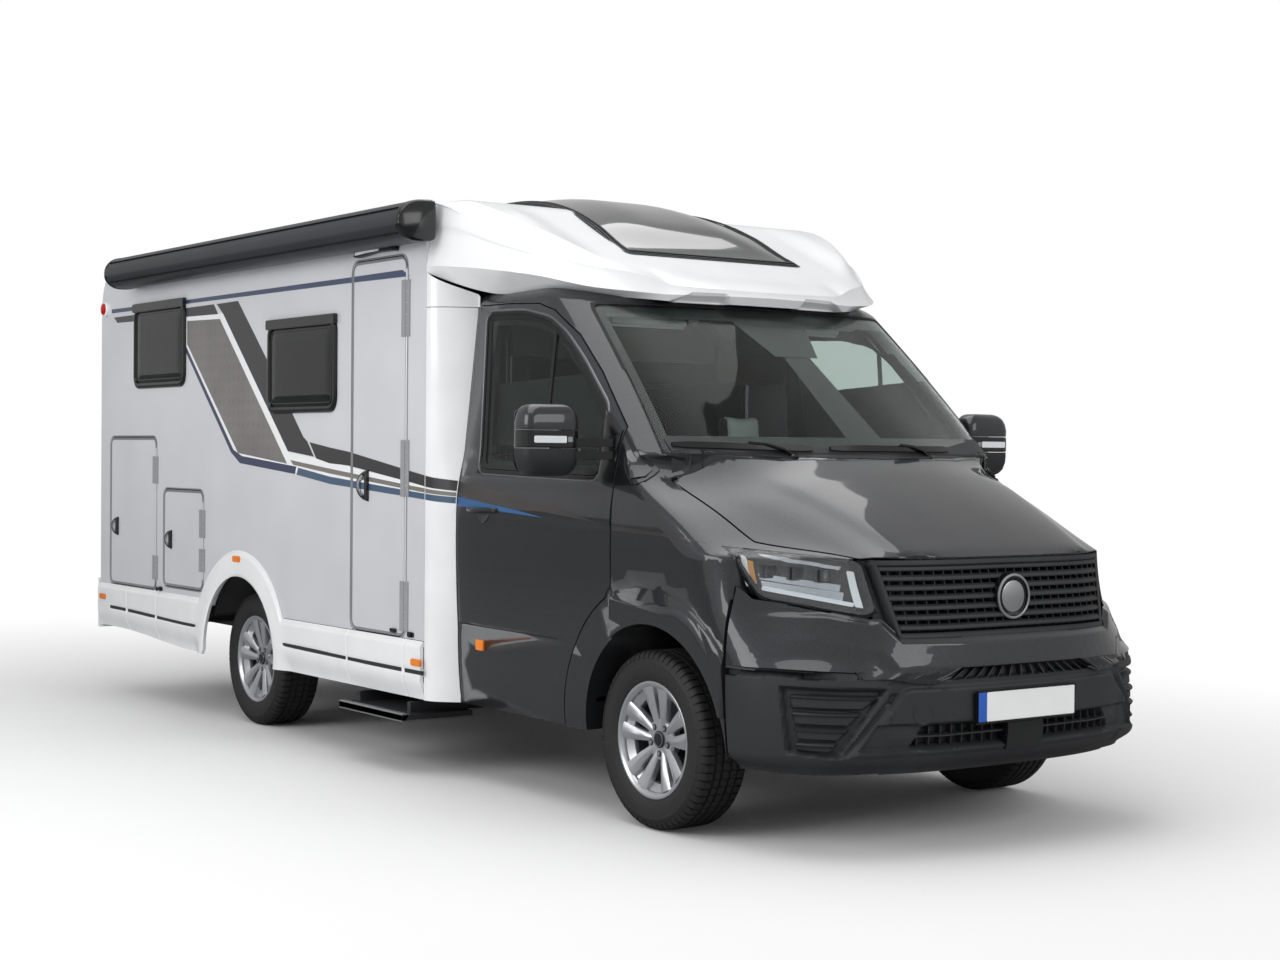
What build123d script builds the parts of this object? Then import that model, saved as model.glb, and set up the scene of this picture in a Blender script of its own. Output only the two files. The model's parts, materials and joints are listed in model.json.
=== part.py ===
"""Low-profile motorhome: a van cab and chassis carrying a coachbuilt living body.

Millimetres. X is across the vehicle (+X is its left-hand side), Y runs back
from the nose and Z is up. While the pieces are shaped, stations along Y are
measured from the front axle; write() then moves every piece so that the
origin is on the ground under the middle of the vehicle.
"""

from build123d import *
import os
from functools import lru_cache

# ---------------------------------------------------------------- driving sizes
LENGTH = 6700.0
FRONT_OVERHANG = 1060.0
WHEELBASE = 3600.0

TYRE_RADIUS = 354.0
TYRE_WIDTH = 235.0
RIM_RADIUS = 233.0           # outside of the flange of a 17 inch rim
RIM_WIDTH = 190.0
HUB_RADIUS = 70.0
HUB_BACK = 50.0              # hub's inner face, in from the wheel centre plane
FRONT_WHEEL_X = 866.0        # wheel centre plane
REAR_WHEEL_X = 885.0
KINGPIN_X = 800.0
STRUT_X = 660.0
KNUCKLE_BOTTOM = 245.0
KNUCKLE_TOP = 450.0
SPRING_RADIUS = 70.0

SILL_BOTTOM = 346.0
GAP = 6.0                    # shut gap round doors and lids
FIT = 0.3                    # assembly clearance

# cab
CAB_REAR = 1425.0            # station of the open back of the cab
CAB_WALL = 50.0
CAB_DOOR_WALL = 70.0
CAB_DOOR_DEPTH = 838.0       # inboard limit of the doorways
CAB_ROOF = 2205.0
CAB_FLOOR = 460.0            # top of the floor plate
CAB_FLOOR_THICK = 40.0
PANEL = 12.0                 # bonnet, bumper and fascia skin
GLASS = 6.0
ARCH_STATION = -40.0
ARCH_RADIUS = 462.0
ARCH_FLARE = 600.0
FLARE_STEP = 12.0
DOOR_FRONT = 215.0
DOOR_BOTTOM = 352.0
DOOR_TOP = 2135.0
DOOR_REAR = 1415.0
HINGE_END = 60.0             # hinge strip stops this far from the leaf's corners
DOOR_HINGE_IN = 10.0         # hinge pin, in from the door's outer front corner
DOOR_HINGE_X = 1015.0
DOOR_PIN_Z = 945.0           # middle of the lower hinge pin
DOOR_PIN_RADIUS = 6.0
DOOR_RELIEF = 16.0           # pocket in the fender that the door's lower corner swings through
BELT = 1385.0

# living body
BODY_FRONT = 1580.0
BODY_REAR = 5600.0
BODY_HALF = 1100.0
BODY_BOTTOM = 620.0
BODY_TOP = 2620.0
BODY_WALL = 32.0
FLOOR_THICK = 60.0
ROOF_CORNER = 300.0          # round at the rear of the roof
SKIRT_TOP = 620.0
SKIRT_BOTTOM = 350.0
SKIRT_OUT = 1118.0
SKIRT_WALL = 30.0
REAR_ARCH_STATION = WHEELBASE - 40.0
REAR_ARCH_RADIUS = 450.0
REAR_ARCH_FLARE = 590.0
REAR_BUMPER_OUT = 40.0
HATCH_SWING = 45.0           # radius kept clear round the small hatch's hinge line

# chassis
RAIL_X = 420.0
RAIL_WIDTH = 60.0
RAIL_BOTTOM = 300.0
CAB_RAIL_TOP = CAB_FLOOR - CAB_FLOOR_THICK
CAB_RAIL_FRONT = -830.0
CROSS_DEPTH = 60.0
REAR_RAIL_BOTTOM = 400.0
STEP_Z = 280.0
TOW_EYE_Z = 385.0
TOW_EYE_FACE = -960.0        # station of the towing eye's socket mouth
TOW_EYE_DEPTH = 80.0
TOW_EYE_RADIUS = 10.0
TOW_COVER_RADIUS = 42.0
TOWBAR_STATIONS = (5150.0, 5350.0)
TOWBAR_HOLE = 6.5
TOWBAR_DEPTH = 60.0

# openings in the side walls: front station, rear station, bottom, top
ENTRY = (1755.0, 2290.0, 625.0, 2380.0)
GARAGE = (4722.0, 5435.0, 664.0, 1545.0)
HATCH = (4050.0, 4605.0, 697.0, 1248.0)
REAR_WINDOW = (4310.0, 5045.0, 1845.0, 2305.0)
SIDE_WINDOW = (2460.0, 3210.0, 1680.0, 2122.0)
DINETTE_WINDOW = (1950.0, 2870.0, 1560.0, 2120.0)

# One row for each level of the cab: height, station of the nose at the centre,
# half-width of the front face, how far its ends stand back, how square it is,
# half-width of the cab, station where its side begins, and how far the front
# must stand back for each millimetre of wall (more where it slopes).
LOWER = (
    (300.0, -1030.0, 850.0, 190.0, 3.0, 985.0, -430.0, 1.00),
    (450.0, -1056.0, 850.0, 190.0, 3.0, 1003.0, -450.0, 1.00),
    (690.0, -1045.0, 850.0, 210.0, 3.2, 1013.0, -440.0, 1.00),
)
FACE = (
    LOWER[-1],
    (900.0, -1000.0, 850.0, 345.0, 3.8, 1023.0, -330.0, 1.00),
    (1100.0, -955.0, 850.0, 335.0, 4.0, 1027.0, -250.0, 1.40),
)
HOOD = (
    FACE[-1],
    (1200.0, -790.0, 850.0, 400.0, 3.4, 1026.0, -110.0, 2.00),
    (1300.0, -610.0, 868.0, 425.0, 2.9, 1020.0, 40.0, 2.10),
    (1400.0, -410.0, 890.0, 430.0, 2.5, 1002.0, 170.0, 2.10),
    (1475.0, -250.0, 908.0, 285.0, 2.2, 985.0, 230.0, 1.80),
)
SCREEN = (
    HOOD[-1],
    (1800.0, 155.0, 862.0, 190.0, 2.0, 950.0, 560.0, 1.55),
    (2135.0, 565.0, 815.0, 140.0, 2.0, 915.0, 880.0, 1.50),
)
ROOF = (
    SCREEN[-1],
    (2180.0, 650.0, 780.0, 140.0, 2.0, 890.0, 940.0, 1.40),
    (CAB_ROOF, 760.0, 700.0, 140.0, 2.0, 800.0, 1020.0, 1.40),
)


# ---------------------------------------------------------------- small tools
def write(name, shape):
    """Move a finished piece to the vehicle's own origin and write it."""
    shift = FRONT_OVERHANG - LENGTH / 2
    export_step(Pos(0, shift, 0) * shape, f"parts/{name}.step")


def write_pair(name, left):
    """Write a left-hand piece and its mirror image."""
    write(name + "_left", left)
    write(name + "_right", other_side(left))


def block(x0, x1, y0, y1, z0, z1):
    centre = Pos((x0 + x1) / 2, (y0 + y1) / 2, (z0 + z1) / 2)
    return centre * Box(abs(x1 - x0), abs(y1 - y0), abs(z1 - z0))


def polygon(points, radius=0.0):
    """Closed outline through the points, its corners rounded to one radius."""
    if radius:
        return make_face(FilletPolyline(*points, radius=radius, close=True))
    return make_face(Polyline(*points, close=True))


def across(face, x0, x1):
    """Side-view outline (Y, Z) carried across from x0 to x1."""
    return extrude(Plane(origin=(x0, 0, 0), x_dir=(0, 1, 0), z_dir=(1, 0, 0)) * face, x1 - x0)


def along(face, y0, y1):
    """Front-view outline (X, Z) carried forward from y1 to y0."""
    return extrude(Plane(origin=(0, y1, 0), x_dir=(1, 0, 0), z_dir=(0, -1, 0)) * face, y1 - y0)


def upright(face, z0, z1):
    """Plan outline (X, Y) carried up from z0 to z1."""
    return extrude(Pos(0, 0, z0) * face, z1 - z0)


def rod(radius, x0, x1, y, z):
    """Round bar lying across the vehicle."""
    return Pos((x0 + x1) / 2, y, z) * Rot(0, 90, 0) * Cylinder(radius, abs(x1 - x0))


def grown(face, amount):
    return offset(face, amount, kind=Kind.INTERSECTION)


def other_side(shape):
    return mirror(shape, about=Plane.YZ)


def both(shape):
    return shape + other_side(shape)


def solid_of(shape):
    """Largest solid of a cut, dropping slivers."""
    return Part() + max(shape.solids(), key=lambda s: s.volume)


def rect(y0, y1, z0, z1, radius=0.0):
    return polygon([(y0, z0), (y1, z0), (y1, z1), (y0, z1)], radius)


# ---------------------------------------------------------------- cab form
def cab_level(row, inset):
    """Plan outline of the cab at one height, set in by the inset."""
    z, nose, face_half, bow, square, half, side, lean = row
    f = face_half - inset
    w = half - inset
    front = nose + inset * lean
    corner = front + bow
    side_at = side + inset * 0.4
    mid = (f + 0.62 * (w - f), corner + 0.32 * (side_at - corner))
    points = [(0.0, front)]
    for share in (0.36, 0.68, 1.0):
        points.append((share * f, front + bow * share ** square))
    points += [mid, (w, side_at)]
    half_nose = Spline(*points, tangents=((1, 0), (0, 1)))
    back = CAB_REAR + inset
    sides = Polyline((w, side_at), (w, back), (-w, back), (-w, side_at))
    return Pos(0, 0, z) * make_face([half_nose, sides, mirror(half_nose, about=Plane.YZ)])


@lru_cache(maxsize=None)
def cab_band(rows, inset):
    return loft([cab_level(row, inset) for row in rows])


def stretched(rows, reach=20.0):
    """The same rows with the end ones carried on past the ends of the band."""
    def past(end, near):
        share = reach / abs(end[0] - near[0])
        return tuple(e + (e - n) * share for e, n in zip(end, near))
    return (past(rows[0], rows[1]), *rows[1:-1], past(rows[-1], rows[-2]))


def cab_skin(rows, outside, inside):
    """Skin of one band between two insets."""
    return cab_band(rows, outside) - cab_band(stretched(rows), inside)


BANDS = (LOWER, FACE, HOOD, SCREEN, ROOF)


def cab_form():
    bands = [cab_band(rows, 0.0) for rows in BANDS]
    return Part() + bands[0].fuse(*bands[1:])


@lru_cache(maxsize=None)
def cab_room(inset):
    """Space inside the cab, its walls straight from one level to the next."""
    rows = LOWER + FACE[1:] + HOOD[1:] + SCREEN[1:] + ROOF[1:]
    return loft([cab_level(row, inset) for row in rows], ruled=True)


def front_arch(radius, x0, x1):
    return rod(radius, x0, x1, ARCH_STATION, TYRE_RADIUS)


OUTER = cab_form()
INNER = cab_room(CAB_WALL)
INNER_ROOM = INNER & block(-1100, 1100, -1200, 1700, CAB_FLOOR, 2155)
INNER_DOOR = cab_room(CAB_DOOR_WALL)

BONNET_PLAN = [
    (0, -1000), (460, -985), (640, -850), (845, -480), (890, 2),
    (700, -103), (460, -217), (230, -277), (0, -298),
]


def symmetric(points):
    """Closed list of points from its right half, which starts and ends on the centre."""
    rest = [(-x, y) for x, y in reversed(points[1:-1])]
    return list(points) + rest


SCREEN_VIEW = symmetric([(0, 1486), (500, 1482), (905, 1478), (815, 2118), (400, 2122), (0, 2124)])
GRILLE_VIEW = symmetric([(0, 812), (300, 812), (552, 815), (606, 1060), (618, 1090), (0, 1094)])
LAMP_VIEW = [(606, 905), (640, 882), (905, 946), (962, 1090), (955, 1138), (632, 1094)]
DOOR_VIEW = [
    (DOOR_FRONT, 960), (DOOR_FRONT, 1585), (435, 1812), (618, 1975), (796, 2085),
    (920, 2120), (1160, 2132), (DOOR_REAR, DOOR_TOP), (DOOR_REAR, DOOR_BOTTOM), (500, DOOR_BOTTOM),
    (DOOR_FRONT + 27, 925),
]
WINDOW_VIEW = [
    (340, BELT), (340, 1655), (560, 1862), (700, 1975), (822, 2042),
    (1030, 2082), (1330, 2092), (1262, BELT + 20),
]
SEAM = 668.0                 # bottom of the painted fascia
LIP = 1100.0                 # front lower edge of the bonnet
COWL_TOP = 1492.0            # the shell is open for the lid up to here


def door_face():
    outline = polygon(DOOR_VIEW)
    arch = Pos(ARCH_STATION, TYRE_RADIUS) * Circle(ARCH_FLARE + 22)
    return outline - arch


def window_face():
    return polygon(WINDOW_VIEW, 18)


def bonnet_plan():
    return polygon(symmetric(BONNET_PLAN), 12)


# ---------------------------------------------------------------- cab pieces
def cab_shell():
    shell = OUTER - INNER_ROOM
    shell -= INNER & block(-930, 930, -1000, 100, 250, 1440)
    shell -= block(-900, 900, -1300, CAB_REAR + 50, 250, CAB_RAIL_TOP)
    shell -= block(-1100, 1100, -1300, CAB_REAR + 50, 250, SILL_BOTTOM)
    # firewall in three plates: lower, shelf over the feet, upper
    plates = block(-970, 970, 470, 500, CAB_FLOOR, 900)
    plates += block(-970, 970, 90, 500, 870, 900)
    plates += block(-970, 970, 90, 120, 870, 1440)
    shell += plates & OUTER
    # cowl shelf under the windscreen
    shell += block(-900, 900, -220, 120, 1410, 1440) & OUTER
    # wheel arches
    for side in (1, -1):
        shell -= front_arch(ARCH_RADIUS, side * 560, side * 1200)
    flare = front_arch(ARCH_FLARE, 960, 1040) - front_arch(ARCH_RADIUS, 900, 1100)
    flare &= cab_room(-FLARE_STEP) & block(900, 1100, -700, DOOR_FRONT, 500, 1100)
    flare -= front_arch(ARCH_RADIUS, 900, 1100)
    shell += both(flare)
    liner = front_arch(ARCH_RADIUS + 14, 580, 1000) - front_arch(ARCH_RADIUS, 500, 1100)
    liner &= block(500, 1100, -900, 900, 480, 900)
    liner -= Pos(STRUT_X, 0, 800) * Cylinder(SPRING_RADIUS + 5, 400)
    shell += both(liner & OUTER)
    # shut openings
    door = grown(door_face(), GAP)
    shell -= across(door, CAB_DOOR_DEPTH, 1200)
    shell -= across(door, -1200, -CAB_DOOR_DEPTH)
    bore = Pos(DOOR_HINGE_X, DOOR_FRONT + DOOR_HINGE_IN, DOOR_PIN_Z) * Cylinder(DOOR_PIN_RADIUS + 0.1, 66)
    shell -= both(bore)
    relief = block(0, DOOR_RELIEF, -1, DOOR_RELIEF - 4, -DOOR_RELIEF / 2 - 3, DOOR_RELIEF / 2 - 2)
    shell -= both(Pos(DOOR_HINGE_X + 1, DOOR_FRONT, DOOR_PIN_Z) * relief)
    shell -= upright(grown(bonnet_plan(), GAP), LIP - GAP, COWL_TOP) & cab_room(-20)
    shell -= along(polygon(SCREEN_VIEW), -500, 950)
    # room for the fascia, bumper, grille and lamps
    shell -= block(-1100, 1100, -1200, -505, 200, LIP)
    shell -= along(polygon(LAMP_VIEW), -900, -250) & OUTER
    shell -= other_side(along(polygon(LAMP_VIEW), -900, -250)) & OUTER
    return solid_of(shell)


def windscreen():
    skin = cab_skin(SCREEN, 0, GLASS)
    glass = skin & along(grown(polygon(SCREEN_VIEW), -0.5), -500, 850)
    return solid_of(glass)


def fascia():
    skin = cab_skin(FACE, 0, PANEL * 2)
    skin &= block(-1100, 1100, -1200, -511, SEAM, LIP)
    skin -= along(grown(polygon(GRILLE_VIEW), 1), -1200, -300)
    lamp = along(grown(polygon(LAMP_VIEW), 1), -1200, -200)
    skin -= both(lamp)
    return solid_of(skin)


def bumper():
    skin = cab_skin(LOWER, 0, PANEL * 2)
    skin &= block(-1100, 1100, -1200, -511, 290, SEAM - 1)
    for side in (1, -1):
        skin -= front_arch(ARCH_RADIUS, side * 560, side * 1200)
    beam = block(-700, 700, -870, CAB_RAIL_FRONT, RAIL_BOTTOM + 20, CAB_RAIL_TOP + 20)
    skin += beam
    for x in (0, RAIL_X + RAIL_WIDTH / 2):
        skin += block(x - 30, x + 30, -1025, -860, 350, 420)
    eye_x = -RAIL_X - RAIL_WIDTH / 2
    skin -= Pos(eye_x, -1000, TOW_EYE_Z) * Rot(90, 0, 0) * Cylinder(TOW_COVER_RADIUS, 200)
    skin += block(eye_x - 30, eye_x + 30, TOW_EYE_FACE, -860, 350, 420)
    bore = Pos(eye_x, TOW_EYE_FACE + TOW_EYE_DEPTH / 2, TOW_EYE_Z) * Rot(90, 0, 0)
    skin -= bore * Cylinder(TOW_EYE_RADIUS, TOW_EYE_DEPTH)
    return skin


def grille():
    view = polygon(GRILLE_VIEW)
    depth = cab_skin(FACE, 0, 70)
    frame = depth & along(view, -1200, -600)
    cut = along(grown(view, -16), -1200, -600) - cab_band(stretched(FACE), 52)
    frame -= cut
    slats = None
    for i in range(6):
        z = 846 + i * 42
        slat = block(-640, 640, -1200, -600, z, z + 14)
        slats = slat if slats is None else slats + slat
    frame += slats & cab_skin(FACE, 6, 60) & along(view, -1200, -600)
    badge = Pos(0, -975, 950) * Rot(90, 0, 0) * Cylinder(84, 50)
    return solid_of(frame + badge)


def headlamps():
    depth = cab_skin(FACE, 0, 80)
    upper = cab_skin(HOOD, 0, 40)
    lamp = (depth + upper) & along(polygon(LAMP_VIEW), -1100, -380)
    lamp -= upright(grown(bonnet_plan(), GAP), LIP - GAP, 1476)
    return both(solid_of(lamp))


def bonnet():
    skin = cab_skin(HOOD, 0, 22)
    lid = skin & upright(bonnet_plan(), LIP + FIT, 1474)
    return solid_of(lid)


def dashboard():
    face = polygon([
        (120, 905), (420, 905), (520, 1010), (560, 1040), (560, 1200), (520, 1330),
        (420, 1368), (120, 1392),
    ])
    dash = across(face, -925, 925) & cab_room(CAB_DOOR_WALL + 4)
    axis = steering_axis()
    dash -= axis * Pos(0, 0, -150) * Cylinder(23 + 0.05, 400)
    return solid_of(dash)


STEER_WHEEL = (430.0, 700.0, 1235.0)
STEER_TILT = 55.0


def steering_axis():
    """Frame at the centre of the steering wheel, its Z along the column to the driver."""
    return Pos(*STEER_WHEEL) * Rot(-STEER_TILT, 0, 0)


def steering_wheel():
    wheel = Torus(182, 15)
    wheel += Pos(0, 0, -20) * Cylinder(62, 40)
    for angle in (0, 180, 270):
        spoke = Pos(95, 0, -12) * Box(180, 34, 14)
        wheel += Rot(0, 0, angle) * spoke
    wheel += Pos(0, 0, -120) * Cylinder(23, 200)
    return steering_axis() * wheel


def seat():
    base = block(310, 750, 820, 1230, CAB_FLOOR, 600)
    cushion = across(polygon([(760, 600), (1290, 600), (1290, 700), (760, 760)], 30), 275, 785)
    back = across(polygon([(1200, 690), (1300, 690), (1400, 1400), (1290, 1400), (1150, 760)], 25), 285, 775)
    posts = block(440, 460, 1330, 1345, 1390, 1460) + block(600, 620, 1330, 1345, 1390, 1460)
    head = across(polygon([(1290, 1440), (1390, 1440), (1400, 1680), (1320, 1680)], 30), 400, 660)
    return base + cushion + back + posts + head


def cab_seats():
    return both(seat())


# ---------------------------------------------------------------- cab doors
def door_left():
    face = door_face()
    region = across(face, CAB_DOOR_DEPTH + 1, 1100)
    door = (OUTER - INNER_DOOR) & region
    door -= across(window_face(), 800, 1100)
    hinge_y = DOOR_FRONT + DOOR_HINGE_IN
    reach = DOOR_REAR - hinge_y
    swing = Pos(DOOR_HINGE_X, hinge_y, 1200) * Cylinder(reach, 2400)
    pin = Pos(DOOR_HINGE_X, hinge_y, DOOR_PIN_Z) * Cylinder(DOOR_PIN_RADIUS, 60)
    return solid_of((door & swing) + pin)


def door_glass_left():
    pane = None
    for rows in (HOOD, SCREEN):
        skin = cab_skin(rows, 8, 8 + GLASS)
        part = skin & across(grown(window_face(), -0.5), 800, 1100)
        pane = part if pane is None else pane + part
    return solid_of(pane)


def mirror_left():
    plan = [(940, 238), (1010, 236), (1125, 318), (1125, 380), (1010, 322), (940, 312)]
    arm = upright(polygon(plan, 8), 1452, 1540)
    arm -= OUTER
    head = upright(polygon([(1092, 318), (1350, 330), (1345, 400), (1290, 452), (1098, 452)], 25), 1385, 1680)
    head = fillet(head.edges().group_by(Axis.Z)[0] + head.edges().group_by(Axis.Z)[-1], 22)
    return solid_of(arm + head)


# ---------------------------------------------------------------- roof hood
# height, front station at the centre, half-width of the brow, its set-back,
# half-width of the hood, station where its side begins, half-width at the body
CREST = [(1500, 2600), (1560, 2621), (1900, 2676), (2250, 2660), (2330, BODY_TOP), (1560, BODY_TOP)]
BROW = (
    (2136.0, 500.0, 820.0, 190.0, 935.0, 1000.0, 1100.0),
    (2190.0, 480.0, 840.0, 210.0, 985.0, 1120.0, 1100.0),
)
SLOPE = (
    (2190.0, 515.0, 830.0, 210.0, 985.0, 1120.0, 1100.0),
    (2300.0, 770.0, 840.0, 130.0, 1020.0, 1180.0, 1100.0),
    (2400.0, 1010.0, 850.0, 60.0, 1020.0, 1260.0, 1100.0),
    (2510.0, 1290.0, 840.0, 30.0, 1005.0, 1400.0, 1095.0),
    (2585.0, 1480.0, 800.0, 10.0, 970.0, 1530.0, 1075.0),
    (2620.0, 1545.0, 740.0, 5.0, 900.0, 1570.0, 1040.0),
)


def hood_level(row, inset):
    z, nose, face_half, bow, half, side, flank = row
    f = face_half - inset
    w = half - inset
    front = nose + inset * 2
    corner = front + bow
    mid = (f + 0.6 * (w - f), corner + 0.33 * (side - corner))
    points = [(0.0, front), (0.4 * f, front + bow * 0.16), (0.75 * f, front + bow * 0.5625)]
    points += [(f, corner), mid, (w, side)]
    half_nose = Spline(*points, tangents=((1, 0), (0, 1)))
    edge = flank - inset
    sides = Polyline((w, side), (edge, BODY_FRONT), (-edge, BODY_FRONT), (-w, side))
    return Pos(0, 0, z) * make_face([half_nose, sides, mirror(half_nose, about=Plane.YZ)])


def hood_loft(rows, inset=0.0):
    return loft([hood_level(row, inset) for row in rows], ruled=True)


def roof_hood():
    hood = hood_loft(BROW) + hood_loft(SLOPE)
    hollow = hood_loft(SLOPE[:4], 30)
    hood -= hollow & block(-1100, 1100, 0, 1700, CAB_ROOF, 2500)
    hood -= block(-1100, 1100, CAB_REAR, 1700, 2000, CAB_ROOF) & hood_loft(BROW, 30)
    hood -= OUTER
    crest = across(polygon(CREST), -700, 700)
    crest -= block(-1100, 1100, BODY_FRONT, 3000, 2500, BODY_TOP)
    hood += crest
    return solid_of(hood)


def roof_lights():
    face = polygon([(850, 2350), (2080, 2668), (2080, 2720), (1500, 2640), (900, 2420)])
    dome = across(face, -480, 480)
    dome -= hood_loft(SLOPE)
    dome -= across(polygon(CREST), -700, 700)
    hatch = block(-250, 250, 3650, 4150, BODY_TOP, 2720)
    vent = block(-200, 200, 2750, 3150, BODY_TOP, 2700)
    return solid_of(dome) + hatch + vent


def transition_panels():
    plan = polygon([
        (1016, CAB_REAR + 1), (1020, CAB_REAR + 1), (BODY_HALF, BODY_FRONT), (BODY_HALF - 45, BODY_FRONT),
        (980, CAB_REAR + 40), (975, CAB_REAR + 1),
    ])
    side = upright(plan, SKIRT_BOTTOM, BROW[0][0] - FIT)
    return both(side)


# ---------------------------------------------------------------- living body
def body_outline(inset):
    """Side-view outline of the living body with its round rear roof corner."""
    y0, y1 = BODY_FRONT, BODY_REAR - inset
    z0, z1 = BODY_BOTTOM + inset, BODY_TOP - inset
    r = ROOF_CORNER - inset
    lines = Polyline((y1, z1 - r), (y1, z0), (y0, z0), (y0, z1), (y1 - r, z1))
    corner = RadiusArc((y1 - r, z1), (y1, z1 - r), r)
    return make_face([lines, corner])


def rear_arch(radius, x0, x1):
    return rod(radius, x0, x1, REAR_ARCH_STATION, TYRE_RADIUS)


def hole(opening, radius=30.0, grow=0.0):
    y0, y1, z0, z1 = opening
    return rect(y0 - grow, y1 + grow, z0 - grow, z1 + grow, radius + grow)


def side_wall(openings):
    """Wall on the left (+X) with its openings cut."""
    x0, x1 = BODY_HALF - BODY_WALL, BODY_HALF
    wall = across(body_outline(0), x0, x1)
    wall -= rear_arch(REAR_ARCH_RADIUS + 30, x0 - 50, x1 + 50)
    for opening in openings:
        wall -= across(opening, x0 - 50, x1 + 50)
    return wall


def side_wall_left():
    holes = [hole(REAR_WINDOW, 60), hole(DINETTE_WINDOW, 60), hole(GARAGE, 50, GAP)]
    return side_wall(holes)


def side_wall_right():
    holes = [
        hole(REAR_WINDOW, 60), hole(SIDE_WINDOW, 60), hole(GARAGE, 50, GAP),
        hole(HATCH, 50, GAP), hole(ENTRY, 60, GAP),
    ]
    return other_side(side_wall(holes))


def body_ring():
    x1 = BODY_HALF - BODY_WALL
    return across(body_outline(0), -x1, x1) - across(body_outline(BODY_WALL), -x1, x1)


def roof_panel():
    return solid_of(body_ring() & block(-1200, 1200, 1500, BODY_REAR - ROOF_CORNER, 2400, 2700))


def rear_wall():
    ring = body_ring() & block(-1200, 1200, BODY_REAR - ROOF_CORNER, BODY_REAR + 100, BODY_BOTTOM, 2700)
    return solid_of(ring)


def living_floor():
    x1 = BODY_HALF - BODY_WALL
    floor = block(-x1, x1, BODY_FRONT, BODY_REAR - BODY_WALL, BODY_BOTTOM - FLOOR_THICK, BODY_BOTTOM)
    for side in (1, -1):
        floor -= rear_arch(REAR_ARCH_RADIUS + 30, side * 700, side * 1200)
    box = rear_arch(REAR_ARCH_RADIUS + 30, 690, x1) - rear_arch(REAR_ARCH_RADIUS, 720, 1300)
    box &= block(600, 1200, 2000, 5000, BODY_BOTTOM - FLOOR_THICK, 2000)
    inner = rear_arch(REAR_ARCH_RADIUS + 30, 690, 720)
    inner &= block(600, 1200, 2000, 5000, BODY_BOTTOM - FLOOR_THICK, 2000)
    return floor + both(box + inner)


def skirt_panel(y0, y1):
    return block(SKIRT_OUT - SKIRT_WALL, SKIRT_OUT, y0, y1, SKIRT_BOTTOM, SKIRT_TOP)


def skirts():
    side = skirt_panel(BODY_FRONT, BODY_REAR)
    flare = rear_arch(REAR_ARCH_FLARE, BODY_HALF, SKIRT_OUT + 4)
    flare &= block(1000, 1200, 2000, 5000, SKIRT_BOTTOM, 2000)
    side += flare
    side -= rear_arch(REAR_ARCH_RADIUS, 1000, 1200)
    # room for the edge of the small hatch as it swings
    side -= Pos(BODY_HALF, HATCH[0], HATCH[2] + 100) * Cylinder(HATCH_SWING, 300)
    return both(side)


def rear_bumper():
    out = BODY_REAR + REAR_BUMPER_OUT
    beam = block(-BODY_HALF, BODY_HALF, BODY_REAR, out, SKIRT_BOTTOM + 30, BODY_BOTTOM + 60)
    beam += block(-400, 400, 5490, BODY_REAR, 400, 540)
    return beam


def rear_lamps():
    lamp = block(900, 1060, BODY_REAR, BODY_REAR + 25, 760, 1080)
    return both(lamp)


def awning_case():
    profile = polygon([(-1100, 2425), (-1225, 2415), (-1292, 2470), (-1292, 2540), (-1240, 2600), (-1100, 2608)], 25)
    return along(profile, 1490, 5060)


def window(opening, sign):
    pane = across(hole(opening, 59, -1), BODY_HALF - 26, BODY_HALF)
    pane += across(hole(opening, 60, 12), BODY_HALF, BODY_HALF + 16)
    return pane if sign > 0 else other_side(pane)


def living_windows():
    panes = window(REAR_WINDOW, 1) + window(DINETTE_WINDOW, 1)
    return panes + window(REAR_WINDOW, -1) + window(SIDE_WINDOW, -1)


def flap(opening, radius):
    """Door or lid on the left (+X), hinged at its front edge on the outer face."""
    y0, y1, z0, z1 = opening
    leaf = across(hole(opening, radius), BODY_HALF - BODY_WALL, BODY_HALF)
    swing = Pos(BODY_HALF, y0, (z0 + z1) / 2) * Cylinder(y1 - y0, 2 * (z1 - z0))
    barrel = Pos(BODY_HALF, y0, (z0 + z1) / 2) * Cylinder(GAP - FIT, z1 - z0 - 2 * HINGE_END)
    return (leaf & swing) + barrel


def entry_step():
    tread = block(-1170, -800, 1650, 2270, STEP_Z - 25, STEP_Z)
    for y in (1700, 2190):
        tread += block(-1100, -560, y, y + 30, STEP_Z, STEP_Z + 50)
    return tread


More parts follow.
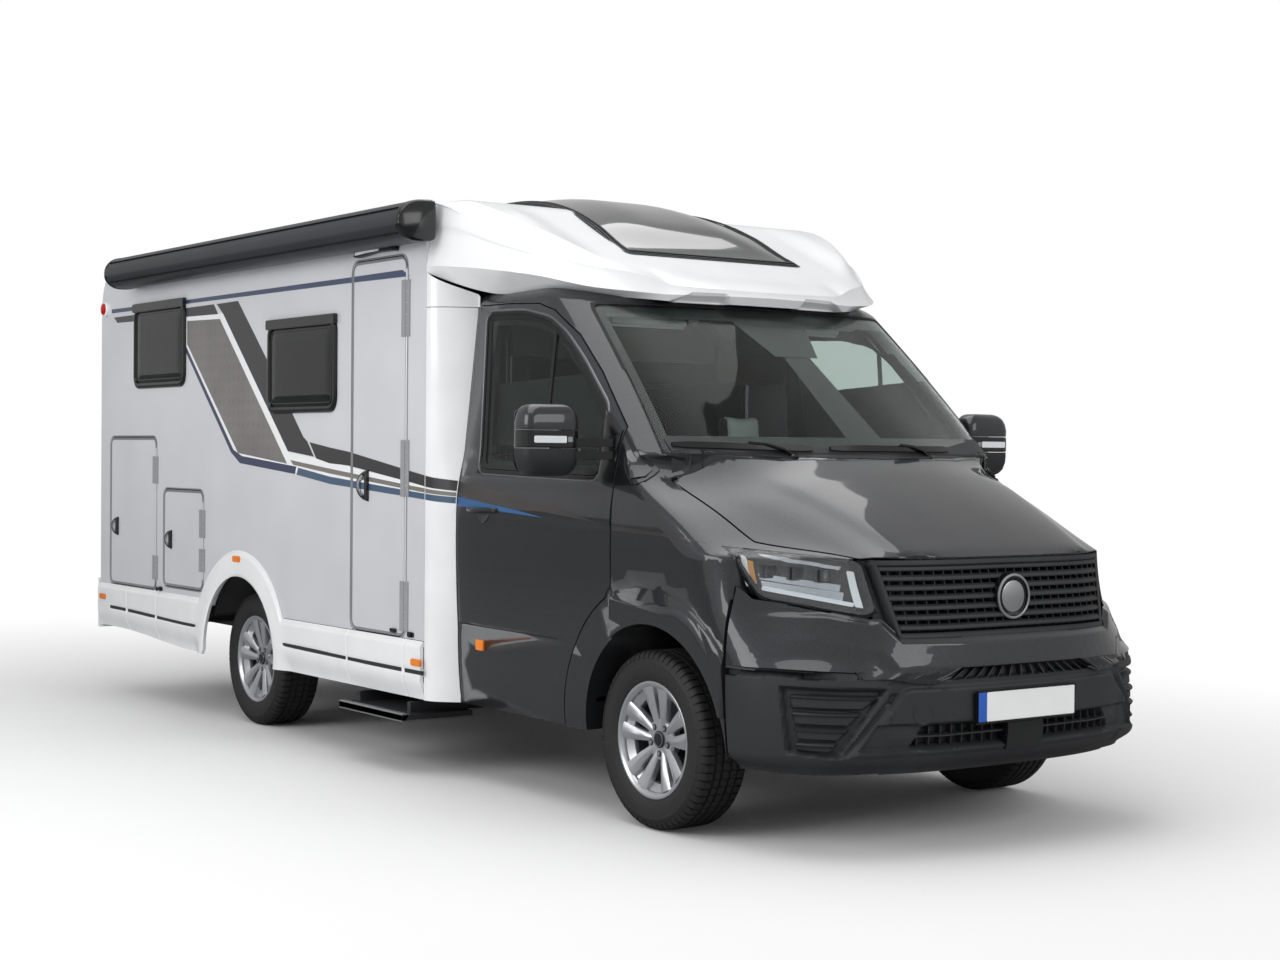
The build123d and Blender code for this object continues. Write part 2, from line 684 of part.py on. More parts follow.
# ---------------------------------------------------------------- chassis
def chassis():
    rails = None
    for side in (-1, 1):
        x0 = side * RAIL_X
        x1 = side * (RAIL_X + RAIL_WIDTH)
        front = block(x0, x1, CAB_RAIL_FRONT, 1650, RAIL_BOTTOM, CAB_RAIL_TOP)
        rear = block(x0, x1, 1450, 5490, REAR_RAIL_BOTTOM, BODY_BOTTOM - FLOOR_THICK)
        pair = front + rear
        rails = pair if rails is None else rails + pair
    for y in (-300, 200, 1500, 2300, 3100, 4050, 4800, 5430):
        z0 = RAIL_BOTTOM if y < 1400 else 420
        rails += block(-RAIL_X - 10, RAIL_X + 10, y, y + 60, z0, z0 + CROSS_DEPTH)
    for y in (1700, 2310, 3130, 4500, 5300):
        rails += block(-1060, 1060, y, y + 50, 480, BODY_BOTTOM - FLOOR_THICK)
    for side in (-1, 1):
        for y in TOWBAR_STATIONS:
            hole_at = Pos(side * (RAIL_X + RAIL_WIDTH / 2), y, REAR_RAIL_BOTTOM + TOWBAR_DEPTH / 2)
            rails -= hole_at * Cylinder(TOWBAR_HOLE, TOWBAR_DEPTH)
    # step housing: two guides hung under the floor
    for y in (1700, 2190):
        guide = block(-790, -480, y - 12, y + 42, STEP_Z + 5, STEP_Z + 215)
        guide -= block(-900, -400, y - FIT, y + 30 + FIT, STEP_Z - 10, STEP_Z + 50 + FIT)
        rails += guide
    rails += block(-790, -470, 1688, 2232, STEP_Z + 150, STEP_Z + 205)
    return rails


def front_axle():
    beam = block(-520, 520, -140, 140, 240, RAIL_BOTTOM)
    # both control arms narrow towards the kingpin, where the wheel's disc swings past
    tip = KINGPIN_X + 6
    plan = polygon([
        (500, -40), (KINGPIN_X - 20, -40), (tip, -10), (tip, 10), (KINGPIN_X - 20, 40), (500, 40),
    ])
    arm = upright(plan, 210, KNUCKLE_BOTTOM - 5) + block(480, 540, -40, 40, 210, 300)
    arm += upright(plan, KNUCKLE_TOP + 5, 480) + block(480, 520, -40, 40, 240, 480)
    pad = Pos(KINGPIN_X, 0, 0) * Cylinder(10, 5 - FIT, align=(Align.CENTER, Align.CENTER, Align.MIN))
    arm += Pos(0, 0, KNUCKLE_BOTTOM - 5) * pad + Pos(0, 0, KNUCKLE_TOP + FIT) * pad
    strut = Pos(STRUT_X, 0, 660) * Cylinder(28, 420)
    seat_ring = Pos(STRUT_X, 0, 810) * Cylinder(SPRING_RADIUS, 120)
    tower = block(500, 740, -60, 89, 870, 900)
    return beam + both(arm + strut + seat_ring + tower)


def rear_axle():
    beam = rod(45, -790, 790, WHEELBASE, TYRE_RADIUS)
    for side in (-1, 1):
        beam += block(side * 560, side * 640, WHEELBASE - 600, WHEELBASE + 60, 320, 400)
        beam += block(side * 420, side * 640, WHEELBASE - 600, WHEELBASE - 520, 320, REAR_RAIL_BOTTOM)
        beam += Pos(side * 600, WHEELBASE + 20, 440) * Cylinder(55, 240)
        beam += rod(60, side * 760, side * (REAR_WHEEL_X - HUB_BACK - FIT), WHEELBASE, TYRE_RADIUS)
    return beam


def knuckle_left():
    hub_face = FRONT_WHEEL_X - HUB_BACK
    body = block(750, hub_face - 10, -50, 50, KNUCKLE_BOTTOM, KNUCKLE_TOP)
    body += rod(45, 790, hub_face - FIT, 0, TYRE_RADIUS)
    body += block(740, 790, -150, -40, 300, 340)
    return body


def engine_block():
    return block(-340, 340, -640, 60, RAIL_BOTTOM + CROSS_DEPTH, 960)


def underfloor_tank():
    return block(-400, 400, 2380, 3080, 330, BODY_BOTTOM - FLOOR_THICK)


# ---------------------------------------------------------------- wheels
def tyre(x, y):
    bead = RIM_RADIUS - 15
    half = TYRE_WIDTH / 2
    seat = RIM_WIDTH / 2 - FIT
    profile = polygon([
        (-seat, bead), (seat, bead), (seat, RIM_RADIUS + 2), (half - 6, RIM_RADIUS + 22), (half, bead + 75),
        (half - 8, TYRE_RADIUS - 18), (half - 26, TYRE_RADIUS - 3), (60, TYRE_RADIUS), (-60, TYRE_RADIUS),
        (-half + 26, TYRE_RADIUS - 3), (-half + 8, TYRE_RADIUS - 18), (-half, bead + 75),
        (-half + 6, RIM_RADIUS + 22), (-seat, RIM_RADIUS + 2),
    ])
    ring = revolve(Plane.XY * profile, axis=Axis.X)
    return Pos(x, y, TYRE_RADIUS) * ring


def rim(x, y):
    """Wheel whose spoked face looks to +X."""
    half = RIM_WIDTH / 2
    bead = RIM_RADIUS - 15
    barrel = polygon([
        (-half - 9, bead - 12), (half + 9, bead - 12), (half + 9, RIM_RADIUS), (half, RIM_RADIUS),
        (half, bead - FIT), (-half, bead - FIT), (-half, RIM_RADIUS), (-half - 9, RIM_RADIUS),
    ])
    wheel = revolve(Plane.XY * barrel, axis=Axis.X)
    face = rod(bead - 8, half - 35, half - 5, 0, 0)
    for i in range(5):
        turn = Rot(i * 72, 0, 0)
        window_cut = across(polygon([(-70, 190), (-22, 78), (22, 78), (70, 190)], 10), 40, 120)
        slot = across(polygon([(-13, 185), (-5, 100), (5, 100), (13, 185)], 4), 40, 120)
        face -= turn * window_cut
        face -= Rot(i * 72 + 36, 0, 0) * slot
    wheel += face
    wheel += rod(HUB_RADIUS, -HUB_BACK, half - 20, 0, 0)
    wheel += rod(150, -HUB_BACK, -28, 0, 0)
    return Pos(x, y, TYRE_RADIUS) * wheel


def main():
    os.makedirs("parts", exist_ok=True)
    write("chassis_frame", chassis())
    write("front_axle", front_axle())
    write("rear_axle", rear_axle())
    write("engine_block", engine_block())
    write("underfloor_tank", underfloor_tank())
    write("cab_shell", cab_shell())
    write("windscreen", windscreen())
    write("front_fascia", fascia())
    write("front_bumper", bumper())
    write("grille", grille())
    write("headlamps", headlamps())
    write("bonnet", bonnet())
    write("dashboard", dashboard())
    write("cab_seats", cab_seats())
    write("steering_wheel", steering_wheel())
    write_pair("door", door_left())
    write_pair("door_glass", door_glass_left())
    write_pair("mirror", mirror_left())
    write("roof_hood", roof_hood())
    write("roof_lights", roof_lights())
    write("transition_panels", transition_panels())
    write("side_wall_left", side_wall_left())
    write("side_wall_right", side_wall_right())
    write("roof_panel", roof_panel())
    write("rear_wall", rear_wall())
    write("living_floor", living_floor())
    write("skirts", skirts())
    write("rear_bumper", rear_bumper())
    write("rear_lamps", rear_lamps())
    write("awning_case", awning_case())
    write("living_windows", living_windows())
    write("entry_door", other_side(flap(ENTRY, 60)))
    write("garage_door_left", flap(GARAGE, 50))
    write("garage_door_right", other_side(flap(GARAGE, 50)))
    write("hatch_right", other_side(flap(HATCH, 50)))
    write("entry_step", entry_step())
    write_pair("knuckle", knuckle_left())
    for end, x, y in (("front", FRONT_WHEEL_X, 0.0), ("rear", REAR_WHEEL_X, WHEELBASE)):
        write_pair(f"tyre_{end}", tyre(x, y))
        write_pair(f"rim_{end}", rim(x, y))


main()
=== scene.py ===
# %% [markdown]
# # A low-profile motorhome
# A motorhome like this is two vehicles in one. A van maker builds the steel cab and
# chassis, and a coachbuilder adds a light living body of coated aluminium sheet and
# glossy white moulded plastic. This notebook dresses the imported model: it gives each
# panel its real finish and adds the trim, lamps, seals, tread and cloth that make the
# object look right from a step away.

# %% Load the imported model
import json
import math

import bmesh
import bpy
from mathutils import Matrix, Vector
from mathutils.bvhtree import BVHTree


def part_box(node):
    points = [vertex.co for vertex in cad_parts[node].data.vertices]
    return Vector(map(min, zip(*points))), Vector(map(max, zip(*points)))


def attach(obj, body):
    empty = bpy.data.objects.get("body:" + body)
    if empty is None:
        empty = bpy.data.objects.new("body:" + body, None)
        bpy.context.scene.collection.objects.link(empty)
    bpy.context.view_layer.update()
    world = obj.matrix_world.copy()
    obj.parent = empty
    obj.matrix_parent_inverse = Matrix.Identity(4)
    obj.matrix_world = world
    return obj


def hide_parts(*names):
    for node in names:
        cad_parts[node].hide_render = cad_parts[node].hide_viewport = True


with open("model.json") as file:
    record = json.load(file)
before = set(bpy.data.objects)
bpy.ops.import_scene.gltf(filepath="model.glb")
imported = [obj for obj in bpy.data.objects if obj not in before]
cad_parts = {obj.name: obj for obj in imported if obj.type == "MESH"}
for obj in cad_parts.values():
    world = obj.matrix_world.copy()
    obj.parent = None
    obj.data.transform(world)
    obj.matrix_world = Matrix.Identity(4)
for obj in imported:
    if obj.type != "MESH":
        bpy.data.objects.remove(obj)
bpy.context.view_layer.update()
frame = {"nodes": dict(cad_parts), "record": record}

# %% [markdown]
# ## The frame of the vehicle
# Lengths are in metres. The front axle is the natural zero for everything on a vehicle,
# so the places below are given as stations behind that axle, and `at` turns a station
# into the frame's own Y. The vehicle's right-hand side, where the entry door is, is -X.

# %% Stations along the vehicle
def middle(node):
    """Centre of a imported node's box."""
    low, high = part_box(node)
    return (Vector(low) + Vector(high)) / 2


AXLE_Y = middle("tyre_front_right").y
REAR_AXLE_Y = middle("tyre_rear_right").y
TYRE_RADIUS = middle("tyre_front_right").z
WALL_X = -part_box("side_wall_right")[0][0]
ORIGIN, X_AXIS, Y_AXIS, Z_AXIS = (0, 0, 0), (1, 0, 0), (0, 1, 0), (0, 0, 1)
AHEAD = (0, -1, 0)
RIGHT, LEFT = -1, 1
# Each side's name, and whether a piece shaped for the right is mirrored for it.
SIDES = (("right", False), ("left", True))


def at(x, station, z):
    """A point from its distance across, its station behind the front axle and its height."""
    return Vector((x, AXLE_Y + station, z))


def placed(name, data):
    """New object in the scene that carries a mesh, a lamp or a camera."""
    thing = bpy.data.objects.new(name, data)
    bpy.context.scene.collection.objects.link(thing)
    return thing


print(
    "wheelbase", round(REAR_AXLE_Y - AXLE_Y, 3), "m, half width of the body", round(WALL_X, 3), "m"
)

# %% [markdown]
# ## The camera
# A long lens keeps the perspective calm. The camera stands ahead of the vehicle's right
# front corner at about the height of the bonnet, and looks nearly level.

# %% Camera
CAMERA_AT = at(-5.589, -6.334, 1.490)
HEADING = math.radians(35.707)
TILT = math.radians(-0.828)
ROLL = math.radians(-0.482)
LENS_MM = 56.19
SENSOR_MM = 36.0

look = Vector(
    (math.sin(HEADING) * math.cos(TILT), math.cos(HEADING) * math.cos(TILT), math.sin(TILT),)
)
level = Vector((math.cos(HEADING), -math.sin(HEADING), 0.0))
down = look.cross(level)
across = level * math.cos(ROLL) + down * math.sin(ROLL)
below = down * math.cos(ROLL) - level * math.sin(ROLL)

camera_data = bpy.data.cameras.new("camera")
camera_data.lens = LENS_MM
camera_data.sensor_width = SENSOR_MM
camera_data.clip_end = 200.0
camera = placed("camera", camera_data)
turn = Matrix((across, -below, -look)).transposed().to_4x4()
camera.matrix_world = Matrix.Translation(CAMERA_AT) @ turn
bpy.context.scene.camera = camera

# %% [markdown]
# ## Colours and shader nodes
# Colours are written as the hex values that a painter would pick on a screen, and one
# function turns them into the linear values that the renderer works with. A second
# small function adds one shader node, sets it up and links it, so that a finish reads
# like a recipe.

# %% Colour and node helpers
MM = 0.001


def hex_colour(text):
    """Linear colour of an sRGB hex value such as "#3a3c3f"."""
    values = [int(text[i:i + 2], 16) / 255 for i in (1, 3, 5)]
    linear = [v / 12.92 if v <= 0.04045 else ((v + 0.055) / 1.055) ** 2.4 for v in values]
    return (*linear, 1.0)


def set_inputs(node, inputs):
    """Set a node's inputs from values or from other nodes' sockets."""
    for name, value in inputs.items():
        if isinstance(value, bpy.types.NodeSocket):
            node.id_data.links.new(value, node.inputs[name])
        else:
            node.inputs[name].default_value = value


def add_node(tree, kind, inputs=None, **settings):
    """Add one node, set its properties, then its inputs."""
    node = tree.nodes.new(kind)
    for name, value in settings.items():
        setattr(node, name, value)
    set_inputs(node, inputs or {})
    return node


def new_finish(name):
    """Empty material with its shader: returns the material, its tree and the shader."""
    material = bpy.data.materials.new(name)
    material.use_nodes = True
    tree = material.node_tree
    tree.nodes.clear()
    shader = add_node(tree, "ShaderNodeBsdfPrincipled")
    add_node(tree, "ShaderNodeOutputMaterial", {"Surface": shader.outputs["BSDF"]})
    return material, tree, shader


def object_place(tree):
    """Object coordinates, in metres."""
    return add_node(tree, "ShaderNodeTexCoord").outputs["Object"]


def ramp_between(tree, amount, low, high, start=0.3, end=0.7):
    """Two hex colours mixed by an amount, spread from start to end."""
    ramp = add_node(tree, "ShaderNodeValToRGB", {"Fac": amount})
    ramp.color_ramp.elements[0].position = start
    ramp.color_ramp.elements[0].color = hex_colour(low)
    ramp.color_ramp.elements[1].position = end
    ramp.color_ramp.elements[1].color = hex_colour(high)
    return ramp.outputs["Color"]


def bump_from(tree, height, depth_mm):
    """Normal from a height pattern."""
    inputs = {"Height": height, "Strength": 1.0, "Distance": depth_mm * MM}
    return add_node(tree, "ShaderNodeBump", inputs).outputs["Normal"]


def noise(tree, size_mm, detail, place=None):
    """Noise whose grains are about size_mm across."""
    inputs = {
        "Vector": place or object_place(tree), "Scale": 1.0 / (size_mm * MM), "Detail": detail
    }
    return add_node(tree, "ShaderNodeTexNoise", inputs).outputs["Fac"]


# %% [markdown]
# ## Painted and moulded finishes
# Most surfaces here are one of a few families: sprayed paint, glossy moulded plastic,
# grained moulded plastic, rubber, cast alloy. They share one recipe with different
# numbers. A fine pattern gives the surface its grain or orange peel, and a broad, faint
# one makes the colour wander a little, as it does on every real panel.

# %% A general surface
WANDER_MM = 260.0           # size of the broad patches over which a colour wanders


def surface(name, dark, light, roughness, grain_mm, grain_depth_mm, metallic=0.0, **shader_inputs):
    """Finish whose colour wanders between two hex values under a fine grain."""
    material, tree, shader = new_finish(name)
    colour = ramp_between(tree, noise(tree, WANDER_MM, 3.0), dark, light)
    normal = bump_from(tree, noise(tree, grain_mm, 3.0), grain_depth_mm)
    set_inputs(
        shader,
        {"Base Color": colour, "Normal": normal, "Roughness": roughness, "Metallic": metallic,}
    )
    set_inputs(shader, {name.replace("_", " "): value for name, value in shader_inputs.items()})
    return material


# Glossy gelcoat over glass-fibre: a deep shine with a faint orange peel 6 mm across.
white_gelcoat = surface(
    "white_gelcoat", "#e6e8ea", "#eef0f1", 0.22, 6.0, 0.012, Coat_Weight=0.5, Coat_Roughness=0.06
)
# Black talc-filled polypropylene, moulded with a leather grain; 2 mm here so that it shows.
grained_plastic = surface("grained_polypropylene", "#232427", "#2a2b2e", 0.55, 2.2, 0.10)
smooth_black = surface("gloss_black_abs", "#101113", "#141517", 0.18, 5.0, 0.004, Coat_Weight=0.3)
# Soft-touch dashboard skin: slush-moulded, matt, with a 2 mm pebble grain.
dash_skin = surface("slush_moulded_dash_skin", "#1d1f22", "#26282b", 0.68, 2.0, 0.12)
chassis_black = surface("dip_painted_steel", "#111213", "#191a1b", 0.45, 8.0, 0.05)
rubber_black = surface("vulcanised_rubber", "#121213", "#1a1a1b", 0.72, 3.0, 0.05)
anthracite_case = surface(
    "anthracite_powder_coat", "#2b2f33", "#31353a", 0.38, 1.6, 0.02, metallic=0.25
)
alloy_silver = surface(
    "silver_lacquered_cast_alloy", "#b9bcc0", "#c6c9cc", 0.30, 2.0, 0.01, metallic=0.75,
    Coat_Weight=0.35, Coat_Roughness=0.08
)
bare_aluminium = surface("anodised_aluminium", "#a9acae", "#b9bcbe", 0.36, 1.2, 0.01, metallic=0.9)
chrome = surface("bright_chrome", "#cfd2d4", "#d8dadc", 0.06, 9.0, 0.002, metallic=1.0)
underfloor_black = surface("bitumen_coated_underfloor", "#0e0e0f", "#151516", 0.8, 5.0, 0.08)
dull_grey = surface("cast_iron_and_alloy", "#4a4c4e", "#5b5d5f", 0.55, 5.0, 0.1, metallic=0.6)

# %% [markdown]
# ## The two special paints
# The cab is a dark grey metallic: a pigmented base coat with aluminium flakes in it under
# a clear lacquer. Each flake lies at its own angle, so it catches the light alone. Real
# flakes are a few hundredths of a millimetre; the cells here are 1.5 mm so that the
# sparkle still shows. The living body is aluminium sheet coated silver-grey on a coil
# line, nearly flat, with the faint long waves of a bonded sandwich panel.

# %% Metallic paint and coated sheet
FLAKE_MM = 1.5


def metallic_paint(name, dark, light):
    """Flakes of aluminium in a dark base coat, under a clear lacquer."""
    material, tree, shader = new_finish(name)
    place = object_place(tree)
    flakes = add_node(
        tree, "ShaderNodeTexVoronoi", {"Vector": place, "Scale": 1 / (FLAKE_MM * MM)}
    )
    separate = add_node(tree, "ShaderNodeSeparateColor", {"Color": flakes.outputs["Color"]})
    colour = ramp_between(tree, separate.outputs["Red"], dark, light, 0.0, 1.0)
    peel = noise(tree, 7.0, 1.0, place)
    set_inputs(
        shader,
        {
            "Base Color": colour, "Coat Normal": bump_from(tree, peel, 0.008), "Metallic": 0.55,
            "Roughness": 0.38, "Specular IOR Level": 0.15, "Coat Weight": 1.0,
            "Coat Roughness": 0.04,
        }
    )
    return material


cab_paint = metallic_paint("dark_grey_metallic_paint", "#292a2d", "#3b3c40")


def coated_sheet(name, dark, light):
    """Coil-coated sheet: long faint waves with a fine peel on them."""
    material, tree, shader = new_finish(name)
    place = object_place(tree)
    wave, peel = noise(tree, 420.0, 1.0, place), noise(tree, 4.0, 1.0, place)
    waves = bump_from(tree, wave, 0.6)
    both = add_node(
        tree, "ShaderNodeBump", {"Height": peel, "Distance": 0.01 * MM, "Normal": waves}
    )
    set_inputs(
        shader,
        {
            "Base Color": ramp_between(tree, wave, dark, light), "Normal": both.outputs["Normal"],
            "Metallic": 0.25, "Roughness": 0.36, "Coat Weight": 0.25, "Coat Roughness": 0.12,
        }
    )
    return material


side_sheet = coated_sheet("coil_coated_aluminium_sheet", "#d6d8dd", "#dcdee2")

# %% [markdown]
# ## Glass and lamp lenses
# Clear glass bends the light a little and mirrors it at a glancing angle. Lamps would
# leave the cab dark behind it, so rays that come from a lamp pass straight through, as
# most of the light does through a real pane. The windows of the living body are double
# skins of smoked acrylic, far darker than the windscreen.

# %% Glass
def mixed_shader(tree, amount, one, two):
    """Shader that goes from one to two with the amount."""
    mix = add_node(tree, "ShaderNodeMixShader", {"Fac": amount, 1: one, 2: two})
    return mix.outputs["Shader"]


def show(tree, shader):
    """Use a shader as the material's surface."""
    output = next(n for n in tree.nodes if n.type == "OUTPUT_MATERIAL")
    tree.links.new(shader, output.inputs["Surface"])


def clear_pane(name, tint, roughness, ior):
    """Transparent pane that lamplight passes straight through."""
    material, tree, shader = new_finish(name)
    smear = noise(tree, 180.0, 2.0)
    spread = add_node(
        tree, "ShaderNodeMapRange",
        {"Value": smear, "To Min": roughness, "To Max": roughness + 0.02,}
    )
    set_inputs(
        shader,
        {
            "Base Color": hex_colour(tint), "Transmission Weight": 1.0, "IOR": ior,
            "Roughness": spread.outputs["Result"],
        }
    )
    through = add_node(tree, "ShaderNodeBsdfTransparent", {"Color": hex_colour(tint)})
    rays = add_node(tree, "ShaderNodeLightPath")
    show(
        tree,
        mixed_shader(
            tree, rays.outputs["Is Shadow Ray"], shader.outputs["BSDF"], through.outputs["BSDF"]
        )
    )
    return material


screen_glass = clear_pane("laminated_screen_glass", "#e3ebe8", 0.0, 1.16)
door_glass = clear_pane("toughened_door_glass", "#b7c4bf", 0.0, 1.2)
smoked_acrylic = clear_pane("smoked_acrylic_pane", "#4a4d50", 0.02, 1.49)
lamp_lens = clear_pane("clear_polycarbonate_lens", "#f4f6f7", 0.0, 1.4)
red_lens = clear_pane("red_polycarbonate_lens", "#c01018", 0.02, 1.4)
amber_lens = clear_pane("amber_polycarbonate_lens", "#e8780c", 0.05, 1.4)

# %% [markdown]
# ## Studio
# The vehicle stands on a white floor that runs out of sight. The floor is white to the
# camera away from the vehicle and an ordinary pale surface close to it, so the soft
# shadow stays. Paintwork mirrors it as the mid-grey ground it would meet outdoors. Big
# soft boxes and an even sky light the object at a plain level.

# %% Floor, sky and lamps
def new_mesh_object(name, points, faces):
    """Mesh object at the origin from points and faces."""
    mesh = bpy.data.meshes.new(name)
    mesh.from_pydata(points, [], faces)
    mesh.update()
    return placed(name, mesh)


def direct_ray(tree, rays):
    """One for a ray from the camera, or for one that has come through glass."""
    inputs = {0: rays["Is Camera Ray"], 1: rays["Is Transmission Ray"]}
    node = add_node(tree, "ShaderNodeMath", inputs, operation="ADD", use_clamp=True)
    return node.outputs[0]


FLOOR_HALF = 60.0
SHADOW_START, SHADOW_END = 1.4, 5.5   # metres from the middle between which the floor whitens
FLOOR_WHITE, FLOOR_IN_PAINT = "#f4f4f4", "#8c8c8c"
WHITE = (1, 1, 1, 1)

floor_finish, floor_tree, floor_shader = new_finish("white_studio_floor")
set_inputs(floor_shader, {"Roughness": 0.9, "Specular IOR Level": 0.1})
stretched = add_node(
    floor_tree, "ShaderNodeMapping",
    {"Vector": object_place(floor_tree), "Scale": (1.0, 0.62, 1.0),}
)
distance = add_node(
    floor_tree, "ShaderNodeVectorMath", {0: stretched.outputs["Vector"]}, operation="LENGTH"
)
fade = add_node(
    floor_tree, "ShaderNodeMapRange",
    {"Value": distance.outputs["Value"], "From Min": SHADOW_START, "From Max": SHADOW_END,},
    interpolation_type="SMOOTHSTEP"
)
rays = add_node(floor_tree, "ShaderNodeLightPath").outputs
seen = direct_ray(floor_tree, rays)
# A Mix node's colour inputs are its sockets 6 and 7, and its colour output is 2.
floor_colour = add_node(
    floor_tree, "ShaderNodeMix",
    {0: rays["Is Glossy Ray"], 6: hex_colour(FLOOR_WHITE), 7: hex_colour(FLOOR_IN_PAINT),},
    data_type="RGBA"
)
set_inputs(floor_shader, {"Base Color": floor_colour.outputs[2]})
amount = add_node(
    floor_tree, "ShaderNodeMath", {0: fade.outputs["Result"], 1: seen}, operation="MULTIPLY"
)
white = add_node(floor_tree, "ShaderNodeEmission", {"Color": WHITE, "Strength": 1.0})
show(
    floor_tree,
    mixed_shader(
        floor_tree, amount.outputs[0], floor_shader.outputs["BSDF"], white.outputs["Emission"]
    )
)
corners = [(x * FLOOR_HALF, y * FLOOR_HALF, 0) for x, y in ((-1, -1), (1, -1), (1, 1), (-1, 1))]
floor = new_mesh_object("studio_floor", corners, [(0, 1, 2, 3)])
floor.data.materials.append(floor_finish)

world = bpy.data.worlds.new("even_sky")
bpy.context.scene.world = world
world.use_nodes = True
sky_tree = world.node_tree
sky_tree.nodes.clear()
SKY_STRENGTH = 0.50
sky, backdrop = (
    add_node(sky_tree, "ShaderNodeBackground", {"Color": WHITE, "Strength": strength})
    for strength in (SKY_STRENGTH, 1.0)
)
seen = direct_ray(sky_tree, add_node(sky_tree, "ShaderNodeLightPath").outputs)
add_node(
    sky_tree, "ShaderNodeOutputWorld",
    {
        "Surface": mixed_shader(
            sky_tree, seen, sky.outputs["Background"], backdrop.outputs["Background"]
        )
    }
)


def soft_box(name, place, aim, size, power):
    """Rectangular lamp at a place, facing an aim point."""
    lamp = bpy.data.lights.new(name, "AREA")
    lamp.shape = "RECTANGLE"
    lamp.size, lamp.size_y = size
    lamp.energy = power
    turn = (Vector(aim) - Vector(place)).to_track_quat("-Z", "Y").to_matrix().to_4x4()
    placed(name, lamp).matrix_world = Matrix.Translation(place) @ turn


soft_box("overhead_box", (-0.5, -0.8, 6.4), (0, -0.4, 0), (4.5, 9.0), 230)
soft_box("side_box", (-8.5, -1.0, 4.2), (-1, 0.3, 1.2), (6.0, 4.0), 265)
soft_box("front_box", (1.5, -9.0, 4.0), (0, -3, 1.0), (5.0, 3.0), 110)

bpy.context.scene.view_settings.view_transform = "Standard"

# %% [markdown]
# ## Dressing the CAD panels
# A packed panel is a cloud of loose triangles. `dress` merges a copy of one node into a
# smooth-shaded mesh in its real finish, and hides the node.

# %% Copying and dressing a node
BODIES = frame["record"]["behaviour"]["bodies"]
BODY_OF = {node: body for body, nodes in BODIES.items() for node in nodes}
SHARP = 28                  # degrees between faces at which an edge is drawn sharp


def object_of(work, name):
    """Object from a work mesh, which is freed."""
    mesh = bpy.data.meshes.new(name)
    work.to_mesh(mesh)
    work.free()
    return placed(name, mesh)


def applied(thing):
    """Mesh of an object with its modifiers worked in."""
    ready = bpy.context.evaluated_depsgraph_get()
    mesh = bpy.data.meshes.new_from_object(thing.evaluated_get(ready))
    thing.modifiers.clear()
    thing.data = mesh
    return mesh


def settle(thing, finish, body="vehicle", sharp=SHARP):
    """Finish off a piece: its material, its shading and the body it rides on."""
    if finish:
        thing.data.materials.clear()
        thing.data.materials.append(finish)
    thing.data.shade_smooth()
    thing.data.set_sharp_from_angle(angle=math.radians(sharp))
    if body:
        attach(thing, body)
    return thing


def dress(node, finish, sharp):
    """Merged, smooth-shaded copy of a CAD node in its real finish."""
    mesh = frame["nodes"][node].data.copy()
    mesh.name = node + "_skin"
    work = bmesh.new()
    work.from_mesh(mesh)
    bmesh.ops.remove_doubles(work, verts=work.verts, dist=0.02 * MM)
    bmesh.ops.dissolve_degenerate(work, edges=work.edges, dist=0.01 * MM)
    work.to_mesh(mesh)
    work.free()
    thing = settle(placed(node + "_skin", mesh), finish, BODY_OF[node], sharp)
    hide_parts(node)
    return thing


PANEL_FINISH = {
    "cab_shell": cab_paint, "door_left": cab_paint, "door_right": cab_paint,
    "windscreen": screen_glass, "door_glass_left": door_glass, "door_glass_right": door_glass,
    "rear_bumper": white_gelcoat, "rear_wall": white_gelcoat, "roof_panel": white_gelcoat,
    "side_wall_left": side_sheet, "side_wall_right": side_sheet, "entry_door": side_sheet,
    "garage_door_left": side_sheet, "garage_door_right": side_sheet, "hatch_right": side_sheet,
    "living_floor": underfloor_black, "dashboard": dash_skin, "chassis_frame": chassis_black,
    "front_axle": chassis_black, "rear_axle": chassis_black, "knuckle_left": dull_grey,
    "knuckle_right": dull_grey, "engine_block": dull_grey, "underfloor_tank": grained_plastic,
    "entry_step": grained_plastic, "headlamps": lamp_lens,
}
FLAT_PANELS = (
    "side_wall_left", "side_wall_right", "entry_door", "garage_door_left", "garage_door_right",
    "hatch_right", "rear_wall", "rear_bumper", "roof_panel"
)
FLAT_SHARP = 9
skins = {
    node: dress(node, finish, FLAT_SHARP if node in FLAT_PANELS else SHARP) for node,
    finish in PANEL_FINISH.items()
}
print(len(skins), "panels dressed")

# %% [markdown]
# ## A bench for making pieces
# Trim is made of a few kinds of shape: plates cut to an outline, bars along a path,
# turned rings, and thin sheets that hug a curved panel. `Workpiece` gathers such shapes
# and turns them into one finished object with softened edges, so that every corner
# catches a line of light as a real moulded or pressed edge does.

# %% Workpiece
def rounded(points, radius, steps=4):
    """Closed outline with every corner rounded to the radius."""
    result = []
    count = len(points)
    for i in range(count):
        before, corner, after = (Vector(points[(i + k) % count]).to_2d() for k in (-1, 0, 1))
        way_in, way_out = (before - corner), (after - corner)
        reach = min(radius, way_in.length * 0.45, way_out.length * 0.45)
        start, end = corner + way_in.normalized() * reach, corner + way_out.normalized() * reach
        for k in range(steps + 1):
            t = k / steps
            result.append(start * (1 - t) ** 2 + corner * 2 * t * (1 - t) + end * t ** 2)
    return result


def rectangle(u0, u1, v0, v1):
    """Four corners, from the low corner round and back."""
    return [Vector(corner) for corner in ((u0, v0), (u1, v0), (u1, v1), (u0, v1))]


BEVEL_FROM = 35             # degrees between faces from which an edge is rounded off


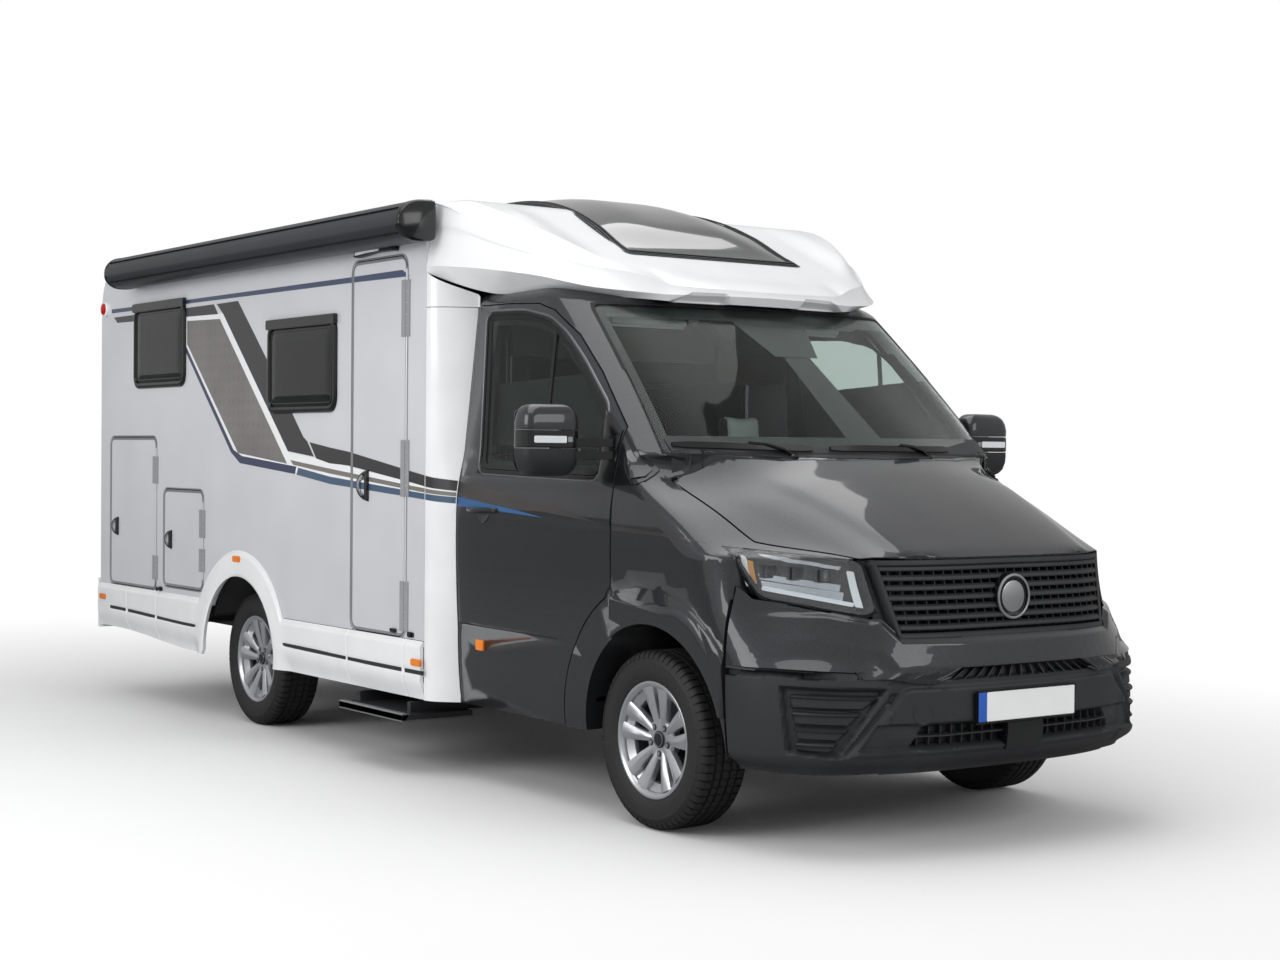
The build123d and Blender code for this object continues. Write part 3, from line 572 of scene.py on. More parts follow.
class Workpiece:
    """Shapes gathered for one piece."""

    def __init__(self):
        self.mesh = bmesh.new()

    def add(self, points, faces):
        """Take in points and faces; a face that is there already is left out."""
        made = [self.mesh.verts.new(p) for p in points]
        for face in faces:
            try:
                self.mesh.faces.new([made[i] for i in face])
            except ValueError:
                pass
        return self

    def plate(self, outline, origin, u_way, v_way, depth):
        """Flat plate: an outline in the plane of two directions, as thick as depth."""
        origin, u_way, v_way = Vector(origin), Vector(u_way), Vector(v_way)
        out = u_way.cross(v_way).normalized() * depth
        face = [origin + u_way * p[0] + v_way * p[1] for p in outline]
        count = len(face)
        sides = [(i, (i + 1) % count, count + (i + 1) % count, count + i) for i in range(count)]
        ends = [tuple(reversed(range(count))), tuple(range(count, 2 * count))]
        return self.add(face + [p + out for p in face], sides + ends)

    def box(self, low, high):
        low, high = Vector(low), Vector(high)
        size = high - low
        corners = rectangle(0, size.x, 0, size.y)
        return self.plate(corners, low, (1, 0, 0), (0, 1, 0), size.z)

    def loft(self, sections):
        """Closed shape through sections with equal numbers of points."""
        count = len(sections[0])
        faces = [tuple(reversed(range(count)))]
        for s in range(1, len(sections)):
            for i in range(count):
                j = (i + 1) % count
                faces.append(
                    ((s - 1) * count + i, (s - 1) * count + j, s * count + j, s * count + i)
                )
        last = (len(sections) - 1) * count
        faces.append(tuple(last + i for i in range(count)))
        return self.add([p for section in sections for p in section], faces)

    def bar(self, path, radius, sides):
        """Round bar along a path of points."""
        path = [Vector(p) for p in path]
        rings = []
        for i, p in enumerate(path):
            along = (path[min(i + 1, len(path) - 1)] - path[max(i - 1, 0)]).normalized()
            side = along.cross(Vector((0, 0, 1)))
            side = side.normalized() if side.length > 0.05 else Vector((1, 0, 0))
            up = side.cross(along).normalized()
            angles = [2 * math.pi * k / sides for k in range(sides)]
            rings.append([p + (side * math.cos(a) + up * math.sin(a)) * radius for a in angles])
        return self.loft(rings)

    def turned(self, profile, centre, axis, steps=48, closed=False):
        """Shape turned on an axis. The profile is (along the axis, radius) pairs."""
        centre, axis = Vector(centre), Vector(axis).normalized()
        side = axis.orthogonal().normalized()
        other = axis.cross(side)
        points, faces, rings = [], [], []
        for along, radius in profile:
            if radius < 1e-6:
                rings.append([len(points)])
                points.append(centre + axis * along)
                continue
            rings.append(list(range(len(points), len(points) + steps)))
            for k in range(steps):
                a = 2 * math.pi * k / steps
                points.append(
                    centre + axis * along + (side * math.cos(a) + other * math.sin(a)) * radius
                )
        pairs = list(zip(rings, rings[1:])) + ([(rings[-1], rings[0])] if closed else [])
        for one, two in pairs:
            if len(one) == len(two) == 1:
                continue
            for k in range(steps):
                m = (k + 1) % steps
                if len(one) == 1:
                    faces.append((one[0], two[k], two[m]))
                elif len(two) == 1:
                    faces.append((one[k], two[0], one[m]))
                else:
                    faces.append((one[k], two[k], two[m], one[m]))
        return self.add(points, faces)

    def sheet(self, outline, place, lift, depth, cell=0.05, shape=None):
        """Sheet cut to an outline and laid on a surface, lift above it and depth thick.

        place(u, v) gives a point of the surface and its outward normal. shape(u, v) adds
        more lift, for creases and crowns."""
        flat = bmesh.new()
        flat.faces.new([flat.verts.new((p[0], p[1], 0)) for p in outline])
        for index in (0, 1):
            low, high = min(p[index] for p in outline), max(p[index] for p in outline)
            across = Vector((1 - index, index, 0))
            cuts = int((high - low) / cell)
            for k in range(1, cuts + 1):
                point = across * (low + (high - low) * k / (cuts + 1))
                everything = list(flat.verts) + list(flat.edges) + list(flat.faces)
                bmesh.ops.bisect_plane(
                    flat, geom=everything, plane_co=point, plane_no=across, dist=1e-6
                )
        flat.verts.index_update()
        tops, unders = [], []
        for vertex in flat.verts:
            point, normal = place(vertex.co.x, vertex.co.y)
            rise = lift + (shape(vertex.co.x, vertex.co.y) if shape else 0.0)
            tops.append(point + normal * rise)
            unders.append(point + normal * (rise - depth))
        count = len(tops)
        faces = []
        for face in flat.faces:
            ring = [v.index for v in face.verts]
            faces.append(ring)
            faces.append([count + i for i in reversed(ring)])
        for edge in flat.edges:
            if len(edge.link_faces) == 1:
                i, j = (v.index for v in edge.verts)
                faces.append([i, j, count + j, count + i])
        flat.free()
        return self.add(tops + unders, faces)

    def finish(
        self, name, finish, body="vehicle", bevel=0.0, sharp=SHARP, steps=2, mirrored=False
    ):
        """Object from the gathered shapes, its outside outward and its edges softened."""
        if mirrored:
            bmesh.ops.scale(self.mesh, vec=(-1, 1, 1), verts=self.mesh.verts)
        bmesh.ops.remove_doubles(self.mesh, verts=self.mesh.verts, dist=1e-5)
        bmesh.ops.recalc_face_normals(self.mesh, faces=self.mesh.faces)
        if bevel:
            edges = [
                e for e in self.mesh.edges if len(e.link_faces) == 2
                and e.calc_face_angle(0.0) > math.radians(BEVEL_FROM)
            ]
            bmesh.ops.bevel(
                self.mesh, geom=edges, offset=bevel, segments=steps, affect="EDGES",
                clamp_overlap=True
            )
        return settle(object_of(self.mesh, name), finish, body, sharp)


# %% [markdown]
# ## Laying trim on a panel
# A decal or a seal has to follow its panel exactly. A ray cast at the dressed panel finds
# the surface under each point: from the side for the flanks, from ahead for the nose.

# %% Finding the surface
def tree_of(*things):
    """Search tree over the faces of several objects."""
    points, faces = [], []
    for thing in things:
        first = len(points)
        points += [v.co.copy() for v in thing.data.vertices]
        faces += [[first + i for i in p.vertices] for p in thing.data.polygons]
    return BVHTree.FromPolygons(points, faces)


RAY_START = 10.0            # metres from the middle at which a ray starts


def surface_from(tree, direction):
    """place(u, v) that looks along the direction: u, v are station and height from the
    side, width and height from ahead, or width and station from above."""
    direction = Vector(direction)

    def place(u, v):
        if abs(direction.x) > 0.5:
            start = at(-RAY_START * direction.x, u, v)
        elif abs(direction.y) > 0.5:
            start = Vector((u, -RAY_START * direction.y, v))
        else:
            start = at(u, v, -RAY_START * direction.z)
        hit, normal = tree.ray_cast(start, direction)[:2]
        if hit is None:
            hit, normal = tree.find_nearest(start + direction * (RAY_START - 1.0))[:2]
        return hit, (-normal if normal.dot(direction) > 0 else normal)

    return place


def flat_wall(x):
    """place(station, height) on a flat wall at x."""
    side = math.copysign(1.0, x)
    return lambda u, v: (at(x, u, v), Vector((side, 0, 0)))


right_wall = flat_wall(-WALL_X)


# %% [markdown]
# ## Repeating a shape
# Tread blocks, wheel bolts, grille ribs and skylight ribs all repeat one small shape. For the
# tread blocks and the grip ribs of the entry step, a small Geometry Nodes tree does it: each copy
# is moved by a step and turned about the vehicle's cross axis, the copies are made real, and they
# take one material.

# %% Geometry Nodes for copies
def copies_tree():
    """The node group, and the identifier of each of its inputs."""
    tree = bpy.data.node_groups.new("copies_of_a_shape", "GeometryNodeTree")
    sockets = {}
    for name, kind in (
        ("Shape", "Object"), ("Copies", "Int"), ("Step", "Vector"), ("Turn", "Vector"),
        ("Finish", "Material")
    ):
        made = tree.interface.new_socket(name, in_out="INPUT", socket_type="NodeSocket" + kind)
        sockets[name] = made.identifier
    tree.interface.new_socket("Geometry", in_out="INPUT", socket_type="NodeSocketGeometry")
    tree.interface.new_socket("Geometry", in_out="OUTPUT", socket_type="NodeSocketGeometry")
    given = add_node(tree, "NodeGroupInput").outputs
    shape = add_node(tree, "GeometryNodeObjectInfo", {"Object": given["Shape"]})
    line = add_node(
        tree, "GeometryNodeMeshLine", {"Count": given["Copies"], "Offset": given["Step"]}
    )
    placed = add_node(
        tree, "GeometryNodeInstanceOnPoints",
        {"Points": line.outputs["Mesh"], "Instance": shape.outputs["Geometry"],}
    )
    index = add_node(tree, "GeometryNodeInputIndex")
    angle = add_node(
        tree, "ShaderNodeVectorMath", {0: given["Turn"], "Scale": index.outputs["Index"]},
        operation="SCALE"
    )
    turned = add_node(
        tree, "GeometryNodeRotateInstances",
        {
            "Instances": placed.outputs["Instances"], "Rotation": angle.outputs["Vector"],
            "Local Space": False,
        }
    )
    real = add_node(
        tree, "GeometryNodeRealizeInstances", {"Geometry": turned.outputs["Instances"]}
    )
    painted = add_node(
        tree, "GeometryNodeSetMaterial",
        {"Geometry": real.outputs["Geometry"], "Material": given["Finish"],}
    )
    add_node(tree, "NodeGroupOutput", {"Geometry": painted.outputs["Geometry"]})
    return tree, sockets


COPIES, COPIES_SOCKETS = copies_tree()


def copied(shape, count, finish, step=(0, 0, 0), turn=(0, 0, 0)):
    """Mesh with a number of copies of a shape; the shape itself is removed."""
    carrier = new_mesh_object("carrier", [(0, 0, 0)], [])
    modifier = carrier.modifiers.new("copies", "NODES")
    modifier.node_group = COPIES
    values = {"Shape": shape, "Copies": count, "Step": step, "Turn": turn, "Finish": finish}
    for name, value in values.items():
        modifier[COPIES_SOCKETS[name]] = value
    mesh = applied(carrier)
    bpy.data.objects.remove(carrier)
    bpy.data.objects.remove(shape)
    return mesh


def loose_shape(work, bevel=0.0):
    """Object from a workpiece that is only a pattern for copies."""
    return work.finish("pattern", None, body=None, bevel=bevel)

# %% [markdown]
# ## Tyres
# A light-truck tyre has four deep grooves round it, and thin cross cuts called sipes that
# split the ribs between them into blocks. The carcass is one turned profile with the
# bead, the rounded side wall and a rim-protector ridge. The blocks are modelled once for
# one pitch of the tread and repeated all the way round.

# %% Tyres
TREAD_DEPTH = 0.008
PITCHES = 64
GROOVES = (0.0205, 0.0555)          # middles of the grooves, out from the centre line
GROOVE_WIDTH = 0.009
SIPE = 0.0022

TREAD_BASE = TYRE_RADIUS - TREAD_DEPTH
CARCASS = [
    (0.094, 0.219), (0.099, 0.232), (0.1035, 0.236), (0.1075, 0.240), (0.1085, 0.250),
    (0.1125, 0.256), (0.1135, 0.262), (0.1150, 0.268), (0.1168, 0.282), (0.1172, 0.296),
    (0.1160, 0.305), (0.1166, 0.307), (0.1166, 0.310), (0.1140, 0.313), (0.1095, 0.325),
    (0.1030, 0.336), (0.0930, 0.3435), (0.0800, TREAD_BASE), (0.0, TREAD_BASE + 0.0004),
]


def tread_rubber():
    """Vulcanised rubber: almost black and dull, its tone mottled lighter in small patches."""
    material, tree, shader = new_finish("vulcanised_tread_rubber")
    place = object_place(tree)
    colour = ramp_between(tree, noise(tree, 6.0, 4.0, place), "#161617", "#2a2a2a")
    normal = bump_from(tree, noise(tree, 1.5, 2.0, place), 0.15)
    set_inputs(shader, {"Base Color": colour, "Normal": normal, "Roughness": 0.66})
    return material


tread_finish = tread_rubber()


TREAD_ROOT = 0.003          # how far a tread block reaches into the carcass
TYRE_SHARP = 50


def tyre_mesh():
    """Tyre about the X axis at the origin, its outer side towards +X."""
    profile = CARCASS + [(-x, r) for x, r in reversed(CARCASS[:-1])]
    carcass = Workpiece().turned(profile, ORIGIN, X_AXIS, 128, closed=True)
    body = carcass.finish("carcass", tread_finish, None, sharp=TYRE_SHARP)
    length = 2 * math.pi * TYRE_RADIUS / PITCHES - SIPE
    top, root = TYRE_RADIUS - 0.0006, TREAD_BASE - TREAD_ROOT
    block = Workpiece()
    inner, outer = [(g - GROOVE_WIDTH / 2, g + GROOVE_WIDTH / 2) for g in GROOVES]
    slant = 0.006
    for low, high in ((-inner[0], inner[0]), (inner[1], outer[0]), (-outer[0], -inner[1])):
        outline = [
            (low, -length / 2), (high, -length / 2 + slant), (high, length / 2 + slant),
            (low, length / 2),
        ]
        block.plate(outline, (0, 0, root), X_AXIS, Y_AXIS, top - root)
    shoulder = [
        (0.060, root), (0.060, top), (0.088, top - 0.0012), (0.098, top - 0.006),
        (0.1065, top - 0.016), (0.1128, top - 0.031), (0.1090, top - 0.034),
        (0.095, TREAD_BASE - 0.008),
    ]
    for side in (1, -1):
        outline = [(side * x, r) for x, r in shoulder][::-side]
        block.plate(outline, (0, length / 2 - 0.003, 0), X_AXIS, Z_AXIS, length - 0.004)
    pattern = loose_shape(block, bevel=0.0012)
    return body, copied(pattern, PITCHES, tread_finish, turn=(2 * math.pi / PITCHES, 0, 0))


def joined(name, finish, meshes, move, flip, body, sharp=SHARP):
    """One object from several meshes, mirrored across the vehicle if flip is set, and moved."""
    work = bmesh.new()
    for mesh in meshes:
        work.from_mesh(mesh)
    if flip:
        bmesh.ops.scale(work, vec=(-1, 1, 1), verts=work.verts)
        bmesh.ops.reverse_faces(work, faces=work.faces)
    bmesh.ops.translate(work, vec=move, verts=work.verts)
    return settle(object_of(work, name), finish, body, sharp)


carcass_shape, tread_mesh = tyre_mesh()

# %% [markdown]
# ## Wheels
# The cast wheel has five pairs of spokes. Each spoke is a long wedge with a crease down
# its middle, and the pairs stand on a stepped ring just inside the rim. Between the pairs
# the brake disc shows. Five bolts and a plain cap close the hub.

# %% Cast wheels
SPOKE_PAIRS = 5
WHEEL_SHARP = 24
BOLT_CIRCLE = 0.056


def spoke(work, angle_hub, angle_rim, width_hub, width_rim):
    """Creased wedge from the hub to the rim."""
    stations = ((0.040, 0.060), (0.080, 0.070), (0.140, 0.082), (0.196, 0.093), (0.209, 0.095))
    rows = []
    for r, x in stations:
        t = (r - stations[0][0]) / (stations[-1][0] - stations[0][0])
        angle = angle_hub + (angle_rim - angle_hub) * t
        half = (width_hub + (width_rim - width_hub) * t) / 2
        out = Vector((0, math.sin(angle), math.cos(angle)))
        side = Vector((0, math.cos(angle), -math.sin(angle)))
        section = (
            (-half, -0.030), (-half, -0.0045), (-half * 0.72, 0.0), (0.0, 0.0045),
            (half * 0.72, 0.0), (half, -0.0045), (half, -0.030)
        )
        rows.append([out * r + side * w + Vector((x + rise, 0, 0)) for w, rise in section])
    work.loft(rows)


def wheel_shapes():
    """Cast wheel about the X axis at the origin, its face towards +X, in its three finishes."""
    cast = Workpiece()
    barrel = [
        (-0.104, 0.206), (-0.104, 0.2325), (-0.094, 0.2325), (-0.093, 0.2175), (0.093, 0.2175),
        (0.096, 0.2300), (0.1000, 0.2328), (0.1040, 0.2310), (0.1036, 0.2230), (0.0975, 0.2140),
        (0.0900, 0.2075), (0.060, 0.2050), (-0.060, 0.2035)
    ]
    cast.turned(barrel, ORIGIN, X_AXIS, 96, closed=True)
    ledge = [
        (0.040, 0.207), (0.040, 0.176), (0.046, 0.173), (0.062, 0.176), (0.074, 0.196),
        (0.080, 0.207)
    ]
    cast.turned(ledge, ORIGIN, X_AXIS, 96, closed=True)
    hub = [
        (0.020, 0.0), (0.020, 0.082), (0.052, 0.086), (0.064, 0.078), (0.066, 0.045),
        (0.064, 0.036), (0.064, 0.0)
    ]
    cast.turned(hub, ORIGIN, X_AXIS, 60)
    for pair in range(SPOKE_PAIRS):
        turn = 2 * math.pi * pair / SPOKE_PAIRS
        for side in (-1, 1):
            spoke(cast, turn + side * 0.30, turn + side * 0.228, 0.024, 0.068)
    silver = cast.finish(
        "wheel_cast", alloy_silver, None, bevel=0.0009, steps=1, sharp=WHEEL_SHARP
    )
    dark, bright = Workpiece(), Workpiece()
    seat = [
        (0.0, 0.0), (0.0, 0.0125), (0.0055, 0.0125), (0.0055, 0.0095), (0.003, 0.0095),
        (0.003, 0.0)
    ]
    head = [(0.0, 0.0), (0.0, 0.0088), (0.0062, 0.0082), (0.0068, 0.0)]
    for k in range(SPOKE_PAIRS):
        a = 2 * math.pi * (k + 0.5) / SPOKE_PAIRS
        centre = Vector((0.062, math.sin(a) * BOLT_CIRCLE, math.cos(a) * BOLT_CIRCLE))
        dark.turned(seat, centre, X_AXIS, 20)
        bright.turned(head, centre + Vector((0.002, 0, 0)), X_AXIS, 6)
    cap = [
        (0.062, 0.0), (0.062, 0.0335), (0.069, 0.0335), (0.0715, 0.031), (0.0705, 0.029),
        (0.0725, 0.015), (0.073, 0.0)
    ]
    dark.turned(cap, ORIGIN, X_AXIS, 40)
    black = dark.finish("wheel_dark", smooth_black, None)
    ring = [(0.0705, 0.0285), (0.0725, 0.0285), (0.0728, 0.0262), (0.0705, 0.0262)]
    bright.turned(ring, ORIGIN, X_AXIS, 48, closed=True)
    valve = Vector((0.086, math.sin(0.55) * 0.203, math.cos(0.55) * 0.203))
    bright.turned(
        [(0.0, 0.0), (0.0, 0.004), (0.012, 0.004), (0.014, 0.0025), (0.014, 0.0)], valve,
        (1, 0, -0.25), 10
    )
    nuts = bright.finish("wheel_bright", bare_aluminium, None)
    disc = Workpiece()
    plates = [
        (-0.032, 0.070), (-0.032, 0.150), (-0.041, 0.150), (-0.041, 0.143), (-0.045, 0.143),
        (-0.045, 0.150), (-0.050, 0.150), (-0.050, 0.070)
    ]
    disc.turned(plates, ORIGIN, X_AXIS, 72, closed=True)
    disc.turned(
        [(-0.050, 0.0), (-0.050, 0.078), (0.018, 0.074), (0.022, 0.066), (0.022, 0.0)], ORIGIN,
        X_AXIS, 48
    )
    iron = disc.finish("wheel_disc", dull_grey, None)
    return silver, black, nuts, iron


wheel_parts = wheel_shapes()


def brake_caliper(name, centre, side, body):
    """Two cast halves over the disc's rear edge, bolted to what carries the wheel."""
    work = Workpiece()
    for low, high in ((-0.031, -0.006), (-0.076, -0.051)):
        inner, outer = 0.098, 0.166
        outline = []
        for radius, angles in ((outer, range(-34, 35, 8)), (inner, range(34, -35, -8))):
            outline += [
                (radius * math.cos(math.radians(a)), radius * math.sin(math.radians(a)))
                for a in angles
            ]
        work.plate(
            outline, centre + Vector((side * low, 0, 0)), Y_AXIS, Z_AXIS, side * (high - low)
        )
    near, far = sorted((side * -0.076, side * -0.006))
    work.box(centre + Vector((near, 0.154, -0.055)), centre + Vector((far, 0.170, 0.055)))
    work.finish(name, dull_grey, body, bevel=0.003)


WHEEL_FINISHES = (
    ("cast", alloy_silver), ("hub", smooth_black), ("bolts", bare_aluminium), ("disc", dull_grey)
)
for side_name, side in (("left", LEFT), ("right", RIGHT)):
    for end in ("front", "rear"):
        corner = f"{end}_{side_name}"
        where = middle(f"tyre_{corner}")
        centre = Vector((where.x, where.y, TYRE_RADIUS))
        body = BODY_OF[f"tyre_{corner}"]
        tread = joined(
            f"tyre_{corner}_tread", tread_finish, [carcass_shape.data, tread_mesh], where,
            side < 0, body, TYRE_SHARP
        )
        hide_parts(f"tyre_{corner}")
        for part, (suffix, finish) in zip(wheel_parts, WHEEL_FINISHES):
            piece = joined(
                f"wheel_{corner}_{suffix}", finish, [part.data], centre, side < 0, body,
                WHEEL_SHARP
            )
            if suffix == "cast":
                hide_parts(f"rim_{corner}")
        carrier = f"knuckle_{side_name}" if end == "front" else "vehicle"
        brake_caliper(f"caliper_{corner}", centre, side, carrier)
for shape in (carcass_shape, *wheel_parts):
    bpy.data.objects.remove(shape)
print("tread blocks a tyre:", PITCHES * 5)

# %% [markdown]
# ## The face of the cab
# The nose is one curved surface, so its trim is laid on it by looking from straight
# ahead. The grille's seven slats are thin strips that follow the same curve, with small
# upright ribs between them, and the headlamp is a real lamp: a dark bowl with reflector
# cells and light bars in it, behind a clear lens.

# %% Grille
NOSE_NODES = ("front_fascia", "bonnet", "cab_shell", "headlamps", "grille")
nose_tree = tree_of(*[frame["nodes"][node] for node in NOSE_NODES])
from_ahead = surface_from(nose_tree, Y_AXIS)

# The nose at each level: height, station of its middle, how far it sweeps back at
# 0.85 m out, and how late that sweep comes.
NOSE_LEVELS = (
    (0.300, -1.030, 0.190, 3.0), (0.450, -1.056, 0.190, 3.0), (0.690, -1.045, 0.210, 3.2),
    (0.900, -1.000, 0.345, 3.8), (1.100, -0.955, 0.335, 4.0), (1.200, -0.790, 0.400, 3.4)
)


def nose_station(x, z):
    """Station of the smooth nose at a place seen from ahead."""
    for low, high in zip(NOSE_LEVELS, NOSE_LEVELS[1:]):
        if z <= high[0] or high is NOSE_LEVELS[-1]:
            t = (z - low[0]) / (high[0] - low[0])
            ends = [row[1] + row[2] * (abs(x) / 0.85) ** row[3] for row in (low, high)]
            return ends[0] + (ends[1] - ends[0]) * t


def nose_place(x, z):
    """The smooth nose as a place with a normal."""
    step = 0.004
    here = at(x, nose_station(x, z), z)
    right = at(x + step, nose_station(x + step, z), z) - here
    up = at(x, nose_station(x, z + step), z + step) - here
    return here, right.cross(up).normalized()


def nose_strip(work, section, half_width):
    """Strip across the nose. The section gives (height, how far ahead) corners."""
    rows = []
    for i in range(49):
        x = half_width * (i / 24 - 1)
        rows.append([at(x, nose_station(x, z) - ahead, z) for z, ahead in section])
    work.loft(rows)


def lined(rows, value, beyond=None):
    """Straight-line reading of a table of (place, value) rows, and what holds beyond it."""
    for (a, u), (b, v) in zip(rows, rows[1:]):
        if value <= b:
            return u + (v - u) * (value - a) / max(1e-6, b - a)
    return rows[-1][1] if beyond is None else beyond


MOUTH_SIDE = ((0.812, 0.536), (0.830, 0.540), (1.060, 0.590), (1.094, 0.600))
SLAT_HEIGHTS = (0.838, 0.874, 0.910, 0.946, 0.982, 1.018, 1.054)
grille_work = Workpiece()
backing = rectangle(0.806, 1.090, -0.052, -0.060)
nose_strip(grille_work, backing, 0.60)
for z in SLAT_HEIGHTS:
    half = lined(MOUTH_SIDE, z + 0.01) - 0.004
    nose_strip(
        grille_work,
        [
            (z - 0.003, -0.050), (z + 0.001, -0.004), (z + 0.005, -0.001), (z + 0.015, -0.003),
            (z + 0.022, -0.012), (z + 0.024, -0.050)
        ], half
    )
grille_slats = grille_work.finish("grille_slats", grained_plastic, bevel=0.0012)

frame_work = Workpiece()
nose_strip(
    frame_work,
    [
        (0.806, -0.05), (0.806, -0.004), (0.812, 0.003), (0.824, 0.003), (0.829, -0.004),
        (0.829, -0.05)
    ], 0.542
)
nose_strip(
    frame_work,
    [
        (1.074, -0.05), (1.074, -0.004), (1.079, 0.000), (1.094, 0.000), (1.096, -0.004),
        (1.096, -0.05)
    ], 0.612
)
RIM_SECTION = (
    (0.020, -0.05), (0.018, -0.004), (0.012, 0.001), (0.003, 0.001), (0.0, -0.004), (0.0, -0.05)
)
for side in (-1, 1):
    rows = []
    for z, half in ((0.806, 0.548), (0.825, 0.553), (1.060, 0.601), (1.096, 0.615)):
        edge = [(side * (half - inward), ahead) for inward, ahead in RIM_SECTION]
        rows.append([at(x, nose_station(x, z) - ahead, z) for x, ahead in edge])
    frame_work.loft(rows)
frame_work.finish("grille_frame", grained_plastic, bevel=0.001)
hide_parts("grille")

# Small upright ribs join the slats, one shape for all.
rib = Workpiece()
rib.box((-0.0018, 0, 0), (0.0018, 0.040, SLAT_HEIGHTS[-1] + 0.02 - SLAT_HEIGHTS[0] + 0.012))
rib_shape = loose_shape(rib)
gathered = bmesh.new()
RIB_STEP = 0.046
RIB_LOW, RIB_MIDDLE, RIB_HIGH = 0.84, 0.95, 1.06
for column in range(-12, 13):
    x = column * RIB_STEP
    base = at(x, nose_station(x, RIB_MIDDLE) + 0.014, SLAT_HEIGHTS[0] - 0.004)
    first = len(gathered.verts)
    gathered.from_mesh(rib_shape.data)
    gathered.verts.ensure_lookup_table()
    lean_top = nose_station(x, RIB_HIGH) - nose_station(x, RIB_MIDDLE)
    lean_bottom = nose_station(x, RIB_LOW) - nose_station(x, RIB_MIDDLE)
    for vertex in list(gathered.verts)[first:]:
        vertex.co.y += lean_bottom + (lean_top - lean_bottom) * vertex.co.z / 0.25
        vertex.co += base
settle(object_of(gathered, "grille_ribs"), grained_plastic)
bpy.data.objects.remove(rib_shape)

# The badge is a plain ring round a plain dark disc.
badge_at = at(0, nose_station(0, 0.950) - 0.003, 0.950)
Workpiece().turned(
    [
        (-0.040, 0.0), (-0.040, 0.088), (0.006, 0.088), (0.010, 0.084), (0.0105, 0.080),
        (0.008, 0.0765), (0.004, 0.076), (0.003, 0.060), (0.0035, 0.030), (0.004, 0.0)
    ], badge_at, AHEAD, 72
).finish("badge_disc", smooth_black)
ring = Workpiece()
ring.turned(
    [
        (0.004, 0.0865), (0.0105, 0.0865), (0.0135, 0.0835), (0.0138, 0.0795), (0.0115, 0.0765),
        (0.004, 0.0765)
    ], badge_at, AHEAD, 96, closed=True
)
ring.turned(
    [(0.003, 0.0), (0.0075, 0.0), (0.0075, 0.056), (0.006, 0.060), (0.003, 0.060)], badge_at,
    AHEAD, 96
)
ring.finish("badge_ring", bare_aluminium)

# %% [markdown]
# ## Headlamps
# A modern headlamp has a clear outer lens of polycarbonate with its edge painted black
# inside. Behind it sit three projector cells, a bright vertical bar at the outer end and
# an L-shaped light bar along the bottom for daytime.

# %% Headlamps
reflector = surface("vacuum_plated_reflector", "#a7abb0", "#c0c4c8", 0.14, 9.0, 0.01, metallic=1.0)
lamp_bezel = surface("satin_black_lamp_bezel", "#15171a", "#1d2023", 0.32, 2.0, 0.02)
light_guide = surface("milky_light_guide", "#e6eaee", "#f3f5f7", 0.18, 4.0, 0.004, Coat_Weight=0.6)
turn_bowl = surface("amber_tinted_reflector", "#b4763a", "#c98f4c", 0.2, 6.0, 0.01, metallic=0.85)

LENS_VIEW = [
    (-0.610, 0.913), (-0.646, 0.893), (-0.900, 0.952), (-0.953, 1.088), (-0.948, 1.130),
    (-0.640, 1.090)
]


def lamp_place(back):
    """Surface a distance behind the lamp's outer skin."""
    def place(u, v):
        point, normal = from_ahead(u, v)
        return point + Vector((0, back, 0)), normal
    return place


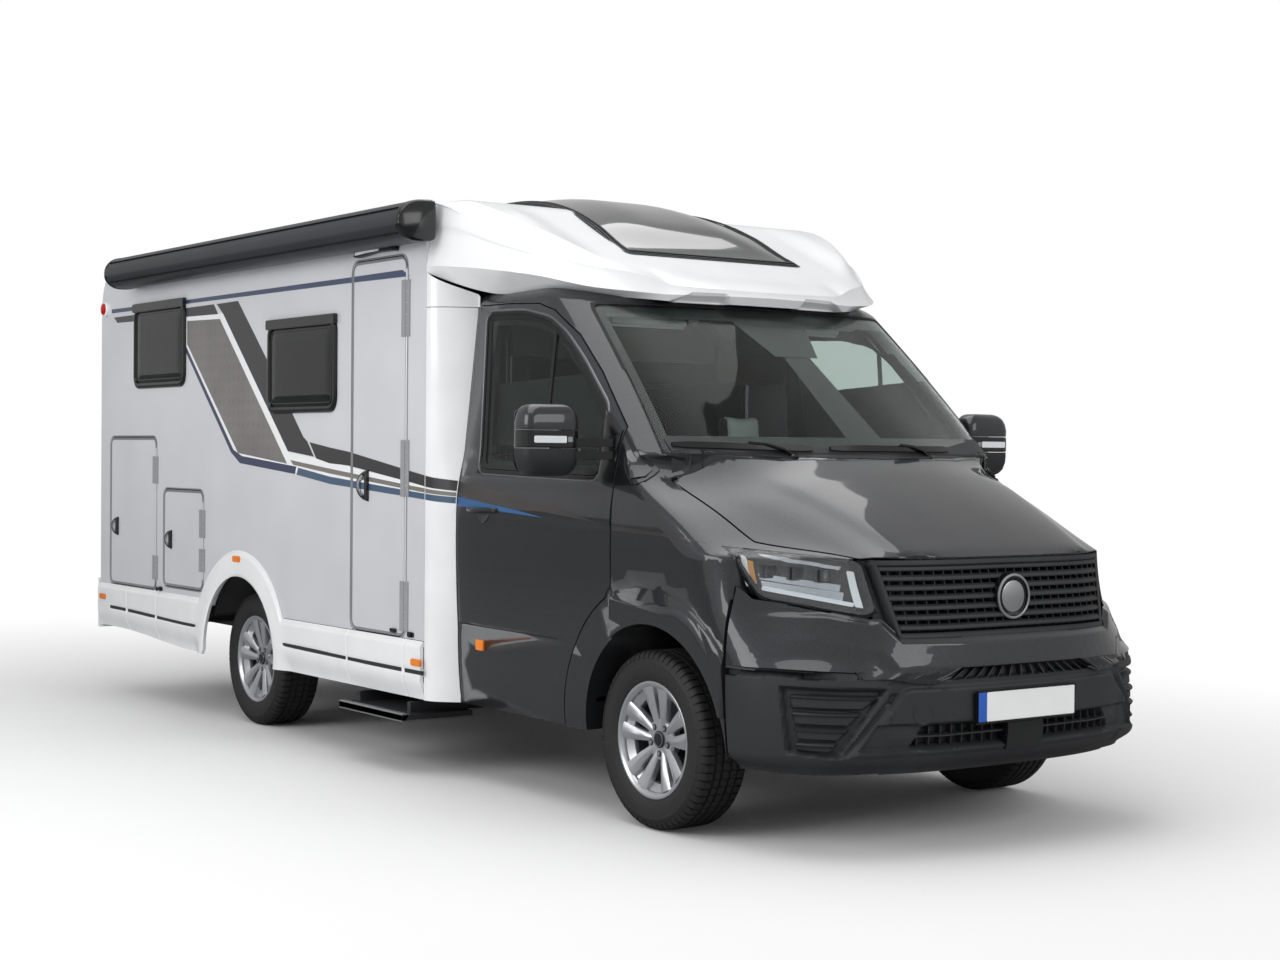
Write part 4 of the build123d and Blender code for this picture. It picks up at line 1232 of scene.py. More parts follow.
def headlamp(side):
    """One complete lamp; the left one is the right one mirrored."""
    flip = side == LEFT
    name = "left" if flip else "right"
    outline = rounded(LENS_VIEW, 0.03, 5)
    lens = Workpiece().sheet(outline, from_ahead, 0.0, 0.004, 0.02)
    lens_piece = lens.finish(f"headlamp_lens_{name}", lamp_lens, mirrored=flip, sharp=60)
    bowl = Workpiece().sheet(outline, lamp_place(0.072), 0.0, 0.003, 0.03)
    front_points = [from_ahead(p[0], p[1])[0] + Vector((0, 0.004, 0)) for p in outline]
    back_points = [p + Vector((0, 0.070, 0)) for p in front_points]
    count = len(front_points)
    bowl.add(
        front_points + back_points,
        [(i, (i + 1) % count, count + (i + 1) % count, count + i) for i in range(count)]
    )
    bowl.finish(f"headlamp_bowl_{name}", lamp_bezel, mirrored=flip, sharp=40)
    # Painted edge inside the lens.
    border = Workpiece()
    mid = sum(outline, Vector((0, 0))) / count
    for i in range(count):
        quads = []
        for p in (outline[i], outline[(i + 1) % count]):
            q = p + (mid - p).normalized() * 0.011
            quads.append(
                (
                    from_ahead(p[0], p[1])[0] + Vector((0, 0.0045, 0)),
                    from_ahead(q[0], q[1])[0] + Vector((0, 0.0045, 0))
                )
            )
        border.add([quads[0][0], quads[1][0], quads[1][1], quads[0][1]], [(0, 1, 2, 3)])
    border.finish(f"headlamp_border_{name}", lamp_bezel, mirrored=flip)
    # Shelf with three projector cells.
    cells, glass, bars, amber = Workpiece(), Workpiece(), Workpiece(), Workpiece()
    rim = Workpiece()
    for k, (x, z) in enumerate(((-0.852, 1.046), (-0.785, 1.040), (-0.718, 1.034))):
        front = from_ahead(x, z)[0] + Vector((0, 0.030, 0))
        wide, high = 0.029, 0.021
        ring_out = rounded(
            rectangle(-wide - 0.004, wide + 0.004, -high - 0.004, high + 0.004), 0.006
        )
        rim.plate(ring_out, front + Vector((0, 0.030, 0)), X_AXIS, Z_AXIS, 0.026)
        cell = rounded(rectangle(-wide, wide, -high, high), 0.006)
        cells.plate(cell, front + Vector((0, 0.012, 0)), X_AXIS, Z_AXIS, 0.009)
        dome = [(0.010 * math.sqrt(1 - s ** 2), 0.018 * s) for s in (1.0, 0.7, 0.35, 0.0)]
        glass.turned(dome, front + Vector((0, 0.003, 0)), AHEAD, 32)
    cells.finish(f"headlamp_cells_{name}", reflector, mirrored=flip, bevel=0.001)
    rim.finish(f"headlamp_cell_rims_{name}", lamp_bezel, mirrored=flip, bevel=0.0012)
    glass.finish(f"headlamp_projectors_{name}", screen_glass, mirrored=flip)
    # Outer upright bar, lower L-shaped bar and its return.
    low_bar = [
        (-0.884, 0.976), (-0.720, 0.936), (-0.660, 0.921), (-0.655, 0.936), (-0.716, 0.951),
        (-0.880, 0.993)
    ]
    inner_bar = [(-0.655, 0.922), (-0.632, 0.917), (-0.648, 1.052), (-0.668, 1.054)]
    outer_bar = [(-0.921, 0.992), (-0.905, 0.988), (-0.918, 1.092), (-0.936, 1.102)]
    for bar_outline in (low_bar, inner_bar, outer_bar):
        bars.sheet(rounded(bar_outline, 0.005, 3), lamp_place(0.026), 0.0, 0.012, 0.02)
    bars.finish(f"headlamp_light_bars_{name}", light_guide, mirrored=flip, bevel=0.0015)
    steps = Workpiece()
    for z_low, z_high, back in (
        (0.952, 0.985, 0.040), (0.985, 1.012, 0.052), (1.066, 1.080, 0.044)
    ):
        facet = [
            (-0.872, z_low + 0.030), (-0.678, z_low - 0.010), (-0.672, z_high - 0.012),
            (-0.876, z_high + 0.026)
        ]
        steps.sheet(facet, lamp_place(back), 0.0, 0.008, 0.03)
    steps.finish(f"headlamp_facets_{name}", reflector, mirrored=flip, bevel=0.0015)
    amber.sheet(
        [(-0.900, 1.000), (-0.884, 0.998), (-0.892, 1.080), (-0.912, 1.086)], lamp_place(0.044),
        0.0, 0.006, 0.02
    )
    amber.finish(f"headlamp_turn_bowl_{name}", turn_bowl, mirrored=flip)
    return lens_piece


lenses = [headlamp(side) for side in (RIGHT, LEFT)]
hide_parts("headlamps")

# %% [markdown]
# ## Panels shaped as height fields
# The bumper, the painted fascia and the bonnet have recesses, creases and crowns. Each
# is laid over the plain CAD form as a fine sheet, and a function says how far each point
# stands out or in. A recess is an outline with a depth; a crease is a ridge whose sides
# fall away. Round the nose, places are given as an angle about an upright axis, because
# a view from straight ahead would squeeze the corners.

# %% Height-field helpers
NOSE_AXIS = -0.45           # station of the upright axis
NOSE_RAY, NOSE_MISS = 2.5, 1.6    # how far out a ray starts, and how far in a miss looks
MIDDLE_HALF, MIDDLE_TOP = 0.62, 0.66  # the part where the smooth nose itself is followed
NOSE_ROUNDS = 6
round_tree = tree_of(frame["nodes"]["front_fascia"], frame["nodes"]["front_bumper"])


def nose_angle(x, z):
    """Angle about the upright axis of a place seen from ahead."""
    return math.atan2(x, NOSE_AXIS - nose_station(x, z))


def around_nose(u, z):
    """Point and normal of the nose at an angle and a height."""
    way = Vector((math.sin(u), -math.cos(u), 0))
    start = at(0, NOSE_AXIS, z) + way * NOSE_RAY
    hit, normal = round_tree.ray_cast(start, -way)[:2]
    if hit is None:
        hit, normal = round_tree.find_nearest(start - way * NOSE_MISS)[:2]
    if abs(hit.x) < MIDDLE_HALF and z < MIDDLE_TOP:
        # The place on the smooth nose is closed in on step by step.
        for _ in range(NOSE_ROUNDS):
            station = nose_station(hit.x, z)
            hit = at(math.tan(u) * (NOSE_AXIS - station), station, z)
        return nose_place(hit.x, z)
    return hit, (-normal if normal.dot(way) < 0 else normal)


def inside_distance(u, v, outline):
    """Distance in from an outline's edge: positive inside, negative outside."""
    nearest, inside = 1e9, False
    count = len(outline)
    for i in range(count):
        (u0, v0), (u1, v1) = outline[i], outline[(i + 1) % count]
        du, dv = u1 - u0, v1 - v0
        t = max(0.0, min(1.0, ((u - u0) * du + (v - v0) * dv) / (du * du + dv * dv)))
        nearest = min(nearest, math.hypot(u - u0 - t * du, v - v0 - t * dv))
        if (v0 > v) != (v1 > v) and u < u0 + (v - v0) / (v1 - v0) * du:
            inside = not inside
    return nearest if inside else -nearest


def smooth(value, start, end):
    """Zero before the start, one after the end, with an S-shaped rise between."""
    t = max(0.0, min(1.0, (value - start) / (end - start)))
    return t * t * (3 - 2 * t)


class Relief:
    """Recesses (negative depths) and raised fields, each an outline with a soft edge."""

    def __init__(self):
        self.fields = []

    def field(self, outline, depth, edge=0.008):
        us, vs = [p[0] for p in outline], [p[1] for p in outline]
        self.fields.append(
            (outline, depth, edge, min(us) - edge, max(us) + edge, min(vs) - edge, max(vs) + edge)
        )
        return self

    def __call__(self, u, v):
        total = 0.0
        for outline, depth, edge, u0, u1, v0, v1 in self.fields:
            if u0 < u < u1 and v0 < v < v1:
                total += depth * smooth(inside_distance(u, v, outline), -edge / 2, edge / 2)
        return total


def nose_outline(points):
    """Outline seen from ahead, turned into angles, for the right-hand side."""
    return [(nose_angle(x, z), z) for x, z in points]


def both_sides(relief, points, depth, edge):
    """The same field on the right and on the left."""
    relief.field(nose_outline(points), depth, edge)
    relief.field(nose_outline([(-x, z) for x, z in points]), depth, edge)


# %% [markdown]
# ## Bumper
# The bumper is one big moulding in grained plastic. Each side has a recess with four
# slats, an arm runs diagonally down beside it, and the middle holds a raised panel with
# the number plate, the round cover of the towing eye and an air intake below.

# %% Bumper
bumper_form = Relief()
SIDE_RECESS = [(-0.955, 0.636), (-0.690, 0.632), (-0.625, 0.628), (-0.775, 0.384), (-0.955, 0.400)]
both_sides(bumper_form, SIDE_RECESS, -0.030, 0.014)
SLAT_EDGES = (
    ((-0.932, 0.612), (-0.640, 0.606), (-0.700, 0.560), (-0.932, 0.562)),
    ((-0.931, 0.548), (-0.706, 0.546), (-0.748, 0.500), (-0.931, 0.503)),
    ((-0.930, 0.490), (-0.752, 0.487), (-0.788, 0.445), (-0.930, 0.449)),
    ((-0.929, 0.436), (-0.791, 0.434), (-0.806, 0.402), (-0.928, 0.406))
)
for slat in SLAT_EDGES:
    both_sides(bumper_form, slat, 0.014, 0.006)
    lip = [
        slat[0], slat[1], (slat[1][0] - 0.006, slat[1][1] - 0.012),
        (slat[0][0], slat[0][1] - 0.012)
    ]
    both_sides(bumper_form, lip, 0.010, 0.008)
MIDDLE_PANEL = [
    (-0.560, 0.618), (-0.535, 0.628), (0.535, 0.628), (0.560, 0.618), (0.735, 0.388),
    (-0.735, 0.388)
]
bumper_form.field(nose_outline(MIDDLE_PANEL), 0.012, 0.016)
ARM_LINE = [(-0.600, 0.612), (-0.580, 0.612), (-0.752, 0.386), (-0.772, 0.386)]
both_sides(bumper_form, ARM_LINE, -0.012, 0.010)
INTAKE = [(-0.655, 0.500), (0.655, 0.500), (0.715, 0.408), (-0.715, 0.408)]
bumper_form.field(nose_outline(INTAKE), -0.020, 0.010)
INTAKE_OPEN = (
    ((-0.480, 0.492), (0.480, 0.492), (0.505, 0.462), (-0.505, 0.462)),
    ((-0.510, 0.446), (0.510, 0.446), (0.530, 0.416), (-0.530, 0.416))
)
for opening in INTAKE_OPEN:
    bumper_form.field(nose_outline(opening), -0.035, 0.008)
SLOT = [(-0.560, 0.660), (-0.512, 0.697), (0.512, 0.697), (0.560, 0.660)]
TOP_LINE = (
    (0.0, 0.705), (0.50, 0.705), (0.55, 0.672), (0.68, 0.676), (0.80, 0.690), (1.3, 0.706),
    (1.7, 0.712)
)


def bumper_top(u):
    """Height of the bumper's upper edge at an angle."""
    return lined(TOP_LINE, abs(u))


bumper_form.field(nose_outline(SLOT), -0.026, 0.008)


def bumper_shape(u, z):
    """How far the bumper stands out at an angle and a height."""
    chin = -0.055 * smooth(0.385 - z, 0.0, 0.085) ** 1.3
    top_edge = -0.006 * smooth(z - bumper_top(u) + 0.020, 0.0, 0.020)
    return bumper_form(u, z) + chin + top_edge


BUMPER_END = 1.62
BUMPER_LOW = 0.300
ARCH_CLEAR = 0.470


def fine_sheet(work, place, shape, u_range, v_low, v_high, cells, lift=0.0, keep=None):
    """Grid laid on a surface between two edges, given as functions of u."""
    columns, rows = cells
    index, points, faces = {}, [], []
    for i in range(columns + 1):
        u = u_range[0] + (u_range[1] - u_range[0]) * i / columns
        low, high = v_low(u), v_high(u)
        for j in range(rows + 1):
            v = low + (high - low) * j / rows
            point, normal = place(u, v)
            index[i, j] = len(points)
            points.append(point + normal * (lift + shape(u, v)))
    for i in range(columns):
        for j in range(rows):
            ring = [index[i, j], index[i + 1, j], index[i + 1, j + 1], index[i, j + 1]]
            if keep and not all(keep(points[k]) for k in ring):
                continue
            faces.append(ring)
    return work.add(points, faces)


def thickened(thing, depth):
    """Give a sheet a back, so that it casts shadows and shows an edge like real plastic."""
    modifier = thing.modifiers.new("thickness", "SOLIDIFY")
    modifier.thickness = depth
    modifier.offset = -1.0
    applied(thing)


def outside_arch(point):
    """Is a point clear of the front wheel arch, seen from the side?"""
    return math.hypot(point.y - ARCH_CENTRE.y, point.z - ARCH_CENTRE.z) > ARCH_CLEAR


ARCH_CENTRE = at(0, -0.040, TYRE_RADIUS)


def sheet_object(name, finish, work, facing, depth=0.003, sharp=35):
    """Open sheet as an object: its faces turned towards a point in front, then given a back."""
    bmesh.ops.remove_doubles(work.mesh, verts=work.mesh.verts, dist=1e-5)
    bmesh.ops.recalc_face_normals(work.mesh, faces=work.mesh.faces)
    work.mesh.faces.ensure_lookup_table()
    votes = sum(
        1 if f.normal.dot(facing - f.calc_center_median()) > 0 else -1 for f in work.mesh.faces
    )
    if votes < 0:
        bmesh.ops.reverse_faces(work.mesh, faces=work.mesh.faces)
    thing = object_of(work.mesh, name)
    if depth:
        thickened(thing, depth)
    return settle(thing, finish, sharp=sharp)


bumper_work = Workpiece()
fine_sheet(
    bumper_work, around_nose, bumper_shape, (-BUMPER_END, BUMPER_END), lambda u: BUMPER_LOW,
    bumper_top, (420, 72), 0.001, outside_arch
)
bumper = sheet_object("bumper_moulding", grained_plastic, bumper_work, at(0, -6, 0.6))
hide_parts("front_bumper")

# Ribs stand in the slot and in the intake; a sensor box, a plate holder, a blank plate and
# the towing-eye cover stand on the middle panel.
NOSE_CELL = 0.03


def nose_bit(work, points, lift, depth):
    """Block on the bumper from an outline seen from ahead."""
    work.sheet([(nose_angle(x, z), z) for x, z in points], around_nose, lift, depth, NOSE_CELL)


ribs_work = Workpiece()
for k in range(-11, 12):
    x = k * 0.047
    if abs(x) < 0.53:
        nose_bit(ribs_work, rectangle(x - 0.003, x + 0.003, 0.660, 0.697), -0.004, 0.022)
for k in range(-10, 11):
    x = k * 0.050
    if abs(x) > 0.10:
        nose_bit(ribs_work, rectangle(x - 0.002, x + 0.002, 0.416, 0.492), -0.014, 0.030)
ribs_work.finish("bumper_ribs", grained_plastic, bevel=0.0006, steps=1)

fittings = Workpiece()
nose_bit(fittings, rectangle(-0.100, 0.094, 0.384, 0.484), 0.018, 0.040)
fittings.finish("radar_cover", smooth_black, bevel=0.003)
holder = Workpiece()
nose_y = nose_station(0, 0.55) - 0.016
holder.plate(
    rounded(rectangle(-0.268, 0.268, 0.487, 0.612), 0.008), at(0, nose_y, 0), X_AXIS, Z_AXIS, 0.008
)
holder.finish("plate_holder", smooth_black, bevel=0.002)
plate_white = surface("white_reflective_plate", "#e9eaea", "#f1f2f2", 0.35, 3.0, 0.004)
plate_blue = surface("blue_reflective_band", "#1f55b5", "#2a60c0", 0.35, 3.0, 0.004)
Workpiece().plate(
    rounded(rectangle(-0.215, 0.258, 0.496, 0.606), 0.006), at(0, nose_y - 0.0085, 0), X_AXIS,
    Z_AXIS, 0.002
).finish("blank_plate", plate_white, bevel=0.0006)
Workpiece().plate(
    rounded(rectangle(-0.260, -0.2155, 0.496, 0.606), 0.006), at(0, nose_y - 0.0085, 0), X_AXIS,
    Z_AXIS, 0.002
).finish("plate_band", plate_blue, bevel=0.0006)
rim_line = Workpiece()
for edges in (
    (-0.262, 0.262, 0.4935, 0.4960), (-0.262, 0.262, 0.606, 0.6085),
    (-0.2625, -0.260, 0.4935, 0.6085), (0.258, 0.262, 0.4935, 0.6085)
):
    rim_line.plate(rectangle(*edges), at(0, nose_y - 0.0085, 0), X_AXIS, Z_AXIS, 0.0035)
rim_line.finish("plate_edge", smooth_black)

eye_x, eye_z = -0.490, 0.539
point, normal = around_nose(nose_angle(eye_x, eye_z), eye_z)
cover = Workpiece()
cover.turned(
    [
        (0.006, 0.0), (0.0125, 0.0), (0.0128, 0.036), (0.0135, 0.0385), (0.0128, 0.0400),
        (0.006, 0.0405)
    ], point, normal, 48
)
cover.turned(rectangle(0.0115, 0.0128, 0.0425, 0.0445), point, normal, 48, closed=True)
cover.finish("tow_eye_cover", grained_plastic, sharp=20)

# %% [markdown]
# ## Painted fascia
# The painted band under the lamps and the grille stands out from the plain form. A sharp
# edge runs round it a hand's width below the lamps, and the surface falls away below.

# %% Fascia
lower_mouth = (
    (0.0, 0.811), (0.290, 0.811), (0.545, 0.816), (0.600, 0.882), (0.640, 0.880), (0.900, 0.944),
    (0.962, 1.088), (1.02, 1.10)
)


def fascia_top(u):
    """Height of the fascia's upper edge at an angle: grille sill, then lamp sill, then wing."""
    return lined([(nose_angle(x, z), z) for x, z in lower_mouth], abs(u), LIP_HEIGHT)


LIP_HEIGHT = 1.099
FASCIA_END = 1.60


def fascia_shape(u, z):
    """How far the fascia stands out at an angle and a height."""
    wide = 1.0 - smooth(abs(u), 1.18, 1.5)
    top = min(0.905, fascia_top(u))
    edge_z = top - 0.028
    rise = 0.017 * wide
    above = smooth(top - z, 0.0, 0.030)
    below = 1.0 - smooth(edge_z - z, 0.075, 0.150)
    crease = rise * above * (0.25 + 0.75 * below)
    return crease


fascia_work = Workpiece()
fine_sheet(
    fascia_work, around_nose, fascia_shape, (-FASCIA_END, FASCIA_END),
    lambda u: bumper_top(u) - 0.006, fascia_top, (360, 44), 0.0008, outside_arch
)
fascia = sheet_object(
    "fascia_panel", cab_paint, fascia_work, at(0, -6, 0.8), depth=0.002, sharp=50
)
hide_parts("front_fascia")

# %% [markdown]
# ## Bonnet
# The bonnet is crowned. Its middle is raised between two long creases that spread towards
# the windscreen, with a second, softer pair outside them, as on most van bonnets.

# %% Bonnet
bonnet_tree = tree_of(frame["nodes"]["bonnet"])
from_above = surface_from(bonnet_tree, (0, 0, -1))
CREASES = (
    ((0.459, -0.972), (0.540, -0.600), (0.640, -0.175), 0.010),
    ((0.595, -0.930), (0.700, -0.520), (0.800, -0.090), 0.007)
)


def crease_x(crease, station):
    """Distance across of a crease at a station."""
    (x0, y0), (x1, y1), (x2, y2), _ = crease
    if station <= y1:
        t = (station - y0) / (y1 - y0)
        return x0 + (x1 - x0) * t
    t = (station - y1) / (y2 - y1)
    return x1 + (x2 - x1) * t


def bonnet_shape(x, station):
    """How far the bonnet stands out at a place seen from above."""
    total = 0.0
    for crease in CREASES:
        gap = crease_x(crease, station) - abs(x)
        total += crease[3] * smooth(gap, -0.045, 0.014)
        total -= crease[3] * 0.55 * smooth(gap, 0.03, 0.26)
    fade = smooth(station, -0.995, -0.90) * (1 - smooth(station, -0.42, -0.20))
    return total * fade


BONNET_VIEW = [
    (0, -0.998), (0.30, -0.992), (0.460, -0.983), (0.560, -0.918), (0.640, -0.848),
    (0.845, -0.478), (0.888, 0.000), (0.700, -0.105), (0.460, -0.219), (0.230, -0.279), (0, -0.299)
]
full_view = BONNET_VIEW + [(-x, y) for x, y in reversed(BONNET_VIEW[1:-1])]
bonnet_work = Workpiece().sheet(full_view, from_above, 0.0006, 0.004, 0.022, bonnet_shape)
bonnet_panel = bonnet_work.finish("bonnet_panel", cab_paint, "bonnet", sharp=40)
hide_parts("bonnet")

# %% [markdown]
# ## Bands and lofts
# Window seals and painted glass edges are bands between two outlines. Mirror heads and
# handles are lofts, a stack of rounded sections joined by faces.

# %% Bands and lofts
def subdivided(outline, step):
    """Outline with points added along its edges."""
    result = []
    count = len(outline)
    for i in range(count):
        a, b = Vector(outline[i]).to_2d(), Vector(outline[(i + 1) % count]).to_2d()
        pieces = max(1, int((b - a).length / step))
        result += [a + (b - a) * k / pieces for k in range(pieces)]
    return result


def offset_outline(outline, amount):
    """Outline moved in (positive) or out (negative), point by point."""
    count = len(outline)
    points = [Vector(p).to_2d() for p in outline]
    area = sum(
        points[i].x * points[(i + 1) % count].y - points[(i + 1) % count].x * points[i].y
        for i in range(count)
    )
    turn_way = 1.0 if area > 0 else -1.0
    result = []
    for i in range(count):
        before, here, after = points[i - 1], points[i], points[(i + 1) % count]
        one, two = (here - before).normalized(), (after - here).normalized()
        normal = (Vector((-one.y, one.x)) + Vector((-two.y, two.x))) * turn_way
        length = max(0.4, normal.length)
        result.append(here + normal.normalized() * amount * min(1.6, 2.0 / length))
    return result


def band_on(work, place, outline, widths, lifts, depth):
    """Band between the outline moved in by each of the widths, with a lift at each."""
    rings = []
    for width, lift in zip(widths, lifts):
        rings.append(
            [
                point + normal * lift for point,
                normal in (place(p.x, p.y) for p in offset_outline(outline, width))
            ]
        )
    rings.append(
        [
            point + normal * (lifts[-1] - depth) for point,
            normal in (place(p.x, p.y) for p in offset_outline(outline, widths[-1]))
        ]
    )
    rings.append(
        [
            point + normal * (lifts[0] - depth) for point,
            normal in (place(p.x, p.y) for p in offset_outline(outline, widths[0]))
        ]
    )
    count = len(outline)
    faces = []
    for r in range(len(rings)):
        s = (r + 1) % len(rings)
        for i in range(count):
            j = (i + 1) % count
            faces.append((r * count + i, r * count + j, s * count + j, s * count + i))
    return work.add([p for ring_points in rings for p in ring_points], faces)


# %% [markdown]
# ## Cab doors
# The door window sits in a black rubber seal ringed by a raised crease, and a thin upright bar
# divides it. The crease is coloured a lighter grey than the cab as a painted highlight. Below the
# window the panel has a soft ridge along its length. The grip is a black bar over a round bowl.
# Two decals run forward from the door's rear edge.

# %% Cab doors and mirrors
decal_blue = surface(
    "metallic_blue_film", "#235a94", "#2c679f", 0.3, 3.0, 0.003, metallic=0.35, Coat_Weight=0.4
)
# This dark taupe serves the door decal and, on the wing, a strip of painted shade along the
# crease.
taupe_decal_and_crease_shade = surface(
    "dark_taupe_film", "#33302f", "#3a3634", 0.34, 3.0, 0.003, metallic=0.2, Coat_Weight=0.3
)
mirror_face = surface(
    "silvered_mirror_glass", "#c9cfd4", "#d3d8dc", 0.02, 9.0, 0.001, metallic=1.0
)
# Painted highlight: a lighter metallic grey for the light caught on the pressed crease round the
# door window.
painted_window_crease_highlight = surface("satin_bright_trim", "#6c6f73", "#7c7f83", 0.28, 4.0, 0.004, metallic=0.7)

# White corner panel between the cab door and the living body: it leans with the door's
# rear edge in front and swells out to the flat side wall behind.
cab_parts = [frame["nodes"][n] for n in ("door_right", "cab_shell", "door_glass_right")]
door_surface = surface_from(tree_of(*cab_parts), (1, 0, 0))
CORNER_FRONT, CORNER_REAR = 1.4275, 1.5795
CORNER_LOW, CORNER_HIGH = 0.352, 2.1305


def corner_x(station, z):
    """Half-width of the corner panel at a place."""
    edge = -door_surface(1.405, max(0.37, min(2.115, z)))[0].x
    share = max(0.0, min(1.0, (station - CORNER_FRONT) / (CORNER_REAR - CORNER_FRONT) * 1.10))
    swell = math.sin(share * math.pi / 2) ** 0.9
    return edge + (1.0985 - edge) * swell


def corner_place(station, z, sign):
    """Corner panel's outer face on the side whose sign is given, as a place with a normal."""
    x = corner_x(station, z)
    growth = (corner_x(station + 0.002, z) - x) / 0.002
    return at(sign * x, station, z), Vector((sign, -growth, 0)).normalized()


corner_panels = []
for sign in (-1, 1):
    corner_work = Workpiece()
    fine_sheet(
        corner_work, lambda u, v: corner_place(u, v, sign), lambda u, v: 0.0,
        (CORNER_FRONT, CORNER_REAR), lambda u: CORNER_LOW, lambda u: CORNER_HIGH, (16, 80)
    )
    corner_panels.append(
        sheet_object(
            "corner_panel_" + ("right" if sign < 0 else "left"), white_gelcoat, corner_work,
            at(sign * 30, 0.5, 1.2), depth=0.004
        )
    )
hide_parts("transition_panels")
side_tree = tree_of(*cab_parts, corner_panels[0])
cab_side = surface_from(side_tree, (1, 0, 0))
glass_tree = tree_of(frame["nodes"]["door_glass_right"])
glass_side = surface_from(glass_tree, (1, 0, 0))
WINDOW = [
    (0.340, 1.385), (0.340, 1.655), (0.560, 1.862), (0.700, 1.975), (0.822, 2.042), (1.030, 2.082),
    (1.330, 2.092), (1.262, 1.405)
]


def door_form(station, z):
    """Pressed shape of the lower door: a shoulder under the window, a ridge along the middle."""
    ridge = 1.196 + 0.014 * smooth(station, 0.2, 1.4)
    over = 0.007 * smooth(z - ridge, -0.010, 0.006) * (1.0 - smooth(z - ridge, 0.03, 0.150))
    belt = 0.006 * smooth(z, 1.335, 1.352) * (1.0 - smooth(z, 1.362, 1.376))
    sill = -0.004 * (1.0 - smooth(z - 0.706, -0.006, 0.004))
    side = smooth(station, 0.22, 0.30) * (1.0 - smooth(station, 1.34, 1.41))
    return over * (0.4 + 0.6 * side) + belt * side + sill * side


def arch_edge(radius, start, end, steps):
    """Points of a circle about the front arch, from one station to another."""
    result = []
    for i in range(steps + 1):
        station = start + (end - start) * i / steps
        result.append((station, 0.354 + math.sqrt(max(0.0, radius ** 2 - (station + 0.040) ** 2))))
    return result


LOWER_DOOR = (
    [(1.4125, 0.356), (1.4125, 1.372), (0.2175, 1.372), (0.2175, 0.962), (0.243, 0.927)]
    + arch_edge(0.6235, 0.262, 0.572, 14) + [(0.5745, 0.356)]
)
mouth = subdivided(rounded(WINDOW, 0.05, 4), 0.05)


def mirror_head(side_name, flip):
    """Door mirror with its metallic cap, black waist, indicator and two arms."""
    body = f"cab_door_{side_name}"

    def section(z, inset, x0=-1.350, x1=-1.092, y0=0.325, y1=0.452):
        return [
            at(p.x, p.y, z)
            for p in rounded(
                [
                    (x0 + inset, y0 + inset * 0.9), (x1 - inset, y0 + inset * 0.6),
                    (x1 - inset, y1 - inset * 0.3), (x0 + inset, y1 - inset * 0.3)
                ], 0.045, 5
            )
        ]
    cap = Workpiece()
    cap.loft(
        [
            section(1.572, 0.001), section(1.600, 0.0), section(1.630, 0.005),
            section(1.652, 0.014), section(1.666, 0.028), section(1.674, 0.045),
            section(1.677, 0.060)
        ]
    )
    cap_piece = cap.finish(f"mirror_cap_{side_name}", cab_paint, body, mirrored=flip, sharp=50)
    waist = Workpiece()
    waist.loft(
        [
            section(1.500, 0.004), section(1.503, 0.000), section(1.566, 0.000),
            section(1.570, 0.004)
        ]
    )
    Workpiece().loft(
        [
            section(1.388, 0.058), section(1.391, 0.042), section(1.400, 0.026),
            section(1.418, 0.012), section(1.450, 0.003), section(1.480, 0.001),
            section(1.498, 0.001)
        ]
    ).finish(f"mirror_lower_{side_name}", grained_plastic, body, mirrored=flip, sharp=50)
    for z0, z1 in ((1.455, 1.488), (1.506, 1.540)):
        path = [(-0.945, 0.262), (-1.000, 0.258), (-1.060, 0.300), (-1.120, 0.352)]
        rows = []
        for x, y in path:
            rows.append(
                [
                    at(x, y - 0.018, z0), at(x, y + 0.030, z0), at(x, y + 0.030, z1),
                    at(x, y - 0.018, z1)
                ]
            )
        waist.loft(rows)
    hub_path = [(-0.925, 0.250), (-0.968, 0.252), (-0.990, 0.262)]
    waist.loft(
        [
            [
                at(x, y - 0.030, 1.440), at(x, y + 0.055, 1.440), at(x, y + 0.055, 1.555),
                at(x, y - 0.030, 1.555)
            ] for x, y in hub_path
        ]
    )
    waist.finish(f"mirror_waist_{side_name}", smooth_black, body, bevel=0.004, mirrored=flip)
    Workpiece().plate(
        rounded(rectangle(-1.318, -1.165, 1.520, 1.548), 0.006), at(0, 0.3285, 0), X_AXIS, Z_AXIS,
        0.006
    ).finish(f"mirror_indicator_{side_name}", light_guide, body, bevel=0.0015, mirrored=flip)
    Workpiece().plate(
        rounded(rectangle(-1.160, -1.138, 1.524, 1.545), 0.004), at(0, 0.327, 0), X_AXIS, Z_AXIS,
        0.004
    ).finish(f"mirror_repeater_{side_name}", reflector, body, mirrored=flip)
    glass = Workpiece()
    glass.plate(
        rounded(rectangle(-1.110, -1.335, 1.408, 1.655), 0.03), at(0, 0.4535, 0), (-1, 0, 0),
        (0, 0, 1), -0.003
    )
    glass.plate(
        rounded(rectangle(-1.110, -1.335, 1.408, 1.655), 0.03), at(0, 0.4515, 0), X_AXIS, Z_AXIS,
        -0.002
    )
    glass.finish(f"mirror_glass_{side_name}", mirror_face, body, mirrored=flip)
    return cap_piece


